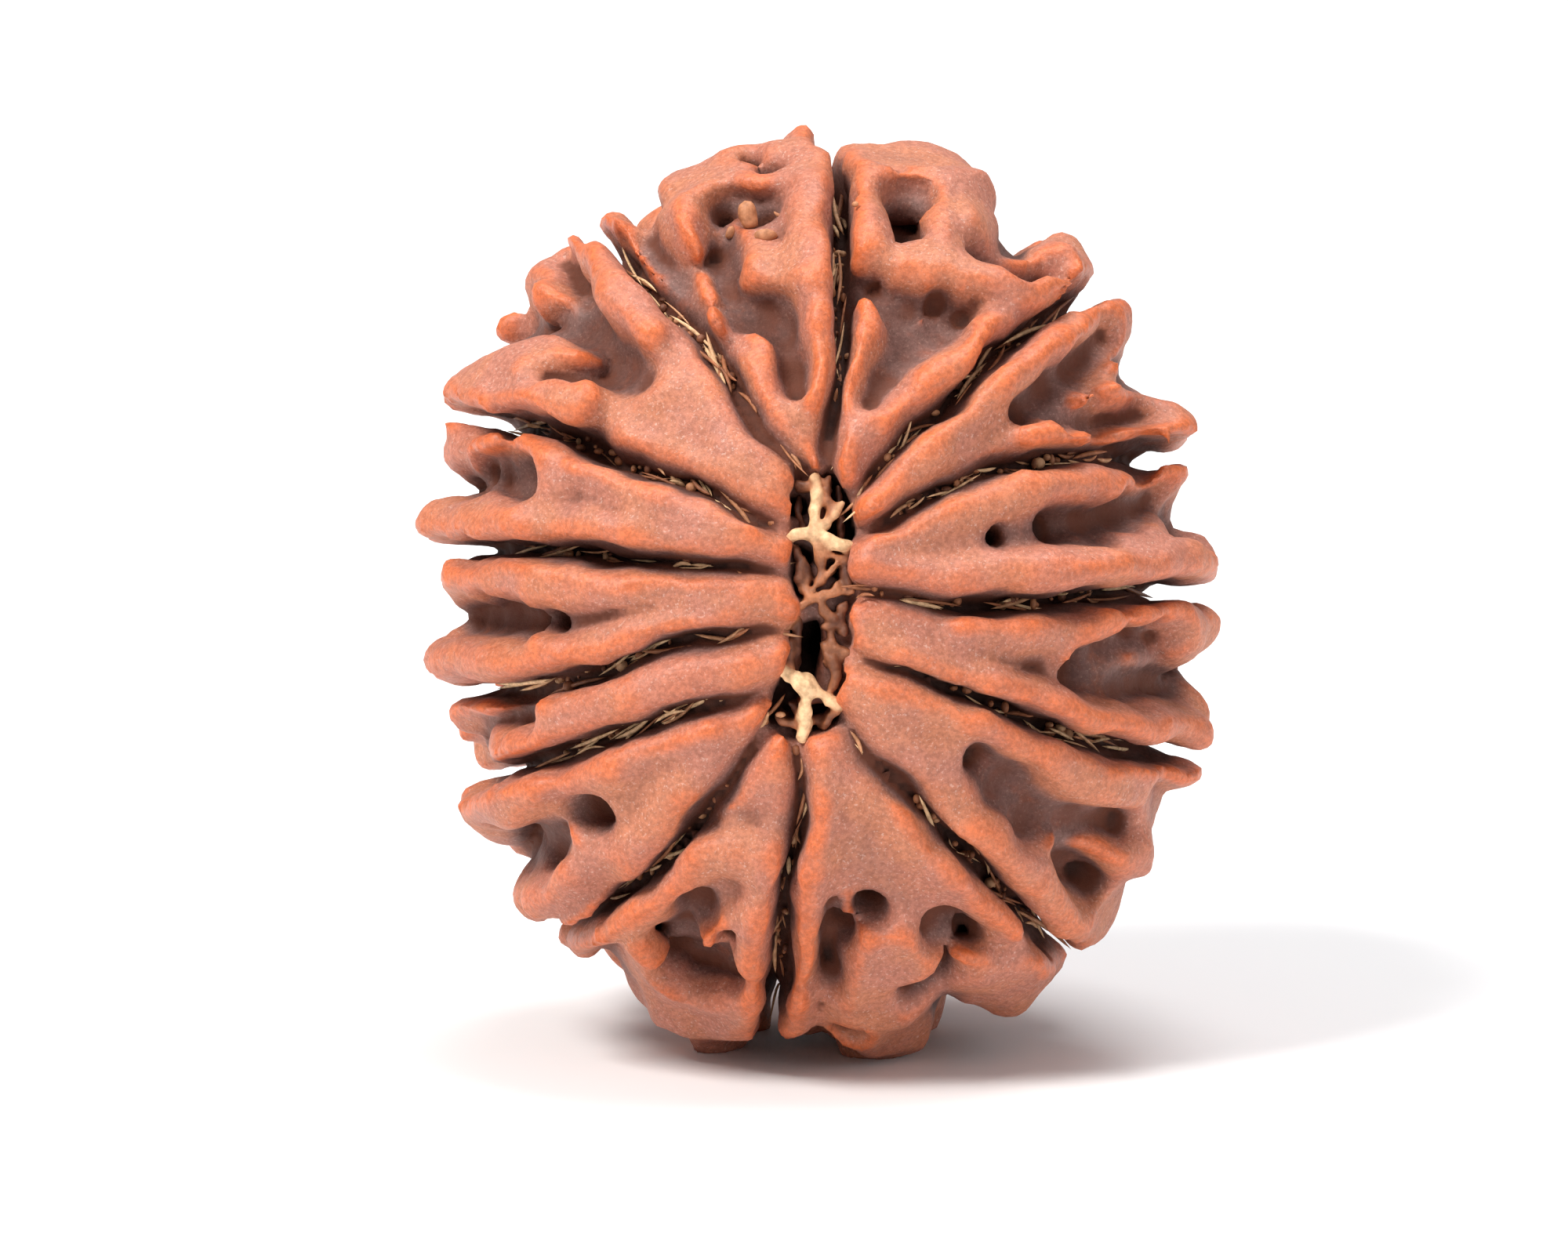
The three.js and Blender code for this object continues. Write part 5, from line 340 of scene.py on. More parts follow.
# Valleys between the fingers of a face: height of the bottom at the start and end,
# half width at the start and end, and the points [x, z]
valleys = [
    [0.7, 0.8, 0.3, 0.2, [[-2.5, 8.4], [-2.0, 7.5], [-1.05, 7.2], [-0.8, 6.2], [-0.75, 5.5]]],
    [1.0, 0.9, 0.35, 0.25, [[-4.7, 9.8], [-3.9, 8.7], [-3.2, 7.7]]],
    [1.3, 0.9, 0.2, 0.3, [[-2.75, 10.4], [-2.6, 9.6], [-2.4, 9.0]]],
    [0.9, 1.1, 0.45, 0.2, [[3.3, 7.3], [2.4, 6.7], [1.9, 5.9], [1.5, 5.2]]],
    [1.1, 0.9, 0.3, 0.35, [[1.3, 8.4], [2.0, 7.9], [2.4, 7.2]]],
    [0.9, 0.8, 0.25, 0.3, [[4.0, 8.9], [4.9, 8.5], [6.1, 8.5]]],
    [0.9, 1.1, 0.4, 0.3, [[-7.3, 7.6], [-6.4, 7.3], [-5.5, 6.5], [-4.9, 5.9]]],
    [1.2, 0.8, 0.25, 0.3, [[-7.1, 9.3], [-6.4, 8.2], [-6.1, 7.4]]],
    [1.6, 1.1, 0.15, 0.25, [[-7.4, 5.9], [-6.2, 6.0]]],
    [1.2, 1.1, 0.35, 0.35, [[-9.1, 3.5], [-8.3, 3.2], [-7.6, 3.1]]],
    [1.2, 1.1, 0.3, 0.2, [[-9.5, -0.6], [-8.5, -0.6], [-7.5, -0.8]]],
    [1.0, 0.9, 0.2, 0.2, [[-9.2, -3.5], [-8.2, -3.3], [-7.2, -3.1]]],
    [1.0, 1.2, 0.4, 0.25, [[-8.3, -6.7], [-7.4, -7.0], [-6.9, -6.4]]],
    [0.8, 1.3, 0.35, 0.2, [[-5.8, -5.8], [-6.6, -5.9]]],
    [1.1, 1.0, 0.3, 0.35, [[-3.2, -8.2], [-3.8, -9.2], [-3.4, -10.1], [-2.6, -10.0]]],
    [1.3, 1.0, 0.1, 0.2, [[0.4, -8.3], [0.3, -9.0], [0.1, -10.0]]],
    [1.2, 1.2, 0.2, 0.2, [[3.0, -8.9], [3.7, -8.8]]],
    [1.2, 1.2, 0.3, 0.3, [[3.4, -9.9], [2.6, -10.4]]],
    [0.8, 0.9, 0.3, 0.6, [[4.1, -4.5], [5.0, -5.2], [5.7, -5.9]]],
    [0.9, 1.1, 0.4, 0.25, [[5.8, -6.0], [6.9, -6.1], [8.0, -6.3]]],
    [1.1, 0.9, 0.25, 0.35, [[6.4, -6.9], [7.0, -7.7]]],
    [0.7, 1.1, 0.35, 0.25, [[6.7, -2.0], [7.8, -1.5], [9.0, -1.3]]],
    [0.8, 1.2, 0.25, 0.3, [[6.9, -2.3], [8.2, -2.5], [9.8, -2.4]]],
    [1.0, 1.0, 0.2, 0.35, [[6.2, 1.8], [7.2, 2.0], [8.2, 2.4], [9.2, 2.6]]],
    [0.8, 1.1, 0.3, 0.35, [[5.3, 4.9], [6.2, 5.6], [6.9, 6.2], [7.9, 7.2]]],
    [0.9, 1.1, 0.25, 0.3, [[6.3, 4.7], [7.4, 4.8], [8.8, 5.0]]],
]

# Pits and hollows of the front: x, z, radius, height of the bottom over the core
pits = [
    [-0.3, -0.9, 0.26, -1.4], [-0.3, -1.5, 0.3, -1.5], [-0.38, -2.0, 0.26, -1.4],
    [0.5, 1.85, 0.26, -0.8], [-0.5, 2.4, 0.24, -0.8], [-0.45, 1.1, 0.2, -0.7],
    [0.45, 0.75, 0.2, -0.7], [0.0, -3.1, 0.28, -0.8], [-1.0, -2.85, 0.22, -0.3],
    [0.35, 2.8, 0.2, -0.6], [-0.6, 0.15, 0.18, -0.5], [-1.95, 10.5, 0.42, 1.3],
    [-1.3, 10.65, 0.34, 0.6], [-1.75, 11.05, 0.26, 0.9], [-2.45, 10.0, 0.28, 0.6],
    [-1.5, 10.2, 0.3, 0.9], [-1.45, 7.6, 0.42, 0.5], [-2.4, 7.9, 0.34, 0.8], [-1.0, 7.6, 0.26, 0.9],
    [-2.3, 8.9, 0.16, 1.0], [2.15, 9.85, 0.5, 0.2], [5.6, 8.15, 0.3, 0.6], [2.0, 11.65, 0.18, 2.0],
    [2.5, 7.8, 0.28, 0.8], [3.2, 7.8, 0.26, 0.8], [3.9, 7.5, 0.26, 0.9], [6.2, 5.6, 0.45, 0.7],
    [5.3, 4.85, 0.22, 0.7], [7.3, 5.4, 0.2, 1.2], [4.45, 1.5, 0.3, 0.3], [5.9, 1.7, 0.34, 0.4],
    [6.6, 1.95, 0.3, 1.0], [6.6, -2.05, 0.46, 0.3], [8.5, -1.0, 0.32, 0.8], [4.05, -4.5, 0.34, 0.3],
    [7.0, -7.7, 0.3, 0.7], [1.3, -7.95, 0.38, 0.3], [0.6, -8.6, 0.3, 0.6], [3.4, -8.9, 0.36, 1.2],
    [4.0, -8.85, 0.18, 0.9], [0.8, -10.9, 0.4, 0.7], [-3.3, -8.25, 0.5, 0.7],
    [-3.9, -9.6, 0.3, 0.6], [-3.5, -11.1, 0.38, 0.9], [-2.3, -8.8, 0.2, 0.9],
    [-2.9, -10.0, 0.3, 1.1], [-5.8, -5.8, 0.52, 0.4], [-6.45, -0.65, 0.3, 0.5],
    [-7.2, -0.8, 0.2, 0.8], [-7.75, 3.0, 0.48, 0.8], [-8.9, 3.3, 0.26, 0.9],
    [-6.5, 7.45, 0.45, 0.7], [-5.6, 6.2, 0.36, 1.0],
]

# Lobes below the rim that the bead stands on: points [x, y, z, half width]
feet = [
    [[1.4, 0.3, -10.6, 0.8], [1.4, 0.15, -12.5, 0.68]],
    [[-2.9, 1.0, -10.2, 0.9], [-2.9, 1.0, -12.4, 0.6]],
    [[-1.8, 3.3, -9.3, 1.3], [-1.8, 3.9, -11.6, 0.95]],
    [[2.4, 3.3, -9.3, 1.3], [2.4, 3.9, -11.6, 0.95]],
]

# The shape of each kind of relief; lengths in mm
plate = {
    "lip": 1.3, "rimLip": 0.75, "rimFrom": 0.3,      # height of a face's edges over the core
    "dip": 0.2, "dipFrom": 0.36, "dipTo": 0.7,
    "lipFrom": 0.45, "lipWidth": 1.1,
    "reach": 8.2, "mouthHalf": 2.6,
}
grooveCut = {
    "bottom": 0.8, "rimBottom": 0.3, "deepFrom": 0.1, "deepTo": 0.5, "leastHalf": 0.1, "height": 4.0,
    "flare": 0.03, "blend": 0.3, "shoulder": 0.3, "shoulderWidth": 0.55, "pad": 2.9,
}
grooveSway = {"most": 0.35, "waveX": 3.1, "shiftX": 4, "waveZ": 2.3, "shiftZ": 5}     # on the back
lobeShape = {
    "inner": 1.5, "outFrom": 0.25, "grow": 0.12, "edge": 1.15, "back": 1.8, "backSoft": 1.2,
    "blend": 0.3, "dish": 0.3, "dishFrom": 0.4, "dishTo": 1.15,
}
ridgeShape = {"blend": 0.6, "flare": 0.25, "root": 0.3, "tip": 0.35, "beforeTip": 0.7, "footRoot": 0.4}
backShape = {
    "lip": [1.5, 2.1, 0.42, 0.5],           # height at the start and end, half width at the start and end
    "branch": [1.9, 2.4, 0.5, 0.4],
    "lipAt": (0.2, 0.8), "lipFrom": 0.06, "lipTo": 0.97,
    "branchFrom": 0.45, "branchSpan": 0.5, "branchTurn": (0.25, 0.7),
    "pitOut": (0.5, 0.95), "pitAcross": (0.38, 0.62), "pitRadius": (0.28, 0.5), "pitBottom": (0.2, 0.6),
}
toothShape = {
    "across": (0.22, 0.5, 0.78), "behindRim": (1.6, 4.6), "rise": (1.3, 1.9), "lean": (-0.4, 0.9),
    "footHalf": 0.75, "footRise": 0.5, "footDown": 0.9, "tipHalf": 0.45, "tipDown": 0.4,
}
pitShape = {"blend": 0.35, "open": 1.3, "reach": 2.5, "pad": 1.5}
valleyShape = {"depth": 3.0, "flare": 0.3, "blend": 0.55}
swell = {                     # slow swellings of the sides and back; waves along x, y and z, and a phase
    "depth": 0.3, "fromY": -6.0, "toY": -1.0,
    "waves": [[1.5, 0, 0.8, 1.0], [-0.5, 1.3, 0, 0.4], [-0.7, 0, 1.9, 2.0], [0, 1.7, 0.6, 1.1]],
}
mouth = {"floor": 0.3, "grow": -0.16, "soft": 0.4, "blend": 0.3}
channel = {
    "x": -0.25, "z": -1.2, "halfX": 0.3, "halfZ": 0.7,
    "bow": 1.0, "bowLength": 7.0, "blend": 0.15,
}
meshing = {
    "step": 0.212, "quickStep": 0.3, "low": (-11.8, -11.2, -13.7), "high": (11.8, 11.2, 13.7),
    "evenShare": 0.35, "evenTurns": 2, "turns": 4,      # smoothing and settling of the points
    "nearBall": 0.45, "wideBall": 1.3,                  # radius round a point for its share of solid
}


class Draw:
    # a small repeatable generator, so that the bead comes out the same each time
    def __init__(self, seed):
        self.state = seed

    def between(self, low, high):
        self.state = self.state * 16807 % 2147483647
        return low + (high - low) * self.state / 2147483647


def mix(a, b, t):
    return a + (b - a) * t


def smoothMin(a, b, k):
    h = np.maximum(k - np.abs(a - b), 0) / k
    return np.minimum(a, b) - h * h * k * 0.25


def smoothMax(a, b, k):
    return -smoothMin(-a, -b, k)


def smoothStep(low, high, v):
    t = np.clip((v - low) / (high - low), 0, 1)
    return t * t * (3 - 2 * t)


# The core: an egg with a squarish outline seen along the channel
def coreSum(x, z, grow=0.0):
    p = bead["squareness"]
    s = np.abs(x / (bead["coreX"] + grow)) ** p + np.abs(z / (bead["coreZ"] + grow)) ** p
    return s ** (2 / p)


def coreSlope(x, y, z):
    p = bead["squareness"]
    s = np.maximum(np.abs(x / bead["coreX"]) ** p + np.abs(z / bead["coreZ"]) ** p, 1e-9)
    k = s ** (2 / p - 1)
    gx = k * np.abs(x / bead["coreX"]) ** (p - 1) / bead["coreX"] * np.sign(x)
    gz = k * np.abs(z / bead["coreZ"]) ** (p - 1) / bead["coreZ"] * np.sign(z)
    return gx, y / bead["coreY"] ** 2, gz


def coreNormal(point):
    n = np.array([float(v) for v in coreSlope(*point)])
    return n / np.linalg.norm(n)


def coreHeight(x, y, z):
    rho = np.sqrt(coreSum(x, z) + (y / bead["coreY"]) ** 2)
    gx, gy, gz = coreSlope(x, y, z)
    slope = np.sqrt(gx * gx + gy * gy + gz * gz) / np.maximum(rho, 1e-6)
    return (rho - 1) / np.maximum(slope, 1e-6)


def seat(x, z, rise, side=-1):
    # the point over [x, z] at a height above the core, on the front (-1) or the back (1)
    g = float(coreSum(x, z, rise))
    if g >= 0.999:            # at the rim or past it
        f = 1.0 if rise > 0.5 else 1 / math.sqrt(g)
        return np.array([x * f, 0.0, z * f])
    return np.array([x, side * (bead["coreY"] + rise) * math.sqrt(1 - g), z])


def grooveLines(draw):
    # each groove is one line on the core, from the front mouth to the rim and to the back mouth;
    # out is 0 at a mouth and 1 at the rim
    sway = grooveSway
    lines = []
    for name, points in grooves.items():
        n = len(points)
        line = [(seat(x, z, 0.0), (i + 0.5) / n) for i, (x, z) in enumerate(points)]
        swayX = draw.between(-sway["most"], sway["most"])
        swayZ = draw.between(-sway["most"], sway["most"])
        back = []
        for i in range(n - 1, -1, -1):
            w = i / (n - 1)
            x = points[i][0] + swayX * math.sin(sway["waveX"] * w + swayZ * sway["shiftX"]) * w
            z = points[i][1] + swayZ * math.sin(sway["waveZ"] * w + swayX * sway["shiftZ"]) * w
            if float(coreSum(x, z)) < 0.985:
                back.append((seat(x, z, 0.0, 1), (i + 0.5) / n))
        if line[-1][0][1] < -0.6:       # stops short of the rim
            x, z = points[-1]
            f = 1 / math.sqrt(float(coreSum(x, z)))
            line.append((np.array([x * f, 0.0, z * f]), 1.0))
        narrow, wide = grooveWidths[name]
        least = grooveCut["leastHalf"]
        lines.append([(at, out, max(mix(narrow, wide, out), least)) for at, out in line + back])
    return lines


def resample(points, count):
    p = np.array(points, float)
    way = np.concatenate([[0], np.cumsum(np.hypot(*np.diff(p, axis=0).T))])
    s = np.linspace(0, way[-1], count)
    return np.stack([np.interp(s, way, p[:, 0]), np.interp(s, way, p[:, 1])], 1)


def between(a, b, across, out):
    # a point between two grooves: across is 0 on one and 1 on the other, out goes from mouth to rim
    count = 24
    i = min(max(out, 0), 1) * (count - 1)
    j = min(int(i), count - 2)
    pa, pb = resample(a, count), resample(b, count)
    p = mix(mix(pa[j], pa[j + 1], i - j), mix(pb[j], pb[j + 1], i - j), across)
    return [float(p[0]), float(p[1])]


def neighbours():
    lines = list(grooves.values())
    return [(line, lines[(i + 1) % len(lines)]) for i, line in enumerate(lines)]


def backRelief(draw):
    # ridges on the back: two lips a face, with side branches, and pits between them
    back = backShape
    rows = []
    holes = []
    for a, b in neighbours():
        for across in back["lipAt"]:
            line = [between(a, b, across, mix(back["lipFrom"], back["lipTo"], i / 8)) for i in range(9)]
            rows.append([*back["lip"], 0, line])
            branches = 3 if draw.between(0, 1) > 0.5 else 2
            for k in range(branches):
                out = back["branchFrom"] + back["branchSpan"] * (k + draw.between(0.1, 0.9)) / 3
                turn = (0.5 - across) * draw.between(*back["branchTurn"])
                branch = [between(a, b, across + turn * share, out + further)
                          for share, further in ((0, 0), (0.5, 0.08), (1, 0.2))]
                rows.append([*back["branch"], 1, branch])
        for k in range(2):
            out = draw.between(*back["pitOut"])
            x, z = between(a, b, draw.between(*back["pitAcross"]), out)
            holes.append([x, z, draw.between(*back["pitRadius"]), draw.between(*back["pitBottom"])])
    return rows, holes


def rimTeeth(draw):
    # teeth just behind the rim
    tooth = toothShape
    teeth = []
    for lineA, lineB in neighbours():
        a, b = lineA[-1], lineB[-1]
        for across in tooth["across"]:
            x, z = mix(a[0], b[0], across), mix(a[1], b[1], across)
            f = 1 / math.sqrt(float(coreSum(x, z)))
            x, z = x * f, z * f
            y = draw.between(*tooth["behindRim"])
            rise = draw.between(*tooth["rise"])
            shrink = math.sqrt(max(1 - (y / bead["coreY"]) ** 2, 0.2))
            n = coreNormal((x, 0.001, z))
            foot = np.array([x * shrink, y, z * shrink])
            tip = np.array([x * shrink, y + draw.between(*tooth["lean"]), z * shrink])
            teeth.append([(foot + n * tooth["footRise"], tooth["footHalf"], tooth["footDown"]),
                          (tip + n * rise, tooth["tipHalf"], tooth["tipDown"])])
    return teeth


def ridgeChain(row, side=-1):
    # a ridge row as balls seated over the core: place, half width, and how far it is drawn inwards
    top0, top1, r0, r1, free, points = row
    last = len(points) - 1
    chain = []
    for i, (x, z) in enumerate(points):
        t = i / last
        r = mix(r0, r1, t)
        top = mix(top0, top1, t)
        down = top - r + ridgeShape["root"]
        if free and i == last:
            down = ridgeShape["tip"]
        elif free and i == last - 1:
            down *= ridgeShape["beforeTip"]
        chain.append((seat(x, z, top - r, side), r, down))
    return chain


def valleyChain(row):
    # a valley row as balls that are drawn outwards
    bottom0, bottom1, r0, r1, points = row
    chain = []
    for i, (x, z) in enumerate(points):
        t = i / (len(points) - 1)
        r = mix(r0, r1, t)
        chain.append((seat(x, z, mix(bottom0, bottom1, t) + r), r, valleyShape["depth"]))
    return chain


class Grid:
    # a block of evenly spaced points that holds a field
    def __init__(self, step, low, high):
        self.step = step
        self.low = np.array(low)
        counts = [int(math.ceil((h - l) / step)) + 1 for l, h in zip(low, high)]
        self.shape = tuple(counts)
        self.axes = [(l + step * np.arange(n)).astype(np.float32) for l, n in zip(low, counts)]

    def near(self, a, b, pad):
        low = np.minimum(a, b) - pad
        high = np.maximum(a, b) + pad
        start = [max(0, int((v - o) / self.step)) for v, o in zip(low, self.low)]
        stop = [min(n, int((v - o) / self.step) + 2) for v, o, n in zip(high, self.low, self.shape)]
        return tuple(slice(p, q) for p, q in zip(start, stop))

    def coords(self, part=(slice(None),) * 3):
        x, y, z = (axis[s] for axis, s in zip(self.axes, part))
        return x[:, None, None], y[None, :, None], z[None, None, :]


def fin(grid, part, a, b, sign, flare):
    # distance to a round cone between two balls, drawn out along the core's normal (1 outwards, -1 inwards)
    x, y, z = grid.coords(part)
    along = b[0] - a[0]
    length2 = float(along @ along) or 1e-9
    n = coreNormal((a[0] + b[0]) / 2)
    qx, qy, qz = x - a[0][0], y - a[0][1], z - a[0][2]
    t = np.clip((qx * along[0] + qy * along[1] + qz * along[2]) / length2, 0, 1)
    qx, qy, qz = qx - t * along[0], qy - t * along[1], qz - t * along[2]
    q2 = qx * qx + qy * qy + qz * qz
    rise = qx * n[0] + qy * n[1] + qz * n[2]
    c = np.clip(sign * rise, 0, mix(a[2], b[2], t))
    far = np.sqrt(np.maximum(q2 - 2 * c * sign * rise + c * c, 0))
    return far - mix(a[1], b[1], t) - flare * c, np.sqrt(np.maximum(q2 - rise * rise, 0))


def fins(grid, chain, sign, flare, pad=2.6):
    # the stretches of a chain, each with the part of the grid round it
    for a, b in zip(chain, chain[1:]):
        part = grid.near(a[0], b[0], pad)
        yield (part, *fin(grid, part, a, b, sign, flare))


def rounded(outline):
    # cuts the corners of a closed outline twice
    for _ in range(2):
        ahead = np.roll(outline, -1, axis=0)
        outline = np.stack([mix(outline, ahead, 0.25), mix(outline, ahead, 0.75)], 1).reshape(-1, 2)
    return outline


def outlineDistance(x, z, outline):
    # distance to a closed outline in the plane of x and z, negative inside it
    near = np.full(np.broadcast(x, z).shape, 1e9)
    inside = np.zeros(near.shape, bool)
    for (ax, az), (bx, bz) in zip(outline, np.roll(outline, -1, axis=0)):
        ex, ez = bx - ax, bz - az
        t = np.clip(((x - ax) * ex + (z - az) * ez) / (ex * ex + ez * ez), 0, 1)
        near = np.minimum(near, (x - ax - t * ex) ** 2 + (z - az - t * ez) ** 2)
        if az != bz:
            inside ^= ((az > z) != (bz > z)) & (x < ax + ex * (z - az) / ez)
    return np.where(inside, -1, 1) * np.sqrt(near)


def lobeBlock(grid, outline, yLow, yHigh):
    # the part of the grid round an outline, and the distance to the outline there
    outline = rounded(np.array(outline, float))
    low = np.array([outline[:, 0].min(), yLow, outline[:, 1].min()])
    high = np.array([outline[:, 0].max(), yHigh, outline[:, 1].max()])
    part = grid.near(low, high, 1.2)
    x, y, z = grid.coords(part)
    return part, outlineDistance(x, z, outline), y


def swelling(x, y, z):
    # how far the surface sinks or swells at a point
    a, b, c, d = [np.sin(kx * x + ky * y + kz * z + phase) for kx, ky, kz, phase in swell["waves"]]
    return swell["depth"] * smoothStep(swell["fromY"], swell["toY"], y) * (a * b + c * d) / 2


def grooveField(grid, draw):
    # distance to the slots of the grooves, and how far aside of the nearest slot
    cut = np.full(grid.shape, 9.0, np.float32)
    aside = np.full(grid.shape, 9.0, np.float32)
    for line in grooveLines(draw):
        chain = []
        for at, out, r in line:
            deep = smoothStep(grooveCut["deepFrom"], grooveCut["deepTo"], out)
            rise = mix(grooveCut["bottom"], grooveCut["rimBottom"], deep) + r
            chain.append((at + coreNormal(at) * rise, r, grooveCut["height"]))
        for part, distance, beside in fins(grid, chain, 1, grooveCut["flare"], grooveCut["pad"]):
            cut[part] = np.minimum(cut[part], distance)
            aside[part] = np.minimum(aside[part], beside)
    return cut, aside


def addLobes(grid, field, height, out):
    look = lobeShape
    for rimTop, soft, outline in lobes:
        part, beside, y = lobeBlock(grid, outline, meshing["low"][1], look["back"])
        outwards = smoothStep(look["outFrom"], 1.0, out[part[0], :, part[2]])
        top = mix(look["inner"], rimTop, outwards)
        top = top - look["dish"] * outwards * smoothStep(look["dishFrom"], look["dishTo"], -beside)
        lobe = smoothMax(beside - look["grow"], height[part] - top, soft * look["edge"])
        lobe = smoothMax(lobe, y - look["back"], look["backSoft"])
        field[part] = smoothMin(field[part], lobe, look["blend"])


def addRidges(grid, field, rows, draw):
    chains = [[(np.array(p[:3]), p[3], ridgeShape["footRoot"]) for p in foot] for foot in feet]
    chains += [ridgeChain(row) for row in ridges]
    chains += [ridgeChain(row, 1) for row in rows]
    chains += rimTeeth(draw)
    for chain in chains:
        for part, distance, _ in fins(grid, chain, -1, ridgeShape["flare"]):
            field[part] = smoothMin(field[part], distance, ridgeShape["blend"])


def pressValleys(grid, field):
    for row in valleys:
        for part, distance, _ in fins(grid, valleyChain(row), 1, valleyShape["flare"]):
            field[part] = smoothMax(field[part], -distance, valleyShape["blend"])


def pressPits(grid, field, holes):
    for dents, side in ((pits, -1), (holes, 1)):
        for x, z, r, bottom in dents:
            inner = seat(x, z, bottom + r, side)
            outer = inner + coreNormal(inner) * pitShape["reach"]
            chain = [(inner, r, 0), (outer, r * pitShape["open"], 0)]
            for part, distance, _ in fins(grid, chain, 1, 0, r + pitShape["pad"]):
                field[part] = smoothMax(field[part], -distance, pitShape["blend"])


def openChannel(grid, field, height):
    # the uneven mouth at the front, and the bent channel right through
    part, beside, _ = lobeBlock(grid, mouthRim, meshing["low"][1], meshing["high"][1])
    beside = np.broadcast_to(beside - mouth["grow"], height[part].shape)
    opening = smoothMax(beside, mouth["floor"] - height[part], mouth["soft"])
    field[part] = smoothMax(field[part], -opening, mouth["blend"])
    x, y, z = grid.coords()
    bend = channel["bow"] * np.maximum(1 - (y / channel["bowLength"]) ** 2, 0)
    across = np.hypot((x - channel["x"] - bend) / channel["halfX"], (z - channel["z"]) / channel["halfZ"])
    return smoothMax(field, channel["halfX"] * (1 - across), channel["blend"])


def buildField(step):
    # the whole bead: negative inside it, positive outside, in mm
    draw = Draw(bead["seed"])
    grid = Grid(step, meshing["low"], meshing["high"])
    cut, aside = grooveField(grid, draw)
    x, y, z = grid.coords()
    height = coreHeight(x, y, z).astype(np.float32)
    out = np.clip(np.hypot(x, np.maximum(np.abs(z) - plate["mouthHalf"], 0)) / plate["reach"], 0, 1)
    lip = mix(plate["lip"], plate["rimLip"], smoothStep(plate["rimFrom"], 1.0, out))
    dip = plate["dip"] * smoothStep(plate["dipFrom"], plate["dipTo"], out)
    field = height - lip + dip * smoothStep(plate["lipFrom"], plate["lipWidth"], aside)
    addLobes(grid, field, height, out)
    rows, holes = backRelief(draw)
    addRidges(grid, field, rows, draw)
    field += swelling(x, y, z)
    pressValleys(grid, field)
    pressPits(grid, field, holes)
    field += grooveCut["shoulder"] * (1 - smoothStep(0, grooveCut["shoulderWidth"], aside))
    field = smoothMax(field, -cut, grooveCut["blend"])
    field = openChannel(grid, field, height)
    return grid, field.astype(np.float32), height


def corners(t):
    # the eight corners of a cell, each with its weight for a place t in the cell
    for i in (0, 1):
        for j in (0, 1):
            for k in (0, 1):
                weight = (t[:, 0] if i else 1 - t[:, 0]) * (t[:, 1] if j else 1 - t[:, 1])
                yield i, j, k, weight * (t[:, 2] if k else 1 - t[:, 2])


def sample(grid, values, points):
    at = (points - grid.low) / grid.step
    cell = np.clip(at.astype(int), 0, np.array(grid.shape) - 2)
    result = np.zeros(len(points))
    for i, j, k, weight in corners(at - cell):
        result += weight * values[cell[:, 0] + i, cell[:, 1] + j, cell[:, 2] + k]
    return result


def slopeAt(grid, values, points):
    probe = grid.step * 0.5
    steps = np.eye(3) * probe
    return np.stack([(sample(grid, values, points + d) - sample(grid, values, points - d)) / (2 * probe)
                     for d in steps], 1)


def surfaceNet(grid, field):
    # one point in each cell that the surface crosses, one quad round each crossed edge of the grid
    inside = field < 0
    cells = np.array(grid.shape) - 1
    total = int(np.prod(cells))
    sums = np.zeros((total, 3))
    tally = np.zeros(total)
    quads = []
    for axis in range(3):
        u, v = (axis + 1) % 3, (axis + 2) % 3
        lower = [slice(None)] * 3
        upper = [slice(None)] * 3
        lower[axis], upper[axis] = slice(0, -1), slice(1, None)
        node = np.argwhere(inside[tuple(lower)] != inside[tuple(upper)])
        step = np.eye(3, dtype=int)[axis]
        f0 = field[tuple(node.T)]
        f1 = field[tuple((node + step).T)]
        point = node + (f0 / (f0 - f1))[:, None] * step
        around = []
        for du, dv in ((0, 0), (-1, 0), (-1, -1), (0, -1)):
            cell = node.copy()
            cell[:, u] += du
            cell[:, v] += dv
            key = (cell[:, 0] * cells[1] + cell[:, 1]) * cells[2] + cell[:, 2]
            for c in range(3):
                sums[:, c] += np.bincount(key, weights=point[:, c], minlength=total)
            tally += np.bincount(key, minlength=total)
            around.append(key)
        quad = np.stack(around, 1)
        solidBelow = inside[tuple(node.T)]
        quads.append(np.where(solidBelow[:, None], quad, quad[:, ::-1]))
    quads = np.concatenate(quads)
    used, quads = np.unique(quads, return_inverse=True)
    quads = quads.reshape(-1, 4)
    return sums[used] / tally[used, None] * grid.step + grid.low, quads


def largestPiece(points, quads):
    label = np.arange(len(points))
    while True:
        low = label[quads].min(axis=1)
        new = label.copy()
        for c in range(4):
            np.minimum.at(new, quads[:, c], low)
        new = np.minimum(new, new[new])
        if np.array_equal(new, label):
            break
        label = new
    keep = label == np.bincount(label).argmax()
    order = np.cumsum(keep) - 1
    return points[keep], order[quads[keep[quads[:, 0]]]]


def neighbourMean(values, quads):
    total = np.zeros_like(values)
    count = np.zeros(len(values))
    for a, b in ((0, 1), (1, 2), (2, 3), (3, 0)):
        for p, q in ((a, b), (b, a)):
            for c in range(values.shape[1]):
                total[:, c] += np.bincount(quads[:, p], weights=values[quads[:, q], c],
                                           minlength=len(values))
            count += np.bincount(quads[:, p], minlength=len(values))
    return total / count[:, None]


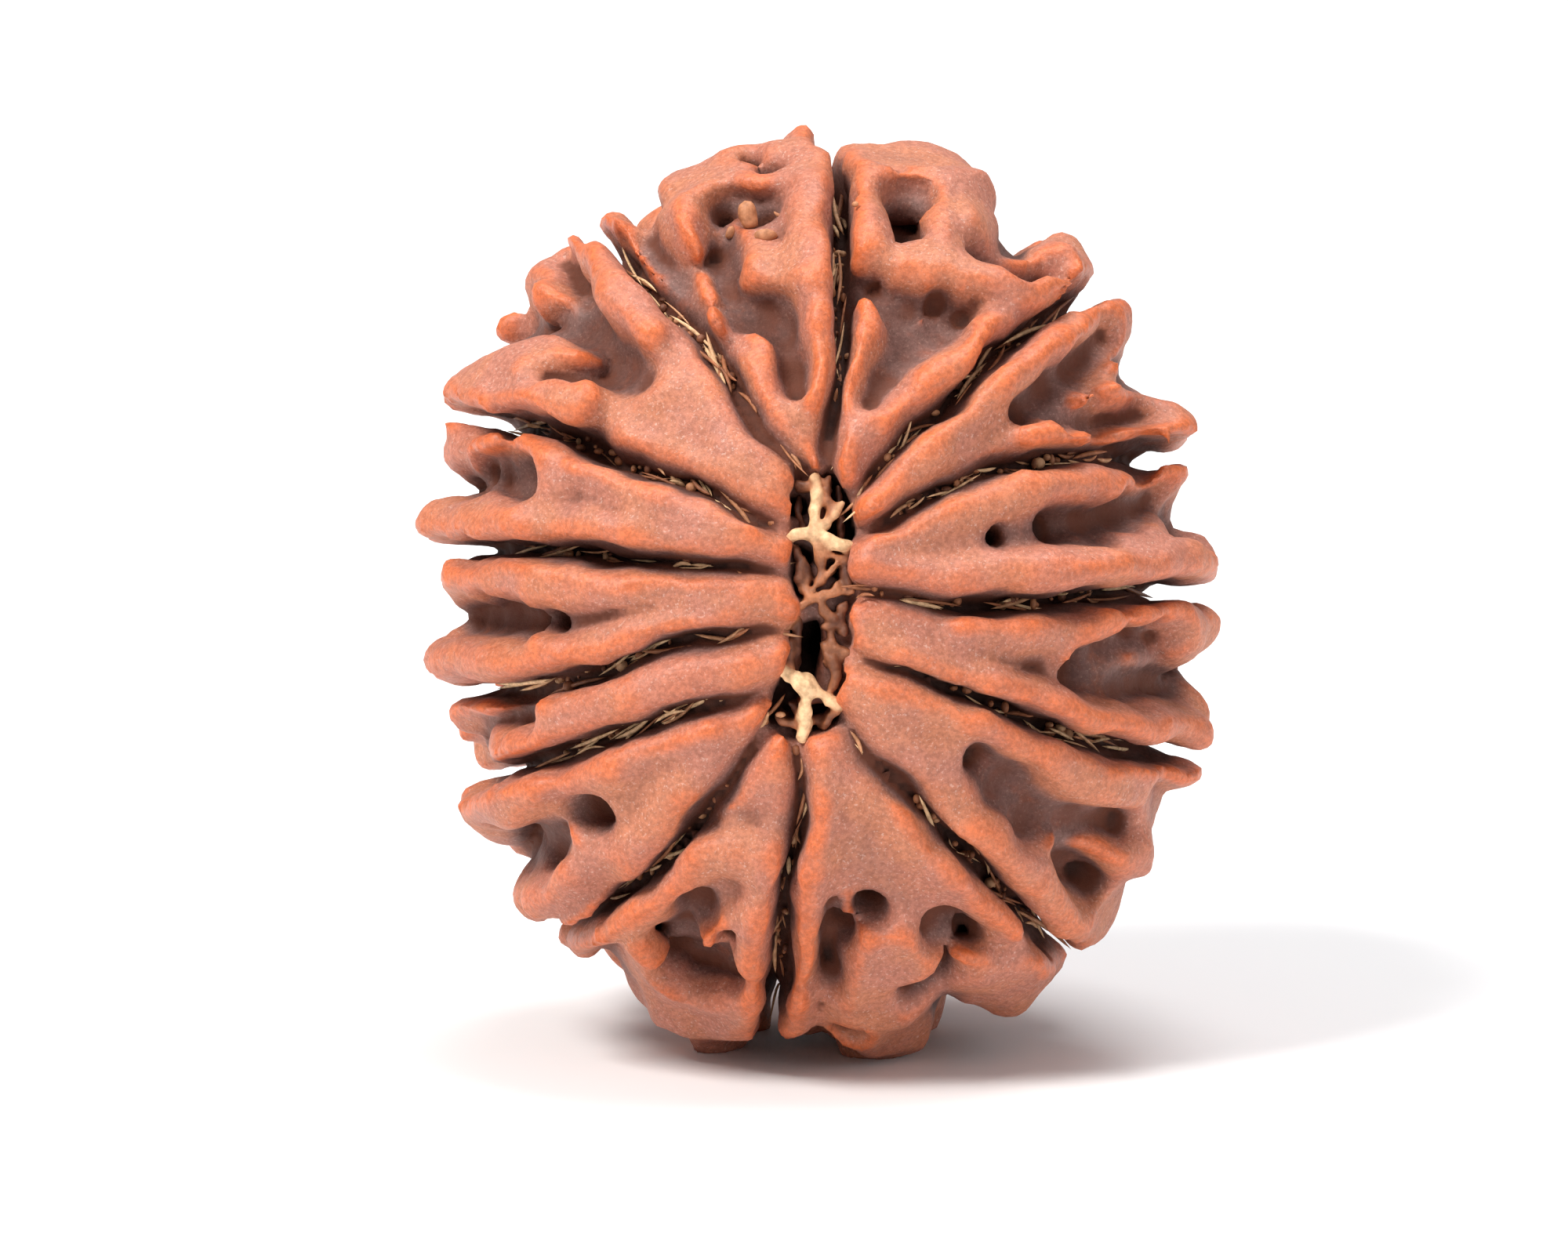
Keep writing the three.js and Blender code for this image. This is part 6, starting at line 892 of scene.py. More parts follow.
def softNoise(points, cell, seed):
    # smooth noise between -1 and 1 with one bump to a cell, in mm
    sizes = np.array([37, 41, 43])
    lattice = np.random.RandomState(seed).uniform(-1, 1, sizes)
    at = points / cell + 500.0
    base = np.floor(at).astype(int)
    t = at - base
    result = np.zeros(len(points))
    for i, j, k, weight in corners(t * t * (3 - 2 * t)):
        node = (base + (i, j, k)) % sizes
        result += weight * lattice[tuple(node.T)]
    return result


def threeNoise(points, cell, seeds):
    # a noise for each of x, y and z
    return np.stack([softNoise(points, cell, seed) for seed in seeds], 1)


def solidShare(grid, field, radius):
    # share of a small ball round each grid point that is solid: under a half on a ridge, over it in a hollow
    solid = np.clip(0.5 - field / grid.step, 0, 1).astype(np.float32)
    reach = max(1, int(round(radius / grid.step / 1.7)))
    for _ in range(3):
        for axis in range(3):
            padded = np.concatenate([np.zeros_like(np.take(solid, [0], axis)), np.cumsum(solid, axis)], axis)
            n = solid.shape[axis]
            high = np.minimum(np.arange(n) + reach + 1, n)
            low = np.maximum(np.arange(n) - reach, 0)
            solid = (np.take(padded, high, axis) - np.take(padded, low, axis)) / (2 * reach + 1)
    return solid


def standing(points):
    # from the bead's own frame in mm to the model's frame in metres
    lean = math.radians(bead["leanDegrees"])
    c, s = math.cos(lean), math.sin(lean)
    x, y, z = points[:, 0], points[:, 1], points[:, 2]
    stood = np.stack([x, y * c + z * s, z * c - y * s + bead["floorDepth"]], 1)
    stood[:, 2] = np.maximum(stood[:, 2], 0)
    return stood * mm


def makeMesh(name, points, faces, attributes=None):
    mesh = bpy.data.meshes.new(name)
    sides = faces.shape[1]
    mesh.vertices.add(len(points))
    mesh.vertices.foreach_set("co", points.astype(np.float32).ravel())
    mesh.loops.add(faces.size)
    mesh.loops.foreach_set("vertex_index", faces.astype(np.int32).ravel())
    mesh.polygons.add(len(faces))
    mesh.polygons.foreach_set("loop_start", np.arange(0, faces.size, sides, dtype=np.int32))
    mesh.polygons.foreach_set("use_smooth", np.ones(len(faces), bool))
    mesh.update(calc_edges=True)
    for key, values in (attributes or {}).items():
        data = mesh.attributes.new(key, "FLOAT", "POINT").data
        data.foreach_set("value", values.astype(np.float32))
    mesh.validate()
    piece = bpy.data.objects.new(name, mesh)
    bpy.context.scene.collection.objects.link(piece)
    return piece


# Camera
camera = bpy.data.objects.new("camera", bpy.data.cameras.new("camera"))
bpy.context.scene.collection.objects.link(camera)
bpy.context.scene.camera = camera


def placeCamera():
    tilt = math.radians(view["elevationDegrees"])
    away = Vector((0, -math.cos(tilt), math.sin(tilt)))
    up = Vector((0, math.sin(tilt), math.cos(tilt)))
    middle = Vector((0, 0, bead["floorDepth"])) * mm
    aim = middle + Vector((1, 0, 0)) * view["aimRight"] * mm + up * view["aimUp"] * mm
    camera.location = aim + away * view["distance"]
    camera.rotation_euler = (-away).to_track_quat("-Z", "Y").to_euler()
    camera.data.sensor_width = view["sensor"]
    camera.data.lens = view["sensor"] * view["distance"] / (view["frameWidth"] * mm)
    camera.data.clip_start = view["clipStart"]
    camera.data.clip_end = view["clipEnd"]


placeCamera()
print("camera placed")


# Shader helpers
def newMaterial(name):
    material = bpy.data.materials.new(name)
    material.use_nodes = True
    tree = material.node_tree
    return material, tree, tree.nodes["Principled BSDF"]


def addNode(tree, kind, inputs=None, **settings):
    node = tree.nodes.new(kind)
    for key, value in settings.items():
        setattr(node, key, value)
    for key, value in (inputs or {}).items():
        if isinstance(value, bpy.types.NodeSocket):
            tree.links.new(value, node.inputs[key])
        else:
            node.inputs[key].default_value = value
    return node


def tint(red, green, blue):
    # an sRGB colour as Blender's linear one
    def linear(v):
        v /= 255
        return v / 12.92 if v <= 0.04045 else ((v + 0.055) / 1.055) ** 2.4
    return (linear(red), linear(green), linear(blue), 1)


def blendColors(tree, factor, colorA, colorB, mode="MIX"):
    node = addNode(tree, "ShaderNodeMix", data_type="RGBA", blend_type=mode)
    for key, value in ((0, factor), (6, colorA), (7, colorB)):
        if isinstance(value, bpy.types.NodeSocket):
            tree.links.new(value, node.inputs[key])
        else:
            node.inputs[key].default_value = value
    return node.outputs[2]


def ramp(tree, value, low, high, outLow=0.0, outHigh=1.0):
    node = addNode(tree, "ShaderNodeMapRange", {"Value": value, "From Min": low, "From Max": high,
                                                "To Min": outLow, "To Max": outHigh})
    node.interpolation_type = "SMOOTHSTEP"
    return node.outputs[0]


def attribute(tree, name):
    return addNode(tree, "ShaderNodeAttribute", attribute_name=name).outputs["Fac"]


def noise(tree, place, scale, detail=2.0, roughness=0.55):
    return addNode(tree, "ShaderNodeTexNoise", {"Vector": place, "Scale": scale, "Detail": detail,
                                                "Roughness": roughness}).outputs["Fac"]


def millimetres(tree):
    place = addNode(tree, "ShaderNodeTexCoord").outputs["Object"]
    scale = (1 / mm, 1 / mm, 1 / mm)
    return addNode(tree, "ShaderNodeMapping", {"Vector": place, "Scale": scale}).outputs["Vector"]


def multiply(tree, a, b):
    return addNode(tree, "ShaderNodeMath", {0: a, 1: b}, operation="MULTIPLY").outputs[0]


def addBump(tree, shader, height, strength, depth):
    # depth in mm
    bump = addNode(tree, "ShaderNodeBump", {"Height": height, "Strength": strength, "Distance": depth * mm})
    tree.links.new(bump.outputs["Normal"], shader.inputs["Normal"])


# Stone
stoneLook = {
    "face": tint(176, 112, 92),
    "faceWarm": tint(184, 116, 86),
    # orange on the ridges: partly the ridges' own warmer tone, partly a painted highlight
    "crest": tint(206, 106, 60),
    "hollow": tint(152, 116, 108),
    # dark brown in the tight creases: partly the grooves' own darker floor, partly painted shade
    "cleftToneAndShade": tint(100, 53, 35),
    # near black painted shade for the tightest creases and for the surface below the core, in the pits, the
    # mouth and the channel
    "paintedShadeDark": tint(52, 26, 17),
    "dustAndHighlightTint": tint(222, 186, 172),     # pale dusty bloom on the flats, partly real bloom and partly a painted highlight
    "speckDark": (0.78, 0.74, 0.71, 1), "speckPale": (1.16, 1.16, 1.16, 1),
    "hollowShade": (0.4, 0.31, 0.28, 1),
    "broad": (0.5, 3), "mottle": (1.7, 4), "grain": (6.5, 3, 0.75), "dustAndHighlightNoise": (11.0, 2, 0.6),
    "bumps": (3.0, 3),       # noises: scale, detail and roughness
    # where each tone starts and is full, and its least and most
    "warmPatch": (0.38, 0.62), "hollowAt": (0.44, 0.6), "hollowPatch": (0.2, 0.55),
    "crestAt": (0.46, 0.3), "crestPatch": (0.32, 0.58, 0.6), "speckAt": (0.32, 0.68),
    "dustAndHighlightAt": (0.56, 0.74, 0, 0.6), "dustAndHighlightFlat": (0.34, 0.46, 0.2, 0.75), "shadeAt": (0.4, 0.68),
    "cleftToneAndShadeAt": (0.56, 0.68), "paintedShadeAt": (0.66, 0.82), "paintedShadeDeepAt": (0.45, -0.15), "glossAt": (0.3, 0.7),
    "roughness": 0.52, "crestGloss": 0.08, "cleftRough": 0.3, "specular": 0.42,
    "grainDepth": 0.035,     # mm
    "bumpStrength": 0.8,
}

# Geometry finer than the field: how far it moves the points and the size of its cells, in mm
relief = {
    "warp": 0.16, "warpCell": 2.0, "warpSeeds": (1, 2, 3),
    "twist": 0.08, "twistCell": 0.8, "twistSeeds": (11, 12, 13),
    "lump": 0.09, "lumpCell": 1.0, "lumpSeed": 4,
    "fine": 0.045, "fineCell": 0.45, "fineSeed": 5,
}


def stoneMaterial():
    # crest and wide tell ridges (low) from hollows (high), rise is the height over the core
    look = stoneLook
    material, tree, shader = newMaterial("stone")
    place = millimetres(tree)
    crest = attribute(tree, "shareNear")
    wide = attribute(tree, "shareWide")
    rise = attribute(tree, "rise")
    broad = noise(tree, place, *look["broad"])
    mottle = noise(tree, place, *look["mottle"])
    grain = noise(tree, place, *look["grain"])
    dustAndHighlightNoise = noise(tree, place, *look["dustAndHighlightNoise"])
    color = blendColors(tree, ramp(tree, broad, *look["warmPatch"]), look["face"], look["faceWarm"])
    isHollow = multiply(tree, ramp(tree, wide, *look["hollowAt"]), ramp(tree, mottle, *look["hollowPatch"]))
    color = blendColors(tree, isHollow, color, look["hollow"])
    # orange on the ridges in patches: partly their own tone, partly a painted highlight
    crestToneAndHighlight = multiply(tree, ramp(tree, crest, *look["crestAt"]), ramp(tree, mottle, *look["crestPatch"]))
    color = blendColors(tree, crestToneAndHighlight, color, look["crest"])
    speckle = blendColors(tree, ramp(tree, grain, *look["speckAt"]), look["speckDark"], look["speckPale"])
    color = blendColors(tree, 1.0, color, speckle, "MULTIPLY")
    # pale dusty bloom on the flats and in hollows: partly real bloom, partly a painted highlight that
    # brightens them
    dustAndHighlightMask = multiply(tree, ramp(tree, dustAndHighlightNoise, *look["dustAndHighlightAt"]), ramp(tree, crest, *look["dustAndHighlightFlat"]))
    color = blendColors(tree, dustAndHighlightMask, color, look["dustAndHighlightTint"])
    shade = blendColors(tree, ramp(tree, wide, *look["shadeAt"]), (1, 1, 1, 1), look["hollowShade"])
    color = blendColors(tree, 1.0, color, shade, "MULTIPLY")
    # dark brown in the tight creases: partly the grooves' own darker floor, partly painted shade
    color = blendColors(tree, ramp(tree, crest, *look["cleftToneAndShadeAt"]), color, look["cleftToneAndShade"])
    # painted shade: near black in the tightest creases and wherever the surface sinks below the core
    color = blendColors(tree, ramp(tree, crest, *look["paintedShadeAt"]), color, look["paintedShadeDark"])
    color = blendColors(tree, ramp(tree, rise, *look["paintedShadeDeepAt"]), color, look["paintedShadeDark"])
    tree.links.new(color, shader.inputs["Base Color"])
    glossy, dull = look["roughness"] - look["crestGloss"], look["roughness"] + look["cleftRough"]
    tree.links.new(ramp(tree, crest, *look["glossAt"], glossy, dull), shader.inputs["Roughness"])
    shader.inputs["Specular IOR Level"].default_value = look["specular"]
    bumps = noise(tree, place, *look["bumps"])
    tone = addNode(tree, "ShaderNodeMath", {0: grain, 1: bumps}, operation="ADD").outputs[0]
    addBump(tree, shader, tone, look["bumpStrength"], look["grainDepth"])
    return material


def settle(grid, field, points, quads):
    # evens the points out and brings them back onto the surface of the field
    for turn in range(meshing["turns"]):
        if turn < meshing["evenTurns"]:
            points = mix(points, neighbourMean(points, quads), meshing["evenShare"])
        slope = slopeAt(grid, field, points)
        steep = np.maximum(np.linalg.norm(slope, axis=1), 0.3)
        back = np.clip(-sample(grid, field, points) / steep, -0.5 * grid.step, 0.5 * grid.step)
        points = points + slope / steep[:, None] * back[:, None]
    return points


def roughened(points, normal):
    # an uneven warp, then lumps along the normal
    moved = relief["warp"] * threeNoise(points, relief["warpCell"], relief["warpSeeds"])
    moved += relief["twist"] * threeNoise(points, relief["twistCell"], relief["twistSeeds"])
    points = points + moved
    lumps = relief["lump"] * softNoise(points, relief["lumpCell"], relief["lumpSeed"])
    lumps += relief["fine"] * softNoise(points, relief["fineCell"], relief["fineSeed"])
    return points + normal * lumps[:, None]


def makeStone():
    grid, field, height = buildField(meshing["step"])
    print("field built", field.shape)
    points, quads = largestPiece(*surfaceNet(grid, field))
    points = settle(grid, field, points, quads)
    slope = slopeAt(grid, field, points)
    normal = slope / np.maximum(np.linalg.norm(slope, axis=1), 1e-6)[:, None]
    traits = {
        "shareNear": sample(grid, solidShare(grid, field, meshing["nearBall"]), points),
        "shareWide": sample(grid, solidShare(grid, field, meshing["wideBall"]), points),
        "rise": sample(grid, height, points),
    }
    stone = makeMesh("stone", standing(roughened(points, normal)), quads, traits)
    stone.data.materials.append(stoneMaterial())
    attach(stone, "root")
    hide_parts("bead_stone")
    print("stone made", len(quads), "quads")


# Fibres in the grooves, strands across the mouth and grains in the pits
fibreLook = {
    "pale": tint(236, 196, 150), "tan": tint(176, 112, 74), "brown": tint(84, 42, 25), "roughness": 0.6,
    "tanAt": (0.0, 0.5), "paleAt": (0.45, 1.0),
    "mottle": (5, 3), "mottleAt": (0.3, 0.7),
    "mottleDark": (0.7, 0.66, 0.62, 1), "mottlePale": (1.15, 1.15, 1.15, 1),
    "bumps": (9, 3), "bumpStrength": 0.6, "bumpDepth": 0.03,
    "perGroove": 22, "steps": 40, "along": (2, 37),     # steps of a groove, and those that have fibres
    "low": 0.35, "high": 0.95, "endRise": (-0.2, 0.35), "spread": 0.22,
    "length": (0.35, 1.7), "half": (0.025, 0.075), "turn": 0.4, "sway": 0.14, "tone": (0.25, 1.0),
    "perTuft": 3, "tuftSpread": 0.1, "tuftTone": (0.8, 1.0),
    "crumbs": 30, "crumbSteps": 60, "crumbAlong": (3, 46),
    "crumbRise": (0.35, 0.8), "crumbHalf": (0.05, 0.15), "crumbSpread": 0.2, "crumbSides": 6,
    "crumbStretch": (0.6, 1.3), "crumbTone": (0.1, 0.75), "grainSides": 12,
    "grainTone": 0.55, "grainRough": 0.05, "grainCell": 0.25, "grainSeeds": (7, 8, 9),
    "seed": 31,
}

# places [x, z] of the tufts that show most
tufts = [
    [2.1, 4.1], [1.7, 3.5], [-2.8, 6.2], [-2.9, 6.5], [-3.0, 5.9], [-3.7, 7.0], [-4.4, 7.8],
    [-5.3, -3.45], [-5.0, -3.6], [-4.1, -3.3], [-6.3, -4.2], [-3.1, 2.85], [-3.9, 3.0], [-3.3, 0.8],
    [2.8, -0.3], [3.8, 2.95], [2.1, -1.95], [2.4, -2.15],
]

# strands: paleness, half width, height over the core, and points [x, z]
strands = [
    [0.95, 0.15, 0.85, [[-0.15, 3.3], [-0.1, 2.6], [-0.15, 1.7]]],
    [0.85, 0.12, 0.8, [[0.6, 2.45], [0.15, 1.95], [-0.15, 1.7]]],
    [1.0, 0.17, 0.9, [[0.85, 1.35], [0.3, 1.45], [-0.2, 1.6]]],
    [0.9, 0.14, 0.85, [[-0.8, 1.6], [-0.4, 1.7], [-0.1, 1.6]]],
    [0.75, 0.12, 0.8, [[0.05, 1.0], [-0.1, 1.3], [-0.15, 1.6]]],
    [1.0, 0.17, 0.95, [[-1.2, -1.95], [-0.7, -2.25], [-0.35, -2.5]]],
    [0.95, 0.17, 0.9, [[-0.45, -3.9], [-0.4, -3.1], [-0.35, -2.5]]],
    [0.9, 0.13, 0.85, [[0.6, -3.05], [0.15, -2.8], [-0.35, -2.5]]],
    [1.0, 0.24, 0.8, [[-0.5, -2.35], [-0.25, -2.6]]],
    [0.6, 0.13, 0.75, [[-0.65, -0.35], [-0.25, -0.1], [0.3, 0.05], [0.9, 0.1]]],
    [0.55, 0.11, 0.7, [[-0.45, 0.25], [-0.25, -0.1]]],
    [0.5, 0.1, 0.7, [[0.5, 0.35], [0.3, 0.05]]],
    [0.5, 0.12, 0.7, [[-0.55, -0.55], [-1.0, -0.95]]],
    [0.3, 0.14, 0.6, [[-0.5, 0.95], [-0.3, 0.5], [-0.5, 0.15]]],
    [0.7, 0.08, 0.8, [[-0.2, 0.2], [0.2, 0.55], [0.6, 0.95]]],
    [0.45, 0.12, 0.6, [[0.1, -0.9], [0.5, -0.75]]],
    [0.45, 0.14, 0.6, [[0.05, -1.3], [0.45, -1.5], [0.9, -1.6]]],
    [0.4, 0.12, 0.55, [[0.15, -1.8], [0.6, -1.7]]],
    [0.5, 0.13, 0.65, [[0.5, -2.05], [0.3, -2.7]]],
    [0.35, 0.13, 0.5, [[0.25, -0.6], [0.3, -1.2], [0.2, -1.9]]],
    [0.2, 0.16, 0.4, [[-0.6, -0.5], [-0.65, -1.5], [-0.75, -2.1]]],
    [0.25, 0.15, 0.4, [[-0.6, 2.6], [-0.5, 1.6]]],
    [0.2, 0.15, 0.4, [[0.5, 2.9], [0.55, 1.9], [0.6, 1.0]]],
    [0.3, 0.14, 0.5, [[-0.9, -2.9], [-0.5, -3.3], [0.1, -3.5]]],
    [0.3, 0.16, 0.75, [[-0.6, 3.0], [-0.35, 2.9], [-0.1, 3.1]]],
    [0.35, 0.14, 0.8, [[0.2, 3.2], [0.15, 2.7], [0.3, 2.3]]],
    [0.3, 0.15, 0.7, [[-0.7, 1.3], [-0.5, 0.8], [-0.6, 0.4]]],
    [0.25, 0.14, 0.7, [[0.75, 1.2], [0.65, 0.6], [0.8, 0.2]]],
    [0.3, 0.13, 0.75, [[-0.1, 1.2], [0.05, 0.8], [0.0, 0.3]]],
    [0.25, 0.15, 0.65, [[0.7, -0.2], [0.5, -0.6], [0.65, -1.1]]],
    [0.3, 0.14, 0.7, [[0.2, -1.6], [0.45, -1.9], [0.4, -2.4]]],
    [0.4, 0.12, 0.75, [[0.0, -0.1], [0.1, -0.5], [0.35, -0.6]]],
    [0.25, 0.16, 0.6, [[-0.8, -1.2], [-0.85, -1.7], [-0.9, -2.1]]],
    [0.35, 0.14, 0.75, [[0.1, -3.6], [0.35, -3.3], [0.5, -2.9]]],
    [0.3, 0.13, 0.7, [[-1.2, -3.3], [-0.9, -3.5], [-0.5, -3.5]]],
    [0.5, 0.1, 0.8, [[-0.15, 1.6], [0.25, 1.1], [0.7, 0.9]]],
]

# how the strands join; lengths in mm
webLook = {
    "step": 0.06, "quickStep": 0.09, "low": (-1.9, -9.7, -4.5), "high": (1.8, -6.3, 4.5),
    "blend": 0.13, "flare": 0.04, "floor": 0.05, "wallBelow": 0.72, "shallow": 0.12,
    "pad": 0.4, "toneReach": 0.1, "toneSoft": 0.06, "toneCurve": 1.5, "evenTurns": 2, "evenShare": 0.5,
    "slim": 0.5, "paleSlim": 0.72, "shift": 0.05, "swell": (0.7, 1.3), "paleAbove": 0.8,
    "rough": 0.05, "roughCell": 0.3, "roughSeeds": (21, 22, 23),
    "mottle": 0.1, "mottleCell": 0.35, "mottleSeed": 24,
}

# grains: x, z, height over the core, half sizes along x, y and z, turn in degrees
grains = [
    [-1.95, 10.45, 1.7, 0.25, 0.25, 0.42, -12], [-1.48, 9.85, 1.8, 0.3, 0.22, 0.19, 8],
    [-1.0, 10.35, 1.6, 0.3, 0.07, 0.06, 40], [-2.45, 9.95, 1.3, 0.14, 0.12, 0.2, 20],
    [-1.6, 10.9, 1.5, 0.14, 0.12, 0.12, 0], [0.95, 10.7, 2.55, 0.09, 0.07, 0.1, 0],
]


def tube(line, halves, sides=6):
    # points and faces of a bent tube that ends in two tips
    line = np.array(line, float)
    count = len(line)
    points = [line[0]]
    faces = []
    side = None
    for i in range(1, count - 1):
        way = line[i + 1] - line[i - 1]
        way /= np.linalg.norm(way)
        if side is None:
            side = np.cross(way, [0.31, 0.9, 0.3])
        side = side - way * (side @ way)
        side /= np.linalg.norm(side)
        other = np.cross(way, side)
        for k in range(sides):
            a = 2 * math.pi * k / sides
            points.append(line[i] + halves[i] * (math.cos(a) * side + math.sin(a) * other))
    points.append(line[-1])
    rings = count - 2
    for k in range(sides):
        n = (k + 1) % sides
        faces.append((0, 1 + n, 1 + k))
        for r in range(rings - 1):
            a = 1 + r * sides
            faces.append((a + k, a + n, a + sides + n))
            faces.append((a + k, a + sides + n, a + sides + k))
        a = 1 + (rings - 1) * sides
        faces.append((a + k, a + n, len(points) - 1))
    return np.array(points), np.array(faces)


def ball(radius, stretch, sides):
    # a round lump, longer or shorter along each axis
    heights = [-1 + i / 4 for i in range(9)]
    points, faces = tube([[0, 0, h] for h in heights], [math.sqrt(1 - h * h) for h in heights], sides)
    return points * radius * np.array(stretch), faces


def gather(parts):
    # one mesh from many small parts, each with one tone or a tone for each point
    points, faces, tones = [], [], []
    start = 0
    for part, partFaces, tone in parts:
        points.append(part)
        faces.append(partFaces + start)
        tones.append(np.broadcast_to(tone, len(part)))
        start += len(part)
    return np.concatenate(points), np.concatenate(faces), np.concatenate(tones)


def bent(points, count):
    # a smooth line of count points through a few
    points = np.array(points, float)
    way = np.linspace(0, len(points) - 1, count)
    knots = np.arange(len(points))
    line = np.stack([np.interp(way, knots, points[:, c]) for c in range(3)], 1)
    for _ in range(3):
        line[1:-1] = (line[:-2] + 2 * line[1:-1] + line[2:]) / 4
    return line


def tapered(half, count):
    # thick in the middle, thin at both ends
    return [half * math.sin(math.pi * min(max(i / (count - 1), 0.12), 0.88)) ** 0.6 for i in range(count)]


def fibreMaterial():
    look = fibreLook
    material, tree, shader = newMaterial("fibre")
    place = millimetres(tree)
    # tone runs from brown to pale; on the mouth strands it also carries painted shade that darkens them
    # deeper in the mouth
    tone = attribute(tree, "tone")
    color = blendColors(tree, ramp(tree, tone, *look["tanAt"]), look["brown"], look["tan"])
    color = blendColors(tree, ramp(tree, tone, *look["paleAt"]), color, look["pale"])
    speckle = ramp(tree, noise(tree, place, *look["mottle"]), *look["mottleAt"])
    mottle = blendColors(tree, speckle, look["mottleDark"], look["mottlePale"])
    color = blendColors(tree, 1.0, color, mottle, "MULTIPLY")
    tree.links.new(color, shader.inputs["Base Color"])
    shader.inputs["Roughness"].default_value = look["roughness"]
    addBump(tree, shader, noise(tree, place, *look["bumps"]), look["bumpStrength"], look["bumpDepth"])
    return material


def addPiece(name, parts, material):
    points, faces, tones = gather(parts)
    piece = makeMesh(name, standing(points), faces, {"tone": tones})
    piece.data.materials.append(material)
    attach(piece, "root")


def fibreAt(x, z, direction, draw):
    # one fibre lying in a groove at [x, z], roughly along the groove
    look = fibreLook
    length = draw.between(*look["length"])
    turn = draw.between(-1, 1) * look["turn"]
    c, s = math.cos(turn), math.sin(turn)
    dx, dz = direction[0] * c - direction[1] * s, direction[0] * s + direction[1] * c
    rise = draw.between(look["low"], look["high"])
    ends = [rise + draw.between(*look["endRise"]), rise, rise + draw.between(*look["endRise"])]
    sway = draw.between(-look["sway"], look["sway"])
    line = []
    for t, h in zip((-0.5, 0, 0.5), ends):
        aside = sway * (1 - abs(2 * t))
        line.append(seat(x + dx * length * t - dz * aside, z + dz * length * t + dx * aside, h))
    count = 7
    halves = tapered(draw.between(*look["half"]), count)
    return (*tube(bent(line, count), halves), draw.between(*look["tone"]))


def grooveFibres(draw):
    # fibres all along the grooves
    look = fibreLook
    parts = []
    for points in grooves.values():
        line = resample(points, look["steps"])
        for k in range(look["perGroove"]):
            at = int(draw.between(*look["along"]))
            direction = line[at + 1] - line[at]
            direction = direction / np.hypot(*direction)
            off = draw.between(-1, 1) * look["spread"]
            x, z = line[at][0] - direction[1] * off, line[at][1] + direction[0] * off
            parts.append(fibreAt(x, z, direction, draw))
    return parts


def grooveCrumbs(draw):
    look = fibreLook
    spread = look["crumbSpread"]
    parts = []
    for points in grooves.values():
        line = resample(points, look["crumbSteps"])
        for k in range(look["crumbs"]):
            x, z = line[int(draw.between(*look["crumbAlong"]))]
            x += draw.between(-spread, spread)
            z += draw.between(-spread, spread)
            at = seat(x, z, draw.between(*look["crumbRise"]))
            r = draw.between(*look["crumbHalf"])
            stretch = [draw.between(*look["crumbStretch"]) for c in range(3)]
            crumb, faces = ball(r, stretch, look["crumbSides"])
            parts.append((crumb + at, faces, draw.between(*look["crumbTone"])))
    return parts


def grooveTufts(draw):
    # pale fibres at the places that show most
    look = fibreLook
    spread = look["tuftSpread"]
    parts = []
    for x, z in tufts:
        away = np.array([x, z]) / math.hypot(x, z)
        for k in range(look["perTuft"]):
            atX = x + draw.between(-spread, spread)
            atZ = z + draw.between(-spread, spread)
            points, faces, _ = fibreAt(atX, atZ, away, draw)
            parts.append((points, faces, draw.between(*look["tuftTone"])))
    return parts


def pitGrains():
    look = fibreLook
    parts = []
    for x, z, rise, ax, ay, az, turn in grains:
        points, faces = ball(1, (ax, ay, az), look["grainSides"])
        a = math.radians(turn)
        c, s = math.cos(a), math.sin(a)
        turned = [points[:, 0] * c + points[:, 2] * s, points[:, 1], points[:, 2] * c - points[:, 0] * s]
        points = np.stack(turned, 1)
        points += look["grainRough"] * threeNoise(points + rise * 9, look["grainCell"], look["grainSeeds"])
        parts.append((points + seat(x, z, rise), faces, look["grainTone"]))
    return parts


def mouthWeb(draw):
    # the strands across the mouth, joined where they meet; brown ones stand on thin walls
    look = webLook
    grid = Grid(look["step"], look["low"], look["high"])
    field = np.full(grid.shape, 1.0, np.float32)
    weight = np.full(grid.shape, 1e-6, np.float32)
    tones = np.zeros(grid.shape, np.float32)
    for tone, half, rise, points in strands:
        line = bent([seat(x, z, rise) for x, z in points], 3 * len(points))
        brown = tone < look["wallBelow"]
        down = rise - look["floor"] if brown else look["shallow"]
        half *= look["slim"] if brown else look["paleSlim"]
        chain = []
        for p in line:
            shift = np.array([draw.between(-1, 1) for c in range(3)]) * look["shift"]
            chain.append((p + shift, half * draw.between(*look["swell"]), down))
        for part, distance, _ in fins(grid, chain, -1, look["flare"], down + look["pad"]):
            near = np.exp(-np.clip(distance + look["toneReach"], 0, 1) / look["toneSoft"])
            weight[part] += near
            tones[part] += near * tone
            field[part] = smoothMin(field[part], distance, look["blend"])
    points, quads = surfaceNet(grid, field)
    for _ in range(look["evenTurns"]):
        points = mix(points, neighbourMean(points, quads), look["evenShare"])
    tone = sample(grid, tones / weight, points)
    # painted shade: the strands darken the deeper they sink into the mouth, below paleAbove over the core
    sunkShade = np.clip((look["paleAbove"] - coreHeight(*points.T)) / look["paleAbove"], 0, 1)
    mottle = look["mottle"] * softNoise(points, look["mottleCell"], look["mottleSeed"])
    tone = np.clip(tone ** look["toneCurve"] * (1 - sunkShade) + mottle, 0, 1)
    points = points + look["rough"] * threeNoise(points, look["roughCell"], look["roughSeeds"])
    return points, quads, tone


def makeDebris():
    draw = Draw(fibreLook["seed"])
    material = fibreMaterial()
    addPiece("groove_fibres", grooveFibres(draw) + grooveCrumbs(draw) + grooveTufts(draw), material)
    addPiece("mouth_strands", [mouthWeb(draw)], material)
    addPiece("pit_grains", pitGrains(), material)
    print("fibres, strands and grains made")


makeStone()
makeDebris()


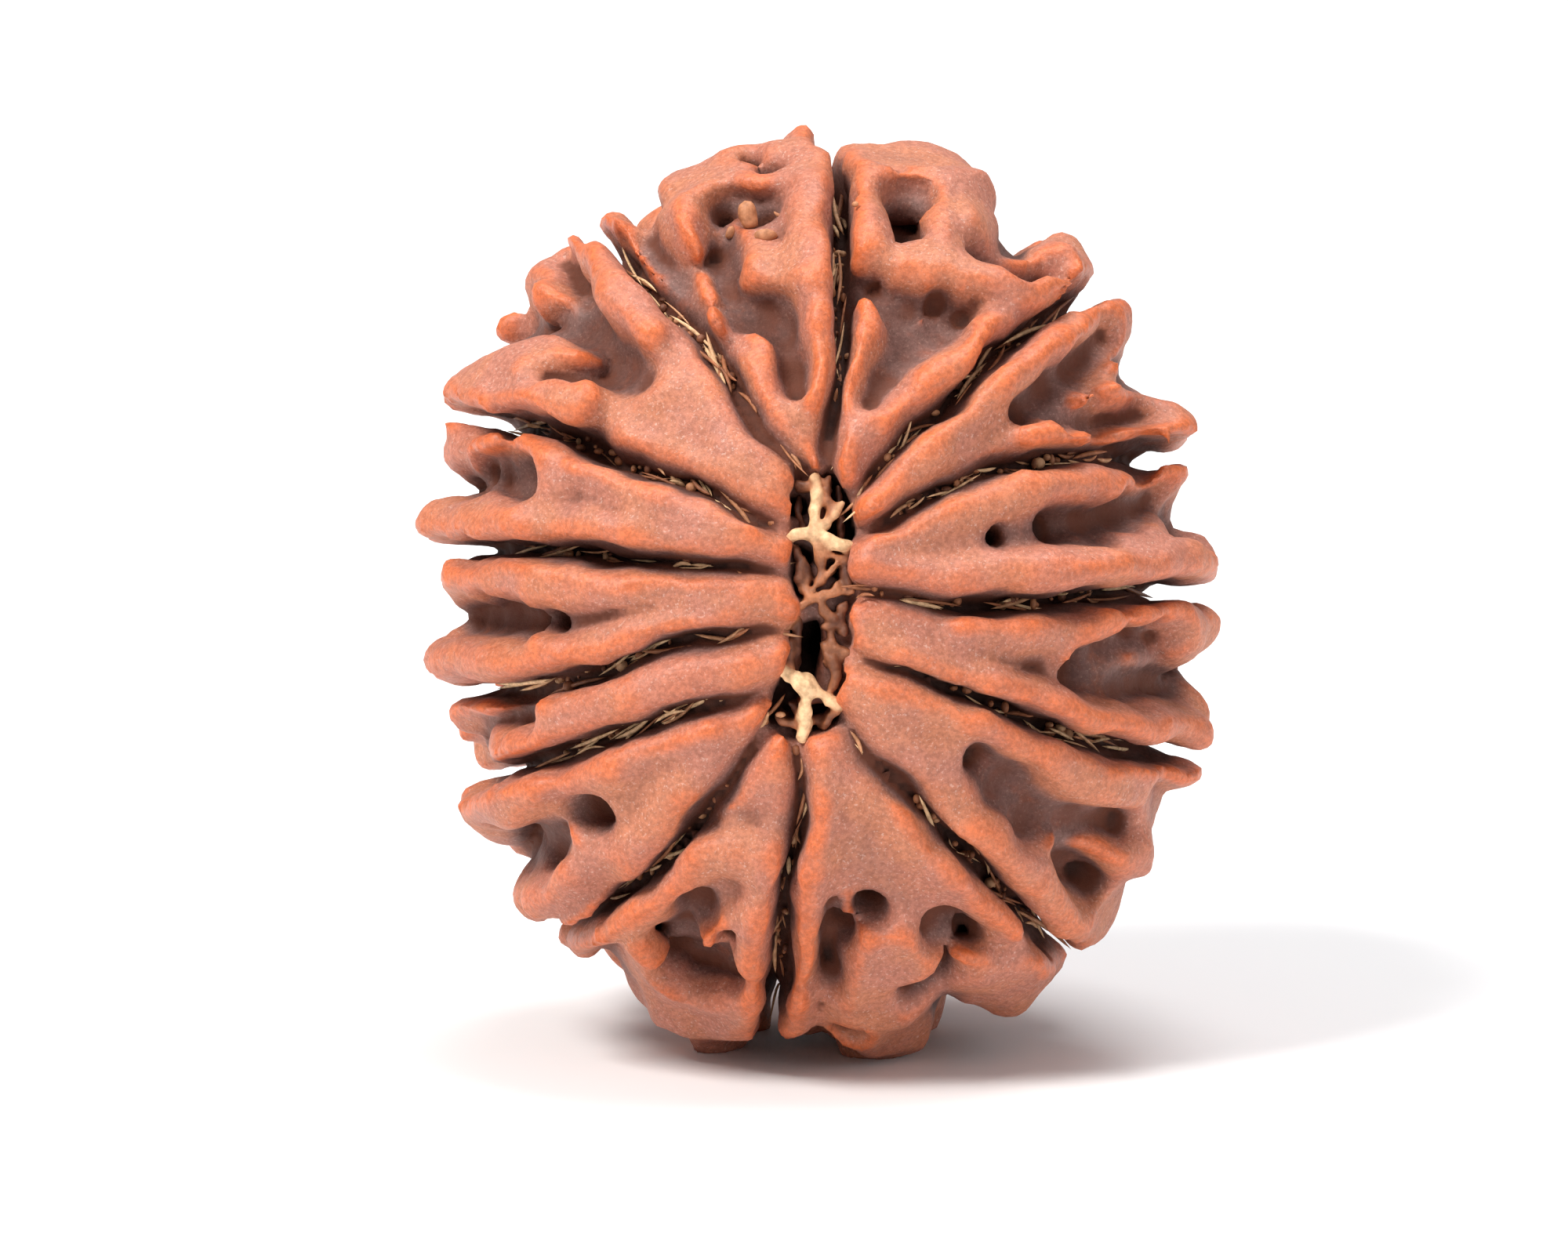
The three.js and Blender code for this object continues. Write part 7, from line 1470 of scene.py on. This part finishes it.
# Floor and light
floorLook = {
    "radius": 1.1, "wallRadius": 2.4, "wallHeight": 1.2, "sides": 96,
    "color": (0.86, 0.86, 0.865, 1), "roughness": 0.7,
}
lightRig = {
    "aim": (0, 0, 0.012), "sky": (0.97, 0.98, 1.0, 1), "skyStrength": 0.4,
    "lights": {
        "key": {"at": (-0.42, -0.34, 0.66), "size": 0.26, "power": 7.6, "color": (1, 0.98, 0.95)},
        "fill": {"at": (0.55, -0.5, 0.3), "size": 0.6, "power": 1.1, "color": (0.97, 0.98, 1)},
        "top": {"at": (0.12, 0.1, 0.75), "size": 0.4, "power": 4.2, "color": (1, 1, 1)},
    },
}


def makeFloor():
    # a round sheet that curves up all round, out of sight
    look = floorLook
    rings = [(look["radius"] * i / 4, 0.0) for i in range(5)]
    for i in range(1, 13):
        a = math.pi / 2 * i / 12
        wide = mix(look["radius"], look["wallRadius"], math.sin(a))
        rings.append((wide, look["wallHeight"] * (1 - math.cos(a))))
    sides = look["sides"]
    points = [(0, 0, 0)]
    for radius, height in rings[1:]:
        for j in range(sides):
            a = 2 * math.pi * j / sides
            points.append((radius * math.cos(a), radius * math.sin(a), height))
    faces = [(0, 1 + j, 1 + (j + 1) % sides) for j in range(sides)]
    for i in range(len(rings) - 2):
        for j in range(sides):
            a, b = 1 + i * sides + j, 1 + i * sides + (j + 1) % sides
            faces.append((a, a + sides, b + sides, b))
    mesh = bpy.data.meshes.new("floor")
    mesh.from_pydata(points, [], faces)
    for polygon in mesh.polygons:
        polygon.use_smooth = True
    floor = bpy.data.objects.new("floor", mesh)
    bpy.context.scene.collection.objects.link(floor)
    material, _, shader = newMaterial("floorPaper")
    shader.inputs["Base Color"].default_value = look["color"]
    shader.inputs["Roughness"].default_value = look["roughness"]
    mesh.materials.append(material)


def makeLights():
    world = bpy.data.worlds.new("sky")
    world.use_nodes = True
    background = world.node_tree.nodes["Background"]
    background.inputs["Color"].default_value = lightRig["sky"]
    background.inputs["Strength"].default_value = lightRig["skyStrength"]
    bpy.context.scene.world = world
    for name, row in lightRig["lights"].items():
        data = bpy.data.lights.new(name, "AREA")
        data.energy = row["power"]
        data.size = row["size"]
        data.color = row["color"]
        lamp = bpy.data.objects.new(name, data)
        lamp.location = row["at"]
        way = Vector(lightRig["aim"]) - Vector(row["at"])
        lamp.rotation_euler = way.to_track_quat("-Z", "Y").to_euler()
        bpy.context.scene.collection.objects.link(lamp)


makeFloor()
makeLights()
bpy.context.scene.view_settings.view_transform = "Standard"
print("floor and lights placed")
